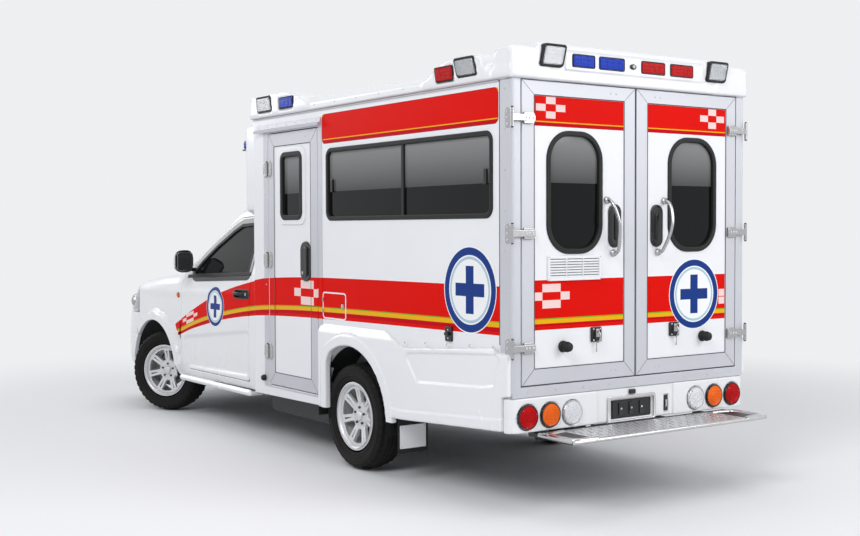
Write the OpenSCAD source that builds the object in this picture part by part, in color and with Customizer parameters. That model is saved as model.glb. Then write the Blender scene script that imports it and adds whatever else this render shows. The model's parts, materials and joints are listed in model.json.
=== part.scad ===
// Box-bodied ambulance on a single-cab pickup chassis.
// Millimetres. +X forward, +Y to the left, +Z up. The origin lies on the ground, under the middle of the
// whole vehicle. The front wheels rest steered to the left, as the vehicle is parked.

/* [Wheels and axles] */
// Distance between the front and rear axles
wheelbase = 3085; // [2900:5:3250]
// Distance between the tyre centres across the vehicle
track = 1510; // [1440:2:1560]
// Radius of the tyres
tyre_r = 328; // [312:1:336]
// Width of the tyres
tyre_w = 205; // [185:1:215]
// Radius of the rim at the bead seat
rim_seat_r = 195; // [185:1:200]
// Steering angle that the front wheels rest at, positive to the left
steer_rest = 30; // [0:1:30]
// Distance of the kingpin inboard of the wheel centre
kingpin_in = 65; // [50:1:80]

/* [Box body] */
// Length of the box from its rear frame to its front post
box_l = 2874; // [2600:2:3000]
// Width of the box over its side walls
box_w = 1724; // [1680:2:1760]
// Height of the underside of the roof moulding above the ground
box_top = 2242; // [2160:1:2320]
// Thickness of the side and front walls
wall = 42; // [30:1:55]
// Height of the load floor above the ground
floor_z = 660; // [650:1:680]
// Distance of the rear frame behind the rear axle
box_overhang = 1576; // [1500:1:1640]
// Depth of the rear step
step_l = 314; // [220:1:360]

/* [Doors] */
// Clearance round every moving panel
gap = 6; // [5:0.5:9]
// Thickness of the box doors
door_t = 40; // [30:1:48]
// Front edge of the side door behind the front of the box
side_door_in = 228; // [200:1:260]
// Width of the side door opening
side_door_w = 668; // [560:1:700]

/* [Cab] */
// Distance of the front bumper ahead of the front axle
front_overhang = 845; // [800:1:880]
// Width of the cab over its doors
cab_w = 1696; // [1660:2:1720]
// Thickness of the cab panels and doors
cab_t = 52; // [40:1:60]

/* [Hidden] */
$fn = 48;

// Places along the vehicle
rear_axle_x = -1020;
front_axle_x = rear_axle_x + wheelbase;
box_rear_x = rear_axle_x - box_overhang;
box_front_x = box_rear_x + box_l;
nose_x = front_axle_x + front_overhang;
step_rear_x = box_rear_x - step_l;
half_track = track / 2;
kingpin_y = half_track - kingpin_in;
half_w = box_w / 2;
inner_w = half_w - wall;
cab_half = cab_w / 2;
floor_t = 40;
fit = 0.3;
bearing_gap = 0.1;
pin_gap = 0.8;

// Frame rails
rail_in = 360;
rail_out = 440;
rail_h = 120;
rail_t = 6;
well_y = rail_out + 140;
gearbox_z = 375;
column_r = 24;
tow_y = 400;
tow_t = 16;
tow_bore_r = 16;
tow_front_z = 300;
tow_rear_z = 368;
rail_mid_z = 330;
rail_rear_z = 470;
rail_front_z = 360;
rail_end_x = box_rear_x + 40;
rail_nose_x = nose_x - 150;

// Wheel parts
spindle_r = 22;
bead_half = 76;
flange_half = 86;
flange_r = 210;
arch_r = 437;
arch_z = tyre_r;

// Box openings
sill_z = 352;
side_door_x1 = box_front_x - side_door_in;
side_door_x0 = side_door_x1 - side_door_w;
side_door_z0 = 421;
side_door_z1 = 2125;
window_x0 = box_rear_x + 160;
window_x1 = side_door_x0 - 116;
window_z0 = 1535;
window_z1 = 1983;
window_r = 55;
flap_x0 = side_door_x0 - 338;
flap_x1 = side_door_x0 - 70;
flap_z0 = 922;
flap_z1 = 1074;
skirt_front_x = side_door_x0 - 30;
rear_open_y = 806;
rear_open_z0 = 667;
rear_open_z1 = box_top - 1;
rear_frame_d = 60;
oval_y0 = 250;
oval_y1 = 632;
oval_z0 = 1348;
oval_z1 = 1983;
rubber = 18;
hinge_r = 9;
leaf_h = 30 - pin_gap;
rear_pin_x = box_rear_x - 15;
rear_pin_y = half_w + 11;
side_pin_x = side_door_x1 + 12;
side_pin_y = half_w + 11;
flap_pin_x = flap_x1 + 2;
flap_pin_y = half_w + 5;
hinge_zs = [645, 1269, 1888];
rear_hinge_zs = [867, 1453, 2040];
blue_lamp_ys = [90, 305];
red_lamp_ys = [-240, -455];
flood_lamp_ys = [570, -670];

// Cab outline
cab_rear_x = box_front_x + 8;
door_rear_x = box_front_x + 112;
door_front_x = front_axle_x - 487;
cowl_x = front_axle_x - 425;
cab_floor_z = 470;
cab_sill_z = 335;
roof_z = 1665;
cab_pin_x = door_front_x - 3;
cab_pin_y = cab_half + 2;
cab_hinge_r = 5;
cab_hinge_zs = [600, 930];
hood_pin_x = cowl_x + 18;
hood_pin_z = 1158;
hood_rear_x = cowl_x + 26;
hood_front_x = nose_x - 110;

// ---------------------------------------------------------------- shapes

// A block between two corners
module slab(x0, x1, y0, y1, z0, z1) {
    translate([x0, y0, z0]) cube([x1 - x0, y1 - y0, z1 - z0]);
}

// An outline in X and Z, drawn out from y0 to y1
module side_prism(y0, y1) {
    translate([0, y1, 0]) rotate([90, 0, 0]) linear_extrude(y1 - y0) children();
}

// An outline in Y and Z, drawn out from x0 to x1
module front_prism(x0, x1) {
    translate([x0, 0, 0]) rotate([90, 0, 90]) linear_extrude(x1 - x0) children();
}

// An outline in X and Y, drawn out from z0 to z1
module plan_prism(z0, z1) {
    translate([0, 0, z0]) linear_extrude(z1 - z0) children();
}

// A flat rectangle with round corners, given by its edges
module rounded(a0, a1, b0, b1, r) {
    translate([a0 + r, b0]) square([a1 - a0 - 2 * r, b1 - b0]);
    translate([a0, b0 + r]) square([a1 - a0, b1 - b0 - 2 * r]);
    for (a = [a0 + r, a1 - r], b = [b0 + r, b1 - r]) translate([a, b]) circle(r);
}

// A round bar along Y, between y0 and y1
module bar_y(x, z, r, y0, y1) {
    translate([x, y1, z]) rotate([90, 0, 0]) cylinder(r = r, h = y1 - y0);
}

// A round bar along X, between x0 and x1
module bar_x(y, z, r, x0, x1) {
    translate([x0, y, z]) rotate([0, 90, 0]) cylinder(r = r, h = x1 - x0);
}

// A round bar along Z, between z0 and z1
module bar_z(x, y, r, z0, z1) {
    translate([x, y, z0]) cylinder(r = r, h = z1 - z0);
}

// What it holds, on the left and on the right
module both() {
    children();
    mirror([0, 1, 0]) children();
}

// What it holds, on the left for side 1 and on the right for side -1
module on_side(side) {
    if (side > 0) children();
    else mirror([0, 1, 0]) children();
}

// Points along an arc, angles in degrees
function arc(cx, cy, r, a0, a1, n) =
    [for (i = [0:n]) [cx + r * cos(a0 + (a1 - a0) * i / n), cy + r * sin(a0 + (a1 - a0) * i / n)]];

// ---------------------------------------------------------------- running gear

// Lower line of a frame rail, rear to front
function rail_line(lift) = [
    [rail_end_x, rail_rear_z + lift],
    [rear_axle_x + 560, rail_rear_z + lift],
    [rear_axle_x + 760, rail_mid_z + lift],
    [front_axle_x - 430, rail_mid_z + lift],
    [front_axle_x - 300, rail_front_z + lift],
    [rail_nose_x, rail_front_z + lift]
];

// Outline of a rail, taken in by t all round for its channel
module rail_outline(t) {
    low = rail_line(t);
    high = rail_line(rail_h - t);
    polygon(concat(low, [for (i = [len(high) - 1:-1:0]) high[i]]));
}

// One frame rail with its two tow eyes
module rail(side) {
    color("dimgray") on_side(side) union() {
        difference() {
            side_prism(rail_in, rail_out) rail_outline(0);
            side_prism(rail_in - 1, rail_out - rail_t) rail_outline(rail_t);
        }
        tow_eyes();
    }
}

// Cross members between the webs of the rails, and what stands on the rails
module cross_members() {
    half = rail_out - rail_t - fit;
    color("dimgray") {
        for (x = [rail_end_x + 60, rear_axle_x - 620, rear_axle_x + 520])
            bar_y(x, rail_rear_z + rail_h / 2, 40, -half, half);
        // Cross member over the shaft, and the one that carries the gearbox
        slab(rear_axle_x + 1250, rear_axle_x + 1350, -half, half,
            rail_mid_z + rail_h - 34, rail_mid_z + rail_h - rail_t - fit);
        front_prism(front_axle_x - 750, front_axle_x - 650) polygon([
            [-half, 338], [-145, 338], [-110, 258], [110, 258], [145, 338], [half, 338],
            [half, 368], [126, 368], [90, gearbox_z - 85 - fit], [-90, gearbox_z - 85 - fit], [-126, 368],
            [-half, 368]]);
        slab(rail_nose_x - 80, rail_nose_x, -half, half, rail_front_z + rail_t + fit, rail_front_z + 80);
        // Body mounts under the cab, and bearers under the box floor
        both() for (x = [cab_rear_x + 180, front_axle_x - 640])
            bar_z(x, rail_out - 30, 25, rail_mid_z + rail_h + fit, cab_floor_z);
        for (x = [rail_end_x + 200, rear_axle_x - 700])
            slab(x - 30, x + 30, -inner_w + 80, inner_w - 80, rail_rear_z + rail_h + fit, floor_z - floor_t);
        slab(rear_axle_x + 450, rear_axle_x + 510, -well_y + 10, well_y - 10,
            rail_rear_z + rail_h + fit, floor_z - floor_t);
        both() slab(box_front_x - 200, box_front_x - 140, rail_in, rail_out,
            rail_mid_z + rail_h + fit, floor_z - floor_t);
        // Engine mounts
        both() slab(front_axle_x - 40, front_axle_x + 40, 240 + fit, half, 420, 470);
    }
}

// Lugs with a bore each, under the front and the rear of the left rail
module tow_eyes() {
    for (e = [[nose_x - 120, tow_front_z, rail_front_z + 2], [box_rear_x + 300, tow_rear_z, rail_rear_z + 2]]) {
        difference() {
            union() {
                slab(e[0] - 32, e[0] + 32, tow_y - tow_t / 2, tow_y + tow_t / 2, e[1], e[2]);
                bar_y(e[0], e[1], 32, tow_y - tow_t / 2, tow_y + tow_t / 2);
            }
            bar_y(e[0], e[1], tow_bore_r, tow_y - tow_t, tow_y + tow_t);
        }
    }
}

module engine() {
    color("gray") slab(front_axle_x - 330, front_axle_x + 330, -240, 240, 400, 900);
}

// Gearbox behind the engine, and the shaft to the rear axle
module driveline() {
    color("silver") union() {
        slab(front_axle_x - 420, front_axle_x - 330, -190, 190, 410, 720);
        bar_x(0, gearbox_z, 85, front_axle_x - 1020, front_axle_x - 440);
        slab(front_axle_x - 480, front_axle_x - 400, -80, 80, gearbox_z - 60, gearbox_z + 84);
        bar_x(0, gearbox_z, 35, rear_axle_x + 1150, front_axle_x - 1000);
        translate([rear_axle_x + 1160, 0, gearbox_z])
            rotate([0, -90 - atan2(gearbox_z - tyre_r, 1160), 0]) cylinder(r = 34, h = 1030);
    }
}

// Down pipe, silencer, and the pipe that climbs over the axle
module exhaust() {
    y = -230;
    z = 300;
    x = rear_axle_x + 260;
    x1 = front_axle_x - 330 - 23 - fit;
    climb = 190;
    lean = 38;
    color("darkgray") union() {
        bar_x(y, z, 24, x, x1);
        bar_x(y, z - 10, 75, rear_axle_x + 760, rear_axle_x + 1360);
        for (p = [[x1, z], [x, z], [x - climb * sin(lean), z + climb * cos(lean)]])
            translate([p[0], y, p[1]]) sphere(r = 25.5);
        bar_z(x1, y, 23, z, z + 200);
        translate([x, y, z]) rotate([0, -lean, 0]) cylinder(r = 23, h = climb);
        bar_x(y, z + climb * cos(lean), 24, rear_axle_x - 640, x - climb * sin(lean));
    }
}

module fuel_tank() {
    color("dimgray") union() {
        front_prism(side_door_x0 + 20, box_front_x - 40) rounded(rail_out + 14, inner_w - 70, 200, 392, 40);
        for (x = [side_door_x0 + 150, box_front_x - 180])
            slab(x - 20, x + 20, rail_out + fit, rail_out + 40, 360, 396);
    }
}

module rear_axle() {
    hub_in = half_track - 115;
    color("dimgray") union() {
        bar_y(rear_axle_x, tyre_r, 40, -hub_in, hub_in);
        bar_y(rear_axle_x, tyre_r, spindle_r, -half_track - 20, half_track + 20);
        translate([rear_axle_x, 0, tyre_r]) sphere(r = 125);
        both() bar_y(rear_axle_x, tyre_r, 132, hub_in - 12, hub_in);
    }
}

// One leaf pack with its eyes, its hanger and its shackle, and a damper
module rear_springs() {
    leaf_y = 520;
    span = 620;
    drop = 70;
    r = (span * span + drop * drop) / (2 * drop);
    seat_z = tyre_r + 42;
    color("dimgray") both() union() {
        side_prism(leaf_y - 32, leaf_y + 32) polygon(concat(
            arc(rear_axle_x, seat_z + r, r, -90 - asin(span / r), -90 + asin(span / r), 24),
            arc(rear_axle_x, seat_z + r, r - 26, -90 + asin(span / r), -90 - asin(span / r), 24)));
        for (s = [-1, 1]) bar_y(rear_axle_x + s * span, seat_z + drop + 6, 28, leaf_y - 34, leaf_y + 34);
        for (s = [-1, 1]) slab(rear_axle_x + s * span - 25, rear_axle_x + s * span + 25,
            rail_out + fit, leaf_y + 34, seat_z + drop + 6, rail_rear_z + 70);
        difference() {
            slab(rear_axle_x - 60, rear_axle_x + 60, leaf_y - 40, leaf_y + 40, tyre_r - 60, seat_z + 30);
            bar_y(rear_axle_x, tyre_r, 40 + fit, 0, 1000);
        }
        translate([rear_axle_x + 130, leaf_y + 60, tyre_r - 10]) rotate([0, 10, 0]) cylinder(r = 24, h = 230);
        slab(rear_axle_x + 50, rear_axle_x + 150, leaf_y + 30, leaf_y + 60, tyre_r - 30, tyre_r + 10);
    }
}

// Cross member, wishbones and their ball pins, one pair on each side
module front_suspension() {
    color("dimgray") union() {
        slab(front_axle_x - 90, front_axle_x + 90, -rail_out - 26, rail_out + 26, 250, rail_front_z - fit);
        both() {
            side_prism(rail_out + fit, rail_out + 26) polygon([
                [front_axle_x - 90, 250], [front_axle_x + 90, 250],
                [front_axle_x + 90, 500], [front_axle_x - 90, 500]]);
            plan_prism(225, 247) polygon([
                [front_axle_x - 130, rail_in], [front_axle_x + 130, rail_in],
                [front_axle_x + 30, kingpin_y], [front_axle_x - 30, kingpin_y]]);
            slab(front_axle_x - 90, front_axle_x + 90, rail_in, rail_out + 26, 240, 255);
            bar_z(front_axle_x, kingpin_y, 30, 225, 247);
            bar_z(front_axle_x, kingpin_y, 12, 240, 284);
            plan_prism(472, 490) polygon([
                [front_axle_x - 90, rail_out + 20], [front_axle_x + 90, rail_out + 20],
                [front_axle_x + 25, kingpin_y], [front_axle_x - 25, kingpin_y]]);
            bar_z(front_axle_x, kingpin_y, 25, 472, 490);
            bar_z(front_axle_x, kingpin_y, 12, 436, 480);
        }
    }
}

// The frame of one front wheel, turned about its kingpin
module at_front_wheel(side) {
    translate([front_axle_x, side * kingpin_y, 0]) rotate([0, 0, steer_rest])
        translate([0, side * kingpin_in, tyre_r]) children();
}

module at_rear_wheel(side) {
    translate([rear_axle_x, side * half_track, tyre_r]) children();
}

// Section of a tyre: radius along X, width along Y
module tyre_section() {
    polygon([
        [rim_seat_r + fit, -bead_half + fit], [rim_seat_r + 18, -bead_half + fit],
        [(rim_seat_r + tyre_r) / 2 + 4, -tyre_w / 2],
        [tyre_r - 14, -tyre_w / 2 + 12], [tyre_r - 3, -tyre_w / 2 + 30], [tyre_r, 0],
        [tyre_r - 3, tyre_w / 2 - 30], [tyre_r - 14, tyre_w / 2 - 12],
        [(rim_seat_r + tyre_r) / 2 + 4, tyre_w / 2],
        [rim_seat_r + 18, bead_half - fit], [rim_seat_r + fit, bead_half - fit],
        [rim_seat_r + fit, bead_half - 18], [rim_seat_r + 22, bead_half - 14],
        [(rim_seat_r + tyre_r) / 2 + 4, tyre_w / 2 - 12],
        [tyre_r - 18, tyre_w / 2 - 32], [tyre_r - 14, 0], [tyre_r - 18, -tyre_w / 2 + 32],
        [(rim_seat_r + tyre_r) / 2 + 4, -tyre_w / 2 + 12],
        [rim_seat_r + 22, -bead_half + 14], [rim_seat_r + fit, -bead_half + 18]]);
}

module tyre() {
    color("black") rotate([90, 0, 0]) rotate_extrude($fn = 72) tyre_section();
}

// Rim with its flanges, spokes, hub and brake disc; the outer face looks to +Y for side 1
module rim(side) {
    color("silver") rotate([90 * side, 0, 0]) mirror([0, 0, 1]) union() {
        rotate_extrude($fn = 72) polygon([
            [rim_seat_r - 9, -flange_half], [flange_r, -flange_half], [flange_r, -bead_half],
            [rim_seat_r, -bead_half], [rim_seat_r, bead_half], [flange_r, bead_half],
            [flange_r, flange_half], [rim_seat_r - 9, flange_half]]);
        difference() {
            union() {
                translate([0, 0, 20]) cylinder(r = 62, h = 52);
                for (i = [0:5], k = [-1, 1]) rotate([0, 0, i * 60 + k * 11])
                    translate([50, -11, 42]) cube([rim_seat_r - 55, 22, 26]);
            }
            translate([0, 0, -100]) cylinder(r = spindle_r + bearing_gap, h = 200);
        }
        difference() {
            union() {
                translate([0, 0, -8]) cylinder(r = 70, h = 29);
                translate([0, 0, -8]) cylinder(r = 132, h = 20);
            }
            translate([0, 0, -100]) cylinder(r = spindle_r + bearing_gap, h = 200);
        }
    }
}

// Upright with its spindle, ball-pin bores and steering arm
module knuckle(side) {
    translate([front_axle_x, side * kingpin_y, 0]) rotate([0, 0, steer_rest]) color("dimgray") difference() {
        union() {
            slab(-38, 38, -30, 30, 252, 466);
            translate([0, 0, tyre_r]) rotate([-90 * side, 0, 0]) cylinder(r = 45, h = 48);
            translate([0, 0, tyre_r]) rotate([-90 * side, 0, 0]) cylinder(r = spindle_r, h = kingpin_in + 60);
            on_side(side) slab(-150, -30, -40, -12, 300, 322);
        }
        bar_z(0, 0, 12 + bearing_gap, 240, 286);
        bar_z(0, 0, 12 + bearing_gap, 434, 480);
    }
}

// ---------------------------------------------------------------- cab

// Side outline of the cab, taken in by t
module cab_side(t) {
    f = front_axle_x;
    polygon([
        [cab_rear_x + t, cab_sill_z + t / 2], [cab_rear_x + t, 1640 - t], [cab_rear_x + 240, roof_z - 3 - t],
        [f - 1380, roof_z - t], [f - 1240, 1642 - t], [f - 1160, 1600 - t], [f - 915 - t / 3, 1440 - t],
        [f - 665 - t / 3, 1292 - t], [f - 465 - t / 3, 1180 - t], [f - 425, 1160 - t], [f - 265, 1152 - t],
        [f + 150, 1112 - t], [f + 465, 1060 - t], [f + 635, 1000 - t], [nose_x - 150 - t / 2, 900 - t / 2],
        [nose_x - 50 - t, 780], [nose_x - 10 - t, 640], [nose_x - t, 520], [nose_x - 15 - t, 380 + t / 2],
        [nose_x - 50 - t, cab_sill_z + t / 2]]);
}

// Cross-section of the cab, taken in by t
module cab_front(t) {
    w = cab_half;
    right = [
        [w - 22 - t, cab_sill_z - 5], [w - t, 420], [w + 2 - t, 760], [w - 6 - t, 1000], [w - 24 - t, 1130],
        [w - 60 - t, 1276], [w - 104 - t, 1423], [w - 138 - t, 1560], [w - 190 - t, 1618],
        [w - 400, 1650 - t / 3], [0, roof_z - t / 3 + 4]];
    polygon(concat(right, [for (i = [len(right) - 2:-1:0]) [-right[i][0], right[i][1]]]));
}

// Plan outline of the cab, taken in by t
module cab_plan(t) {
    w = cab_half;
    n = nose_x;
    right = [
        [cab_rear_x + t, w + 4 - t], [front_axle_x - 470, w + 4 - t], [front_axle_x, w + 12 - t],
        [n - 300, w + 14 - t], [n - 200, w - 2 - t], [n - 105 - t / 3, w - 38 - t], [n - 50 - t / 2, w - 92 - t],
        [n - 18 - t, w - 210], [n - t, w - 450]];
    polygon(concat(right, [for (i = [len(right) - 1:-1:0]) [right[i][0], -right[i][1]]]));
}

// The whole cab as a solid, taken in by t
module cab_form(t) {
    intersection() {
        side_prism(-1000, 1000) cab_side(t);
        front_prism(box_front_x - 50, nose_x + 50) cab_front(t);
        plan_prism(cab_sill_z - 20, 1800) cab_plan(t);
    }
}

// Outline of a cab door, taken in by g
module door_outline(g) {
    r = door_rear_x + g;
    f = door_front_x - g;
    polygon([
        [r, 395 + g], [f - 148, 395 + g], [f - 70, 440 + g / 2], [f - 18, 530], [f, 700], [f - 6, 1060],
        [f - 62, 1150 - g], [f - 240, 1250 - g], [f - 480, 1400 - g], [f - 700, 1520 - g], [f - 830, 1568 - g],
        [r, 1580 - g]]);
}

// Outline of a cab door window, taken in by g
module door_window(g) {
    r = door_rear_x + 62 + g;
    f = door_front_x - 190;
    polygon([
        [r, 1168 + g], [f - 2 * g, 1135 + g], [f - 160 - g, 1250 - g], [f - 345 - g, 1370 - g],
        [f - 560 - g, 1480 - g], [f - 680 - g, 1525 - g], [r, 1537 - g]]);
}

// Opening for the windscreen, looking from the front, taken in by g
module screen_outline(g) {
    polygon([
        [-740 + g, 1185 + g], [740 - g, 1185 + g], [660 - g, 1430], [590 - g, 1580 - g],
        [-590 + g, 1580 - g], [-660 + g, 1430]]);
}

module cab_shell() {
    color("white") union() {
        difference() {
            cab_form(0);
            cab_form(cab_t);
            slab(cowl_x, nose_x + 50, -1000, 1000, 0, 1800);
            side_prism(-1000, 1000) door_outline(0);
            both() for (z = cab_hinge_zs) cab_barrel_space(z);
            front_prism(door_rear_x + 300, cowl_x + 100) screen_outline(0);
            front_prism(box_front_x - 50, cab_rear_x + 100) rounded(-520, 520, 1200, 1500, 60);
            slab(cab_rear_x - 10, cowl_x, -rail_out - 70, rail_out + 70, 300, cab_floor_z);
        }
        slab(cab_rear_x + 5, cowl_x - 5, -cab_half + 60, cab_half - 60, cab_floor_z, cab_floor_z + 15);
        slab(cowl_x - 35, cowl_x - 5, -cab_half + 60, cab_half - 60, cab_floor_z, 1120);
        both() slab(cab_rear_x + 5, cowl_x - 5, cab_half - 100, cab_half - 62, 400, cab_floor_z + 15);
        // Hinge brackets of the bonnet
        both() difference() {
            union() {
                bar_y(hood_pin_x, hood_pin_z - 20, 7, 618, 630);
                slab(cowl_x - 10, hood_pin_x, 618, 630, hood_pin_z - 40, hood_pin_z - 21);
            }
            bar_y(hood_pin_x, hood_pin_z - 20, 4 + bearing_gap, 600, 640);
        }
        // Fixed barrels of the door hinges
        both() for (z = cab_hinge_zs, k = [-1, 1]) cab_barrel(z + k * (30 + pin_gap), cab_pin_x + 34);
    }
}

// Room for the moving barrel of a cab door hinge
module cab_barrel_space(z) {
    bar_z(cab_pin_x, cab_pin_y, cab_hinge_r + 17, z - 16, z + 16);
}

// Barrel of a cab door hinge round z, with a strap that reaches to x
module cab_barrel(z, x) {
    bar_z(cab_pin_x, cab_pin_y, cab_hinge_r, z - 15, z + 15);
    slab(min(x, cab_pin_x), max(x, cab_pin_x), cab_half - 14, cab_half + 5, z - 15, z + 15);
}

module windscreen() {
    color("black", 0.6) difference() {
        intersection() {
            cab_form(6);
            front_prism(door_rear_x + 300, cowl_x + 60) screen_outline(fit);
        }
        cab_form(14);
        slab(0, door_rear_x + 320, -1000, 1000, 0, 2000);
    }
}

// Outline of the bonnet seen from above, taken in by g
module hood_plan(g) {
    polygon([
        [hood_rear_x + g, -690 + g], [hood_front_x - 260, -640 + g], [hood_front_x - g, -560 + g],
        [hood_front_x - g, 560 - g], [hood_front_x - 260, 640 - g], [hood_rear_x + g, 690 - g]]);
}

module front_wings() {
    f = front_axle_x;
    color("white") both() union() {
        difference() {
            cab_form(0);
            cab_form(cab_t / 2);
            slab(-3000, cowl_x + 2, -1000, 1000, 0, 2000);
            slab(cowl_x - 10, nose_x + 50, -1000, rail_out + 60, 0, 2000);
            plan_prism(700, 1300) hood_plan(-gap);
            bar_y(f, arch_z, arch_r - 22, 0, 1000);
            slab(f - arch_r + 22, f + arch_r - 22, 0, 1000, 0, arch_z);
            slab(f + 330, nose_x + 50, 0, 1000, 0, 790);
            slab(f + 355, nose_x + 50, 0, 1000, 780, 975);
            slab(cowl_x - 10, hood_rear_x + 80, -1000, 645, 900, 2000);
            slab(cowl_x - 10, hood_rear_x, -1000, 705, 1100, 2000);
        }
        difference() {
            front_flare();
            slab(f + 330, nose_x + 50, 0, 1000, 0, 790);
        }
    }
}

// Flare round the left front wheel arch
module front_flare() {
    f = front_axle_x;
    difference() {
        bar_y(f, arch_z, arch_r + 62, cab_half - 14, cab_half + 32);
        bar_y(f, arch_z, arch_r - 22, 0, 1000);
        slab(f - 600, f + 600, 0, 1000, -200, arch_z + 40);
        slab(-3000, cowl_x + 2, 0, 1000, 0, 1200);
        cab_form(cab_t / 2);
    }
}

module grille() {
    color("silver") union() {
        difference() {
            intersection() {
                cab_form(4);
                front_prism(nose_x - 300, nose_x + 20) rounded(-500, 500, 730, 925, 40);
            }
            cab_form(30);
            for (z = [765, 812, 859]) slab(nose_x - 300, nose_x + 20, -450, 450, z, z + 28);
        }
        // Radiator and its carrier behind the bars
        slab(nose_x - 350, nose_x - 310, -430, 430, rail_front_z + rail_h + fit, 960);
        for (y = [-300, 300]) slab(nose_x - 312, nose_x - 60, y - 15, y + 15, 840, 855);
    }
}

module headlamps() {
    f = front_axle_x;
    color("lightgray", 0.8) both() difference() {
        intersection() {
            cab_form(2);
            slab(f + 355 + fit, nose_x + 20, 505 + fit, 1000, 787 + fit, 975 - fit);
        }
        cab_form(60);
        plan_prism(700, 1300) hood_plan(-gap);
    }
}

module front_bumper() {
    f = front_axle_x;
    color("white") union() {
        difference() {
            cab_form(0);
            cab_form(34);
            slab(-3000, f + 334, -1000, 1000, 0, 2000);
            slab(f, nose_x + 50, -1000, 1000, 787, 2000);
            front_prism(nose_x - 200, nose_x + 20) rounded(-505, 505, 726, 930, 40);
            front_prism(nose_x - 200, nose_x + 20) rounded(-380, 380, 440, 600, 40);
            both() bar_y(f, arch_z, arch_r - 22, 0, 1000);
            // Slots for the tow eyes
            both() slab(nose_x - 165, nose_x - 75, tow_y - 25, tow_y + 25, 300, 400);
        }
        both() intersection() {
            front_flare();
            slab(f + 334, f + 600, 0, 1000, 0, 787);
        }
        both() slab(rail_nose_x - 30, nose_x - 40, rail_in + 10, rail_out - 10, rail_front_z + 125, rail_front_z + 145);
        both() slab(nose_x - 60, nose_x - 30, rail_in + 10, rail_out - 10, rail_front_z + 60, rail_front_z + 145);
        both() slab(rail_nose_x - 30, rail_nose_x + 4, rail_in + 10, rail_out - 10,
            rail_front_z + rail_h + fit, rail_front_z + 145);
    }
}

// Foot boards under the cab doors
module side_steps() {
    color("whitesmoke") both() union() {
        front_prism(box_front_x + 60, door_front_x + 10) polygon([
            [cab_half - 90, 300], [cab_half + 22, 300], [cab_half + 30, 322], [cab_half + 14, 346],
            [cab_half + 4, 346], [cab_half + 4, 330], [cab_half - 90, 330]]);
        for (x = [door_rear_x + 150, door_front_x - 200])
            slab(x - 20, x + 20, rail_out + 10, cab_half - 88, 305, 325);
        for (x = [door_rear_x + 150, door_front_x - 200])
            slab(x - 20, x + 20, rail_out + fit, rail_out + 16, 305, 380);
    }
}

module dashboard() {
    color("dimgray") difference() {
        union() {
            side_prism(-cab_half + 110, cab_half - 110) polygon([
                [cowl_x - 36, 1110], [cowl_x - 330, 1100], [cowl_x - 400, 1060], [cowl_x - 390, 960],
                [cowl_x - 300, 800], [cowl_x - 36, 760]]);
            slab(cowl_x - 640, cowl_x - 280, -110, 110, cab_floor_z + 15, 800);
        }
        at_steering_wheel() translate([0, 0, -300]) cylinder(r = column_r + fit, h = 300);
    }
}

// The frame of the steering wheel, its column along -Z
module at_steering_wheel() {
    translate([cowl_x - 520, -340, 1010]) rotate([0, -65, 0]) children();
}

module steering_wheel() {
    color("black") at_steering_wheel() union() {
        rotate_extrude() translate([180, 0]) circle(16, $fn = 24);
        cylinder(r = 55, h = 45, center = true);
        for (a = [90, 210, 330]) rotate([0, 0, a]) translate([40, -16, -8]) cube([130, 32, 16]);
        translate([0, 0, -290]) cylinder(r = column_r, h = 280);
    }
}

// Two seats: a plinth, a cushion, a back and a head restraint each
module seats() {
    x = cab_rear_x + 350;
    color("darkgray") for (y = [-360, 360]) {
        slab(x - 60, x + 330, y - 170, y + 170, cab_floor_z + 15, 660);
        side_prism(y - 240, y + 240) polygon([
            [x - 90, 660], [x + 400, 660], [x + 430, 720], [x + 400, 790], [x - 60, 770]]);
        side_prism(y - 230, y + 230) polygon([
            [x - 90, 762], [x + 40, 766], [x - 80, 1330], [x - 110, 1340], [x - 190, 1330]]);
        side_prism(y - 120, y + 120) polygon([
            [x - 105, 1365], [x - 175, 1365], [x - 190, 1500], [x - 120, 1510]]);
        for (k = [-50, 50]) bar_z(x - 145, y + k, 7, 1320, 1375);
    }
}

// One cab door with its window cut out
module cab_door(side) {
    color("white") on_side(side) union() {
        difference() {
            intersection() {
                cab_form(0);
                side_prism(400, 1000) door_outline(gap);
            }
            cab_form(cab_t);
            side_prism(300, 1000) door_window(0);
            for (z = cab_hinge_zs, k = [-1, 1])
                bar_z(cab_pin_x, cab_pin_y, cab_hinge_r + 5, z + k * (30 + pin_gap) - 16, z + k * (30 + pin_gap) + 16);
        }
        for (z = cab_hinge_zs) cab_barrel(z, cab_pin_x - 34);
        translate([door_rear_x + 115, cab_half - 8, 1003]) rotate([0, 90, 0]) cylinder(r = 12, h = 130);
        for (x = [door_rear_x + 120, door_rear_x + 230])
            bar_y(x, 1003, 9, cab_half - 26, cab_half - 6);
    }
}

module door_glass(side) {
    color("black", 0.6) on_side(side) difference() {
        intersection() {
            cab_form(12);
            side_prism(400, 1000) door_window(1);
        }
        cab_form(17);
    }
}

// Door mirror on its arm
module mirror_unit(side) {
    x = door_front_x - 250;
    color("black") on_side(side) union() {
        front_prism(x - 10, x + 75) rounded(cab_half + 10, cab_half + 150, 1150, 1320, 40);
        translate([x + 75, cab_half + 80, 1235]) rotate([0, 90, 0]) cylinder(r1 = 68, r2 = 40, h = 40);
        difference() {
            slab(x + 10, x + 70, cab_half - 34, cab_half + 20, 1158, 1188);
            cab_form(-fit);
        }
    }
}

module hood() {
    color("white") union() {
        difference() {
            intersection() {
                cab_form(0);
                plan_prism(800, 1300) hood_plan(0);
            }
            cab_form(24);
            slab(hood_front_x - 400, nose_x + 50, -1000, 1000, 0, 932);
        }
        both() bar_y(hood_pin_x, hood_pin_z - 20, 4, 580, 634);
        both() slab(hood_pin_x - 5, hood_rear_x + 60, 580, 600, hood_pin_z - 34, hood_pin_z - 12);
    }
}

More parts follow.
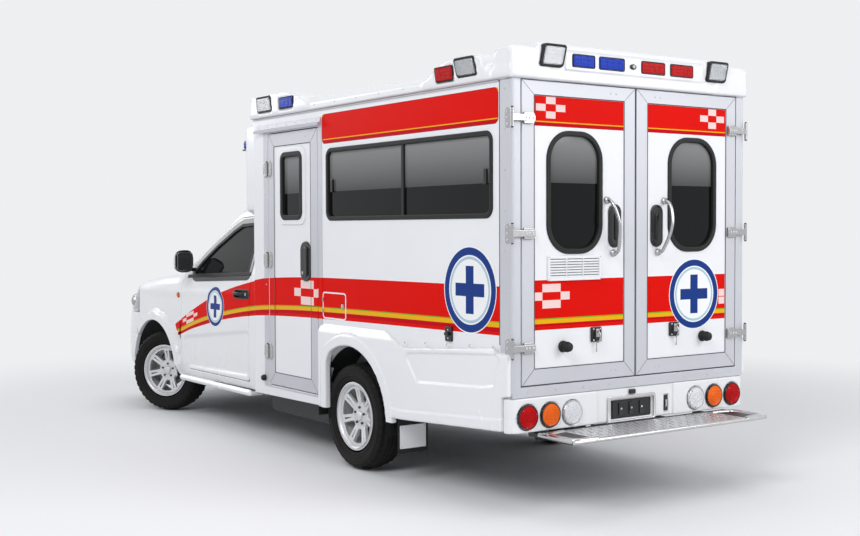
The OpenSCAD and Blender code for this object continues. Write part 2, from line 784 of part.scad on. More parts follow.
// ---------------------------------------------------------------- box body

// Floor with its wheel housings and the side door step well
module box_floor() {
    x0 = box_rear_x + rear_frame_d;
    x1 = box_front_x - wall;
    color("gray") union() {
        difference() {
            slab(x0, x1, -inner_w, inner_w, floor_z - floor_t, floor_z);
            both() bar_y(rear_axle_x, arch_z, arch_r, 618, 1000);
            slab(side_door_x0, side_door_x1, well_y, 1000, 0, floor_z + 1);
            slab(side_door_x0 - 8, side_door_x1 + 8, inner_w - 4, 1000, 0, floor_z + 1);
        }
        both() difference() {
            bar_y(rear_axle_x, arch_z, arch_r + 6, 612, inner_w);
            bar_y(rear_axle_x, arch_z, arch_r, 618, 1000);
            slab(rear_axle_x - 500, rear_axle_x + 500, 500, 1000, -200, 450);
            slab(side_door_x0 - 10, side_door_x1, inner_w - 4, 1000, 0, 1000);
        }
        // Step well inside the side door
        slab(side_door_x0, side_door_x1, well_y, inner_w - 4, 405, 417);
        slab(side_door_x0, side_door_x1, well_y, well_y + 8, 405, floor_z);
        for (x = [side_door_x0, side_door_x1 - 8]) slab(x, x + 8, well_y, inner_w - 4, 405, floor_z);
    }
}

// Outline of a side wall without its openings
module wall_outline() {
    x0 = box_rear_x + rear_frame_d;
    polygon([
        [x0, 600], [skirt_front_x - 90, 600], [skirt_front_x, sill_z], [box_front_x, sill_z - 12],
        [box_front_x, box_top], [x0, box_top]]);
}

module wall_cuts() {
    rounded(window_x0, window_x1, window_z0, window_z1, window_r);
    translate([rear_axle_x, arch_z]) circle(arch_r - 4);
}

module left_wall() {
    color("white") union() {
        side_prism(inner_w, half_w) difference() {
            wall_outline();
            wall_cuts();
            rounded(side_door_x0 - gap, side_door_x1 + gap, side_door_z0 - gap, side_door_z1 + gap, 8);
            rounded(flap_x0 - gap, flap_x1 + gap, flap_z0 - gap, flap_z1 + gap, 20);
        }
        // Rain gutter over the door, hinge leaves on the post and the filler behind its flap
        slab(side_door_x0 - 40, box_front_x - 70, half_w - 1, half_w + 16, side_door_z1 + 24, side_door_z1 + 62);
        for (z = hinge_zs) slab(side_pin_x + hinge_r + 1, side_pin_x + 46, half_w - 1, half_w + 7, z - 48, z + 48);
        for (z = hinge_zs) side_hinge(z, [-48, 48 - leaf_h]);
        slab(flap_x0 - gap - 4, flap_x1 + gap + 4, inner_w - 6, inner_w, flap_z0 - gap - 4, flap_z1 + gap + 4);
        bar_y((flap_x0 + flap_x1) / 2, (flap_z0 + flap_z1) / 2, 36, inner_w - 1, inner_w + 22);
        for (z = [flap_z0 + 40, flap_z1 - 40], k = [-1, 1]) flap_barrel(z + k * (25 + pin_gap), 10);
    }
}

// Fixed barrels of one side door hinge, which start at the given heights from z
module side_hinge(z, starts) {
    for (s = starts) bar_z(side_pin_x, side_pin_y, hinge_r, z + s, z + s + leaf_h);
    for (s = starts) slab(side_pin_x, side_pin_x + hinge_r + 4, half_w - 1, side_pin_y, z + s, z + s + leaf_h);
}

// Fixed barrel of the fuel flap, h above and below z
module flap_barrel(z, h) {
    bar_z(flap_pin_x, flap_pin_y, 4, z - h, z + h);
    slab(flap_pin_x, flap_pin_x + 10, half_w - 1, flap_pin_y, z - h, z + h);
}

module right_wall() {
    color("white") mirror([0, 1, 0]) side_prism(inner_w, half_w) difference() {
        wall_outline();
        wall_cuts();
    }
}

module bulkhead() {
    color("white") front_prism(box_front_x - wall, box_front_x) difference() {
        translate([-inner_w + fit, cab_floor_z]) square([2 * inner_w - 2 * fit, box_top - cab_floor_z]);
        rounded(-260, 260, 1230, 1480, 50);
    }
}

// Rear door frame with its corner posts and its fixed hinge leaves
module rear_frame() {
    x0 = box_rear_x;
    x1 = box_rear_x + rear_frame_d;
    color("silver") union() {
        front_prism(x0, x1) difference() {
            translate([-half_w, 612]) square([box_w, box_top - 612]);
            translate([-rear_open_y, rear_open_z0]) square([2 * rear_open_y, box_top]);
        }
        slab(x0 + door_t + 4, x1, -rear_open_y, rear_open_y, box_top - 30, box_top);
        both() side_leaf();
    }
}

// Fixed leaves of the three rear hinges on one side
module side_leaf() {
    for (z = rear_hinge_zs) {
        slab(rear_pin_x + 20, box_rear_x + 50, half_w - 1, half_w + 7, z - 48, z + 48);
        for (s = [-48, 48 - leaf_h]) bar_z(rear_pin_x, rear_pin_y, hinge_r, z + s, z + s + leaf_h);
        for (s = [-48, 48 - leaf_h])
            slab(rear_pin_x - 1, rear_pin_x + 22, half_w - 1, rear_pin_y, z + s, z + s + leaf_h);
    }
}

// Cross-section of the roof moulding, taken in by t
module roof_section(t) {
    w = half_w + 20 - t;
    polygon([
        [-w, box_top], [-w, box_top + 50 - t / 2], [-w + 40, box_top + 88 - t], [-w + 300, box_top + 120 - t],
        [0, box_top + 136 - t], [w - 300, box_top + 120 - t], [w - 40, box_top + 88 - t],
        [w, box_top + 50 - t / 2], [w, box_top]]);
}

// Lamp housing on the roof edge, between x0 and x1, on the left
module roof_pod(x0, x1) {
    front_prism(x0, x1) polygon([
        [half_w - 220, box_top + 80], [half_w - 180, box_top + 160], [half_w - 60, box_top + 160],
        [half_w + 18, box_top + 110], [half_w + 24, box_top + 20], [half_w - 80, box_top + 20]]);
}

module roof_cap() {
    x0 = box_rear_x - 16;
    x1 = box_front_x + 20;
    color("white") difference() {
        union() {
            front_prism(x0, x1) roof_section(0);
            side_prism(-690, 690) polygon([
                [x0, box_top + 10], [x0, box_top + 150], [x0 + 40, box_top + 196], [x0 + 170, box_top + 200],
                [x0 + 380, box_top + 110], [x0 + 380, box_top + 60]]);
            both() roof_pod(x1 - 800, x1 - 10);
            both() roof_pod(x0 + 240, x0 + 760);
            both() roof_pod(x0, x0 + 120);
        }
        front_prism(box_rear_x + rear_frame_d, box_front_x - wall) roof_section(wall);
        rear_lamp_row(fit, concat(blue_lamp_ys, red_lamp_ys), 150);
        rear_lamp_row(fit, flood_lamp_ys, 100);
        both() side_lamp_row(fit);
    }
}

// Blue, red and flood lamps along the rear face of the roof moulding, each grown by g
module rear_lamp_row(g, starts, width) {
    x0 = box_rear_x - 16;
    for (y = starts) slab(x0 - 14, x0 + 12 + g, y - g, y + width + g, box_top + 76 - g, box_top + 146 + g);
}

// Lamps of the corner housings on the left, each grown by g
module side_lamp_row(g) {
    x0 = box_rear_x - 16;
    x1 = box_front_x + 20;
    for (x = [x0 + 270, x0 + 480, x1 - 500, x1 - 240])
        slab(x - g, x + 160 + g, half_w - 4 - g, half_w + 34, box_top + 34 - g, box_top + 102 + g);
}

// Blue and red lamps, and the white flood lamps, in pockets of the roof moulding
module roof_lamps() {
    color("royalblue") rear_lamp_row(0, blue_lamp_ys, 150);
    color("red") rear_lamp_row(0, red_lamp_ys, 150);
    color("white") rear_lamp_row(0, flood_lamp_ys, 100);
    color("white") both() side_lamp_row(0);
}

// Wind deflector over the cab roof
module fairing() {
    color("white") difference() {
        fairing_form(0);
        fairing_form(10);
        slab(box_front_x - 100, box_front_x - 0.1, -1000, 1000, 0, 3000);
    }
}

module fairing_form(t) {
    b = box_front_x;
    z0 = roof_z + 12;
    intersection() {
        side_prism(-1000, 1000) polygon([
            [b - t, z0 - t], [b + 760 - t, z0 - t], [b + 700 - t, z0 + 160 - t], [b + 560 - t, 2120 - t],
            [b + 480 - t, box_top - 20 - t], [b - t, box_top - 4 - t]]);
        plan_prism(z0 - 20, box_top) polygon([
            [b - t, -800 + t], [b + 300, -770 + t], [b + 560, -640 + t], [b + 700 - t, -420 + t],
            [b + 760 - t, 0], [b + 700 - t, 420 - t], [b + 560, 640 - t], [b + 300, 770 - t], [b - t, 800 - t]]);
    }
}

// Lower side mouldings with the flares of the rear wheel arches
module skirts() {
    r = rear_axle_x;
    out = half_w + 34;
    color("white") both() {
        difference() {
            side_prism(half_w + fit, out) difference() {
                polygon([
                    [skirt_front_x, 400], [skirt_front_x, 861], [r + 300, 900], [r, 918], [r - 300, 890],
                    [r - 560, 832], [box_rear_x + 56, 872], [box_rear_x + 56, 800], [box_rear_x + 4, 800],
                    [box_rear_x + 4, 620], [box_rear_x + 64, 620], [box_rear_x + 64, 450], [r - 590, 387],
                    [skirt_front_x, 387]]);
                translate([r, arch_z]) circle(arch_r);
                translate([r - arch_r, 0]) square([2 * arch_r - 40, arch_z]);
            }
            // Room for the lowest hinge strap of the open rear door
            slab(box_rear_x, box_rear_x + 125, half_w + 7, out + 1, 840, 900);
        }
        // Returns that carry the lower edge on the floor
        side_prism(inner_w + 20, half_w + 1) polygon([
            [r - 620, 420], [box_rear_x + 70, 470], [box_rear_x + 70, 560], [r - 560, 598]]);
    }
}

module rear_bumper() {
    x0 = box_rear_x - 6;
    color("white") difference() {
        plan_prism(431, 612 - fit) polygon([
            [x0 + 66, -half_w - 18], [x0 + 30, -half_w - 16], [x0 + 8, -half_w + 6], [x0, -half_w + 36],
            [x0, half_w - 36], [x0 + 8, half_w - 6], [x0 + 30, half_w + 16], [x0 + 66, half_w + 18],
            [x0 + 66, half_w - 20], [x0 + 44, half_w - 60], [x0 + 44, -half_w + 60], [x0 + 66, -half_w + 20]]);
        front_prism(x0 - 1, x0 + 26) rounded(-157, 197, 424, 567, 14);
        front_prism(x0 - 10, x0 + 60) bumper_bores();
    }
}

// Bores for the two bolts of the number plate
module bumper_bores() {
    for (y = [-65, 105]) translate([y, 496]) circle(3.3);
}

// Six round lamps
module tail_lamps() {
    color("red") both() for (y = [768, 616, 466])
        bar_x(y, 512, 65, box_rear_x - 24, box_rear_x - 6 - fit);
}

// Tread plate with its brackets to the frame
module rear_step() {
    x0 = step_rear_x;
    color("silver") union() {
        plan_prism(404, 428) union() {
            translate([x0 + 40, -712]) square([step_l - 52, 1424]);
            translate([x0, -672]) square([step_l - 12, 1344]);
            for (y = [-672, 672]) translate([x0 + 40, y]) circle(40);
        }
        both() slab(box_rear_x - 80, rail_end_x + 180, rail_in + 10, rail_out - 10, 380, 405);
        both() slab(rail_end_x + 20, rail_end_x + 180, rail_in + 10, rail_out - 10, 380, rail_rear_z - fit);
    }
}

module mud_flaps() {
    x = rear_axle_x - arch_r - 70;
    color("black") both() {
        slab(x - 8, x, 645, half_w - 4, 170, 470);
        slab(x - 8, x + 20, 645, half_w - 50, 470, floor_z - floor_t);
    }
}

module fixed_windows() {
    color("black", 0.7) union() {
        both() {
            side_prism(half_w - 30, half_w - 24) rounded(window_x0 + fit, window_x1 - fit,
                window_z0 + fit, window_z1 - fit, window_r);
            side_prism(half_w - 30, half_w + 6) difference() {
                rounded(window_x0 + fit, window_x1 - fit, window_z0 + fit, window_z1 - fit, window_r);
                rounded(window_x0 + rubber, window_x1 - rubber, window_z0 + rubber,
                    window_z1 - rubber, window_r - rubber);
            }
        }
        front_prism(box_front_x - 24, box_front_x - 18) rounded(-260 + fit, 260 - fit,
            1230 + fit, 1480 - fit, 50);
        front_prism(cab_rear_x + 10, cab_rear_x + 16) rounded(-520 + fit, 520 - fit,
            1200 + fit, 1500 - fit, 60);
    }
}

// Attendant bench along the right wall: locker, cushion and back pad
module bench() {
    x0 = box_rear_x + 300;
    x1 = box_front_x - 700;
    color("lightgray") {
        mirror([0, 1, 0]) {
            slab(x0, x1, 440, 456, floor_z, 1040);
            slab(x0, x0 + 16, 456, inner_w - fit, floor_z, 1040);
            slab(x1 - 16, x1, 456, inner_w - fit, floor_z, 1040);
            slab(x0, x1, 440, inner_w - fit, 1040, 1056);
            slab(x0 + 5, x1 - 5, 430, inner_w - 70, 1056 + fit, 1136);
            slab(x0 + 5, x1 - 5, inner_w - 60, inner_w - fit, 1150, 1500);
        }
    }
}

module side_door() {
    x0 = side_door_x0;
    x1 = side_door_x1;
    y0 = half_w - door_t;
    mid = (x0 + x1) / 2;
    color("white") union() {
        side_prism(y0, half_w) difference() {
            rounded(x0, x1, side_door_z0, side_door_z1, 4);
            rounded(mid - 133, mid + 133, 1555, 1975, 40);
        }
        for (z = hinge_zs) {
            bar_z(side_pin_x, side_pin_y, hinge_r, z - 18, z + 18);
            slab(x1 - 5, side_pin_x, half_w + 1, half_w + 7, z - 18, z + 18);
            slab(x1 - 36, x1 - 4, half_w - 1, half_w + 7, z - 48, z + 48);
        }
        // Paddle handle
        side_prism(half_w - 1, half_w + 22) rounded(x0 + 155, x0 + 215, 1150, 1400, 29);
    }
}

module side_door_glass() {
    mid = (side_door_x0 + side_door_x1) / 2;
    color("black", 0.6) side_prism(half_w - 28, half_w - 22)
        rounded(mid - 133 + fit, mid + 133 - fit, 1555 + fit, 1975 - fit, 40);
}

// Outline of one oval window, taken in by g
module oval(g) {
    rounded(oval_y0 + g, oval_y1 - g, oval_z0 + g, oval_z1 - g, (oval_y1 - oval_y0) / 2 - g - 10);
}

module rear_door(side) {
    x0 = box_rear_x;
    color("white") on_side(side) union() {
        front_prism(x0, x0 + door_t) difference() {
            translate([gap / 2, rear_open_z0 + gap])
                square([rear_open_y - 1.5 * gap, rear_open_z1 - rear_open_z0 - 2 * gap]);
            oval(0);
        }
        for (z = rear_hinge_zs) {
            bar_z(rear_pin_x, rear_pin_y, hinge_r, z - 18, z + 18);
            slab(rear_pin_x - hinge_r, rear_pin_x - 2, half_w - 30, rear_pin_y, z - 18, z + 18);
            slab(x0 - 24, x0 - 17, rear_open_y - 80, half_w - 20, z - 18, z + 18);
            slab(x0 - 24, x0 + 1, rear_open_y - 80, rear_open_y - 10, z - 18, z + 18);
        }
        // Grab handle near the meeting edge
        bar_z(x0 - 45, 110, 10, 1340, 1620);
        for (z = [1350, 1610]) bar_x(110, z, 9, x0 - 45, x0 + 1);
    }
}

module rear_glass(side) {
    x0 = box_rear_x;
    color("black", 0.6) on_side(side) union() {
        front_prism(x0 + 12, x0 + 18) oval(fit);
        front_prism(x0 - 6, x0 + 18) difference() {
            oval(fit);
            oval(rubber);
        }
    }
}

module fuel_flap() {
    color("red") union() {
        side_prism(half_w - 8, half_w) rounded(flap_x0, flap_x1, flap_z0, flap_z1, 16);
        for (z = [flap_z0 + 40, flap_z1 - 40]) bar_z(flap_pin_x, flap_pin_y, 4, z - 15, z + 15);
        for (z = [flap_z0 + 40, flap_z1 - 40]) slab(flap_x1 - 22, flap_pin_x, half_w - 1, flap_pin_y, z - 15, z + 15);
    }
}

rail(1);  // rail_left
rail(-1);  // rail_right
cross_members();
engine();
driveline();
exhaust();
fuel_tank();
rear_axle();
rear_springs();
front_suspension();
cab_shell();
windscreen();
front_wings();
grille();
headlamps();
front_bumper();
side_steps();
dashboard();
steering_wheel();
seats();
box_floor();
left_wall();
right_wall();
bulkhead();
rear_frame();
roof_cap();
fairing();
skirts();
rear_bumper();
tail_lamps();
rear_step();
mud_flaps();
fixed_windows();
roof_lamps();
bench();
hood();
cab_door(1);  // cab_door_left
cab_door(-1);  // cab_door_right
door_glass(1);  // door_glass_left
door_glass(-1);  // door_glass_right
mirror_unit(1);  // mirror_left
mirror_unit(-1);  // mirror_right
side_door();
side_door_glass();
rear_door(1);  // rear_door_left
rear_door(-1);  // rear_door_right
rear_glass(1);  // rear_glass_left
rear_glass(-1);  // rear_glass_right
fuel_flap();
knuckle(1);  // knuckle_left
knuckle(-1);  // knuckle_right
at_front_wheel(1) tyre();  // tyre_front_left
at_front_wheel(-1) tyre();  // tyre_front_right
at_rear_wheel(1) tyre();  // tyre_rear_left
at_rear_wheel(-1) tyre();  // tyre_rear_right
at_front_wheel(1) rim(1);  // rim_front_left
at_front_wheel(-1) rim(-1);  // rim_front_right
at_rear_wheel(1) rim(1);  // rim_rear_left
at_rear_wheel(-1) rim(-1);  // rim_rear_right
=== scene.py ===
"""Looks of a box-bodied ambulance on a single-cab pickup chassis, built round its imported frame.

Metres, in the row frame: +X forward, +Y to the vehicle's left, +Z up, the ground at Z 0. Every piece is
modelled where the frame says it stands, and rides on the body that carries it.
"""

import sys

import json
import logging
import math
from collections.abc import Callable, Iterable, Sequence
from dataclasses import dataclass, field
from enum import Enum
from functools import cache

import bpy
import numpy as np
from mathutils import Matrix, Vector
from mathutils.geometry import delaunay_2d_cdt

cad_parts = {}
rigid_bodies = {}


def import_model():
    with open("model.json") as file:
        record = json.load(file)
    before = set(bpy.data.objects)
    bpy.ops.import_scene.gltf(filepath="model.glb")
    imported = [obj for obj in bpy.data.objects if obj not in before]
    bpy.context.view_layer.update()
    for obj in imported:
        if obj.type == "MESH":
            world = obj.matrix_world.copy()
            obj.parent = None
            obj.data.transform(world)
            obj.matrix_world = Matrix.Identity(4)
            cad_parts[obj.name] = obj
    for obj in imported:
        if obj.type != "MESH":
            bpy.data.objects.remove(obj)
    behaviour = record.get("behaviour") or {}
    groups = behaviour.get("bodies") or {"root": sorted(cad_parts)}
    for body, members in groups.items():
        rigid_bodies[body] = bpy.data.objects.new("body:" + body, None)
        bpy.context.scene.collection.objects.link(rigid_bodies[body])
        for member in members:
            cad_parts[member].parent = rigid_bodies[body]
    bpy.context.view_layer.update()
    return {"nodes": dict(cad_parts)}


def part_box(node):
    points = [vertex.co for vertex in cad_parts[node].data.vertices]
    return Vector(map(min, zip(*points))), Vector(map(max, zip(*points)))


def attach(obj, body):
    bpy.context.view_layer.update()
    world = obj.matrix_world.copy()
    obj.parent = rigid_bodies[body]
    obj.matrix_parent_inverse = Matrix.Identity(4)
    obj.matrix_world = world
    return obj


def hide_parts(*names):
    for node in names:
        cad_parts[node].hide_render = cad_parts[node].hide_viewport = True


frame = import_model()
LOG = logging.getLogger("ambulance")
Points = np.ndarray
Surface = Callable[[Points], tuple[Points, Points]]
RGB = tuple[float, float, float]

# Places of a field that are worked out in one go
MOST_AT_ONCE = 300000
# Axis of the rear doors' hinge pins: along the vehicle, and to each side
PIN_X, PIN_Y = -2.611, 0.873
# Place along the vehicle of the side door's hinge pins
SIDE_PIN_X = 0.062


# ---------------------------------------------------------------- finishes


class Relief(Enum):
    """The fine relief of a finish."""

    SPECKLE = "speckle"
    BRUSHED = "brushed"
    TREAD_BARS = "tread_bars"
    WEAVE = "weave"
    RIBS = "ribs"


def socketed_group(name: str, ins: dict[str, tuple[str, object]],
                   outs: dict[str, str]) -> bpy.types.NodeTree:
    """Make an empty shader node group with named sockets.

    Args:
        name: the group's name.
        ins: input name to its socket kind and default.
        outs: output name to its socket kind.

    Returns:
        The group, with a "Group Input" and a "Group Output" node in it.
    """
    tree = bpy.data.node_groups.new(name, "ShaderNodeTree")
    for key, (kind, default) in ins.items():
        socket = tree.interface.new_socket(key, in_out="INPUT", socket_type=kind)
        if default is not None:
            socket.default_value = default
    for key, kind in outs.items():
        tree.interface.new_socket(key, in_out="OUTPUT", socket_type=kind)
    tree.nodes.new("NodeGroupInput").name = "In"
    tree.nodes.new("NodeGroupOutput").name = "Out"
    return tree


class Shop:
    """Builds the shared node groups once, and each finish's material once."""

    def __init__(self) -> None:
        """Start with nothing mixed."""
        self.materials: dict[str, bpy.types.Material] = {}

    @staticmethod
    def math(tree: bpy.types.NodeTree, op: str, a: object, b: object = 0.0, c: object = 0.0) -> object:
        """Add a math node.

        Args:
            tree: the tree that it goes in.
            op: its operation.
            a: first value or socket.
            b: second value or socket.
            c: third value or socket.

        Returns:
            Its output socket.
        """
        node = tree.nodes.new("ShaderNodeMath")
        node.operation = op
        for at, value in enumerate((a, b, c)):
            if isinstance(value, (int, float)):
                node.inputs[at].default_value = value
            else:
                tree.links.new(value, node.inputs[at])
        return node.outputs[0]

    @cache
    def tone(self) -> bpy.types.NodeTree:
        """The group that gives a slow and a fine noise over the surface."""
        tree = socketed_group(
            "surface_tone",
            {"Place": ("NodeSocketVector", None), "Slow": ("NodeSocketFloat", 2.0),
             "Fine": ("NodeSocketFloat", 600.0)},
            {"Cloud": "NodeSocketFloat", "Grain": "NodeSocketFloat"},
        )
        source, end = tree.nodes["In"], tree.nodes["Out"]
        for key, scale, detail in (("Cloud", "Slow", 4.0), ("Grain", "Fine", 2.0)):
            noise = tree.nodes.new("ShaderNodeTexNoise")
            noise.inputs["Detail"].default_value = detail
            tree.links.new(source.outputs["Place"], noise.inputs["Vector"])
            tree.links.new(source.outputs[scale], noise.inputs["Scale"])
            tree.links.new(noise.outputs["Fac"], end.inputs[key])
        return tree

    @cache
    def drift(self) -> bpy.types.NodeTree:
        """The group that lets a colour wander lighter and darker by a share."""
        tree = socketed_group(
            "colour_drift",
            {"Colour": ("NodeSocketColor", None), "Cloud": ("NodeSocketFloat", 0.5),
             "Share": ("NodeSocketFloat", 0.05)},
            {"Colour": "NodeSocketColor"},
        )
        source, end = tree.nodes["In"], tree.nodes["Out"]
        swing = self.math(tree, "SUBTRACT", source.outputs["Cloud"], 0.5)
        swing = self.math(tree, "MULTIPLY", swing, source.outputs["Share"])
        bright = self.math(tree, "MULTIPLY_ADD", swing, 2.0, 1.0)
        scale = tree.nodes.new("ShaderNodeVectorMath")
        scale.operation = "SCALE"
        tree.links.new(source.outputs["Colour"], scale.inputs[0])
        tree.links.new(bright, scale.inputs["Scale"])
        tree.links.new(scale.outputs[0], end.inputs["Colour"])
        return tree

    @cache
    def fade(self) -> bpy.types.NodeTree:
        """The group that paints a reflection of the sky on a pane: a step paler above its middle, then
        paler still towards its top.
        """
        tree = socketed_group(
            "pane_painted_reflection",
            {
                "Colour": ("NodeSocketColor", None),
                "Place": ("NodeSocketVector", None),
                "Low": ("NodeSocketFloat", 1.5),
                "High": ("NodeSocketFloat", 2.0),
                "Lift": ("NodeSocketFloat", 0.1),
            },
            {"Colour": "NodeSocketColor"},
        )
        source, end = tree.nodes["In"], tree.nodes["Out"]
        split = tree.nodes.new("ShaderNodeSeparateXYZ")
        tree.links.new(source.outputs["Place"], split.inputs[0])
        above = self.math(tree, "SUBTRACT", split.outputs["Z"], source.outputs["Low"])
        span = self.math(tree, "SUBTRACT", source.outputs["High"], source.outputs["Low"])
        share = self.math(tree, "DIVIDE", above, span)
        upper = self.math(tree, "GREATER_THAN", share, 0.0)
        slope = self.math(tree, "MULTIPLY_ADD", share, 0.75, 0.25)
        slope = self.math(tree, "MULTIPLY", self.math(tree, "MULTIPLY", slope, upper),
                          source.outputs["Lift"])
        rise = tree.nodes.new("ShaderNodeCombineXYZ")
        for axis in "XYZ":
            tree.links.new(slope, rise.inputs[axis])
        total = tree.nodes.new("ShaderNodeVectorMath")
        total.operation = "ADD"
        tree.links.new(source.outputs["Colour"], total.inputs[0])
        tree.links.new(rise.outputs[0], total.inputs[1])
        tree.links.new(total.outputs[0], end.inputs["Colour"])
        return tree

    @cache
    def dust(self) -> bpy.types.NodeTree:
        """The group that lays road dust over a colour, thicker towards the ground."""
        tree = socketed_group(
            "road_dust",
            {
                "Colour": ("NodeSocketColor", None),
                "Roughness": ("NodeSocketFloat", 0.4),
                "Place": ("NodeSocketVector", None),
                "Cloud": ("NodeSocketFloat", 0.5),
                "Amount": ("NodeSocketFloat", 0.2),
            },
            {"Colour": "NodeSocketColor", "Roughness": "NodeSocketFloat"},
        )
        source, end = tree.nodes["In"], tree.nodes["Out"]
        split = tree.nodes.new("ShaderNodeSeparateXYZ")
        tree.links.new(source.outputs["Place"], split.inputs[0])
        low = tree.nodes.new("ShaderNodeMapRange")
        for key, value in (("From Min", 0.75), ("From Max", 0.05), ("To Min", 0.08), ("To Max", 1.0)):
            low.inputs[key].default_value = value
        tree.links.new(split.outputs["Z"], low.inputs["Value"])
        mask = self.math(tree, "MULTIPLY", low.outputs[0], source.outputs["Cloud"])
        mask = self.math(tree, "MULTIPLY", mask, source.outputs["Amount"])
        mix = tree.nodes.new("ShaderNodeMix")
        mix.data_type = "RGBA"
        mix.inputs["B"].default_value = (0.33, 0.29, 0.24, 1.0)
        tree.links.new(mask, mix.inputs["Factor"])
        tree.links.new(source.outputs["Colour"], mix.inputs["A"])
        tree.links.new(mix.outputs["Result"], end.inputs["Colour"])
        rough = self.math(tree, "MULTIPLY_ADD", mask, 0.5, source.outputs["Roughness"])
        tree.links.new(self.math(tree, "MINIMUM", rough, 1.0), end.inputs["Roughness"])
        return tree

    @cache
    def relief(self, kind: Relief) -> bpy.types.NodeTree:
        """Give the group that turns a place into the height of one fine relief.

        Args:
            kind: which relief.

        Returns:
            Its node group, with inputs Place, Pitch and Grain and the output Height.
        """
        tree = socketed_group(
            f"relief_{kind.value}",
            {"Place": ("NodeSocketVector", None), "Pitch": ("NodeSocketFloat", 200.0),
             "Grain": ("NodeSocketFloat", 0.5)},
            {"Height": "NodeSocketFloat"},
        )
        source, end = tree.nodes["In"], tree.nodes["Out"]
        place, pitch, grain = (source.outputs[key] for key in ("Place", "Pitch", "Grain"))
        if kind is Relief.SPECKLE:
            out = grain
        elif kind is Relief.BRUSHED:
            stretch = tree.nodes.new("ShaderNodeMapping")
            stretch.inputs["Scale"].default_value = (1.0, 1.0, 0.02)
            tree.links.new(place, stretch.inputs["Vector"])
            noise = tree.nodes.new("ShaderNodeTexNoise")
            tree.links.new(stretch.outputs[0], noise.inputs["Vector"])
            tree.links.new(pitch, noise.inputs["Scale"])
            out = noise.outputs["Fac"]
        else:
            split = tree.nodes.new("ShaderNodeSeparateXYZ")
            tree.links.new(place, split.inputs[0])
            across, along, tall = (
                self.math(tree, "MULTIPLY", split.outputs[key], pitch) for key in ("X", "Y", "Z")
            )
            if kind is Relief.TREAD_BARS:
                lean = self.math(tree, "ADD", across, along)
                lean_back = self.math(tree, "SUBTRACT", across, along)
                waves = [self.math(tree, "ABSOLUTE", self.math(tree, "SINE", way))
                         for way in (lean, lean_back)]
                bars = [self.math(tree, "POWER", wave, 4.0) for wave in waves]
                out = self.math(tree, "MULTIPLY_ADD", grain, 0.1, self.math(tree, "MAXIMUM", *bars))
            elif kind is Relief.WEAVE:
                one = self.math(tree, "SINE", self.math(tree, "ADD", across, tall))
                two = self.math(tree, "SINE", along)
                out = self.math(tree, "MULTIPLY_ADD", grain, 0.6, self.math(tree, "MULTIPLY", one, two))
            else:
                ways = (self.math(tree, "ADD", across, along), tall)
                out = self.math(tree, "ADD", *(self.math(tree, "ABSOLUTE", self.math(tree, "SINE", way))
                                               for way in ways))
        tree.links.new(out, end.inputs["Height"])
        return tree

    def mix(self, finish: "Finish") -> bpy.types.Material:
        """Build a finish's material, or give the one already built.

        Args:
            finish: what the surface is like.

        Returns:
            The material.
        """
        if finish.name in self.materials:
            return self.materials[finish.name]
        material = bpy.data.materials.new(finish.name)
        material.use_nodes = True
        tree = material.node_tree
        shader = tree.nodes["Principled BSDF"]
        place = tree.nodes.new("ShaderNodeTexCoord").outputs["Object"]

        def add(group: bpy.types.NodeTree, **values: object) -> bpy.types.Node:
            """Place a group and give its inputs numbers or links."""
            node = tree.nodes.new("ShaderNodeGroup")
            node.node_tree = group
            for key, value in values.items():
                if isinstance(value, bpy.types.NodeSocket):
                    tree.links.new(value, node.inputs[key])
                else:
                    node.inputs[key].default_value = value
            return node

        tone = add(self.tone(), Place=place, Slow=finish.cloud_scale, Fine=finish.grain_scale)
        colour = add(self.drift(), Colour=(*finish.colour, 1.0), Cloud=tone.outputs["Cloud"],
                     Share=finish.drift)
        rough = self.math(tree, "MULTIPLY_ADD", tone.outputs["Cloud"], finish.gloss_drift,
                          finish.roughness - finish.gloss_drift / 2)
        # A pane gets its painted reflection here: its colour turns paler above a height, more so towards
        # its top.
        if finish.fade[1] > finish.fade[0]:
            colour = add(self.fade(), Colour=colour.outputs["Colour"], Place=place, Low=finish.fade[0],
                         High=finish.fade[1],
                         Lift=finish.fade[2])
        if finish.dust > 0:
            colour = add(self.dust(), Colour=colour.outputs["Colour"], Roughness=rough, Place=place,
                         Cloud=tone.outputs["Cloud"], Amount=finish.dust)
            rough = colour.outputs["Roughness"]
        tree.links.new(colour.outputs["Colour"], shader.inputs["Base Color"])
        tree.links.new(rough, shader.inputs["Roughness"])
        shader.inputs["Metallic"].default_value = finish.metallic
        shader.inputs["Coat Weight"].default_value = finish.coat
        shader.inputs["Coat Roughness"].default_value = 0.04
        shader.inputs["IOR"].default_value = finish.ior
        shader.inputs["Transmission Weight"].default_value = finish.clear
        shader.inputs["Sheen Weight"].default_value = finish.sheen
        if finish.relief_depth > 0:
            height = add(self.relief(finish.relief), Place=place, Pitch=finish.pitch,
                         Grain=tone.outputs["Grain"])
            bump = tree.nodes.new("ShaderNodeBump")
            bump.inputs["Strength"].default_value = finish.relief_strength
            bump.inputs["Distance"].default_value = finish.relief_depth
            tree.links.new(height.outputs["Height"], bump.inputs["Height"])
            tree.links.new(bump.outputs["Normal"], shader.inputs["Normal"])
        self.materials[finish.name] = material
        return material


@dataclass(frozen=True)
class Finish:
    """What one surface is like: colour, gloss, cloudiness, fine relief, dust and, on panes, a painted
    reflection.
    """

    name: str
    colour: RGB
    slot: str
    roughness: float = 0.4
    metallic: float = 0.0
    coat: float = 0.0
    clear: float = 0.0
    ior: float = 1.5
    sheen: float = 0.0
    drift: float = 0.03
    cloud_scale: float = 2.5
    gloss_drift: float = 0.06
    grain_scale: float = 700.0
    relief: Relief = Relief.SPECKLE
    relief_depth: float = 0.0002
    relief_strength: float = 0.15
    pitch: float = 200.0
    dust: float = 0.0
    # Painted sky reflection on a pane: the height where it starts, the height of its top, and how much
    # paler the colour gets.
    fade: tuple[float, float, float] = (0.0, 0.0, 0.0)


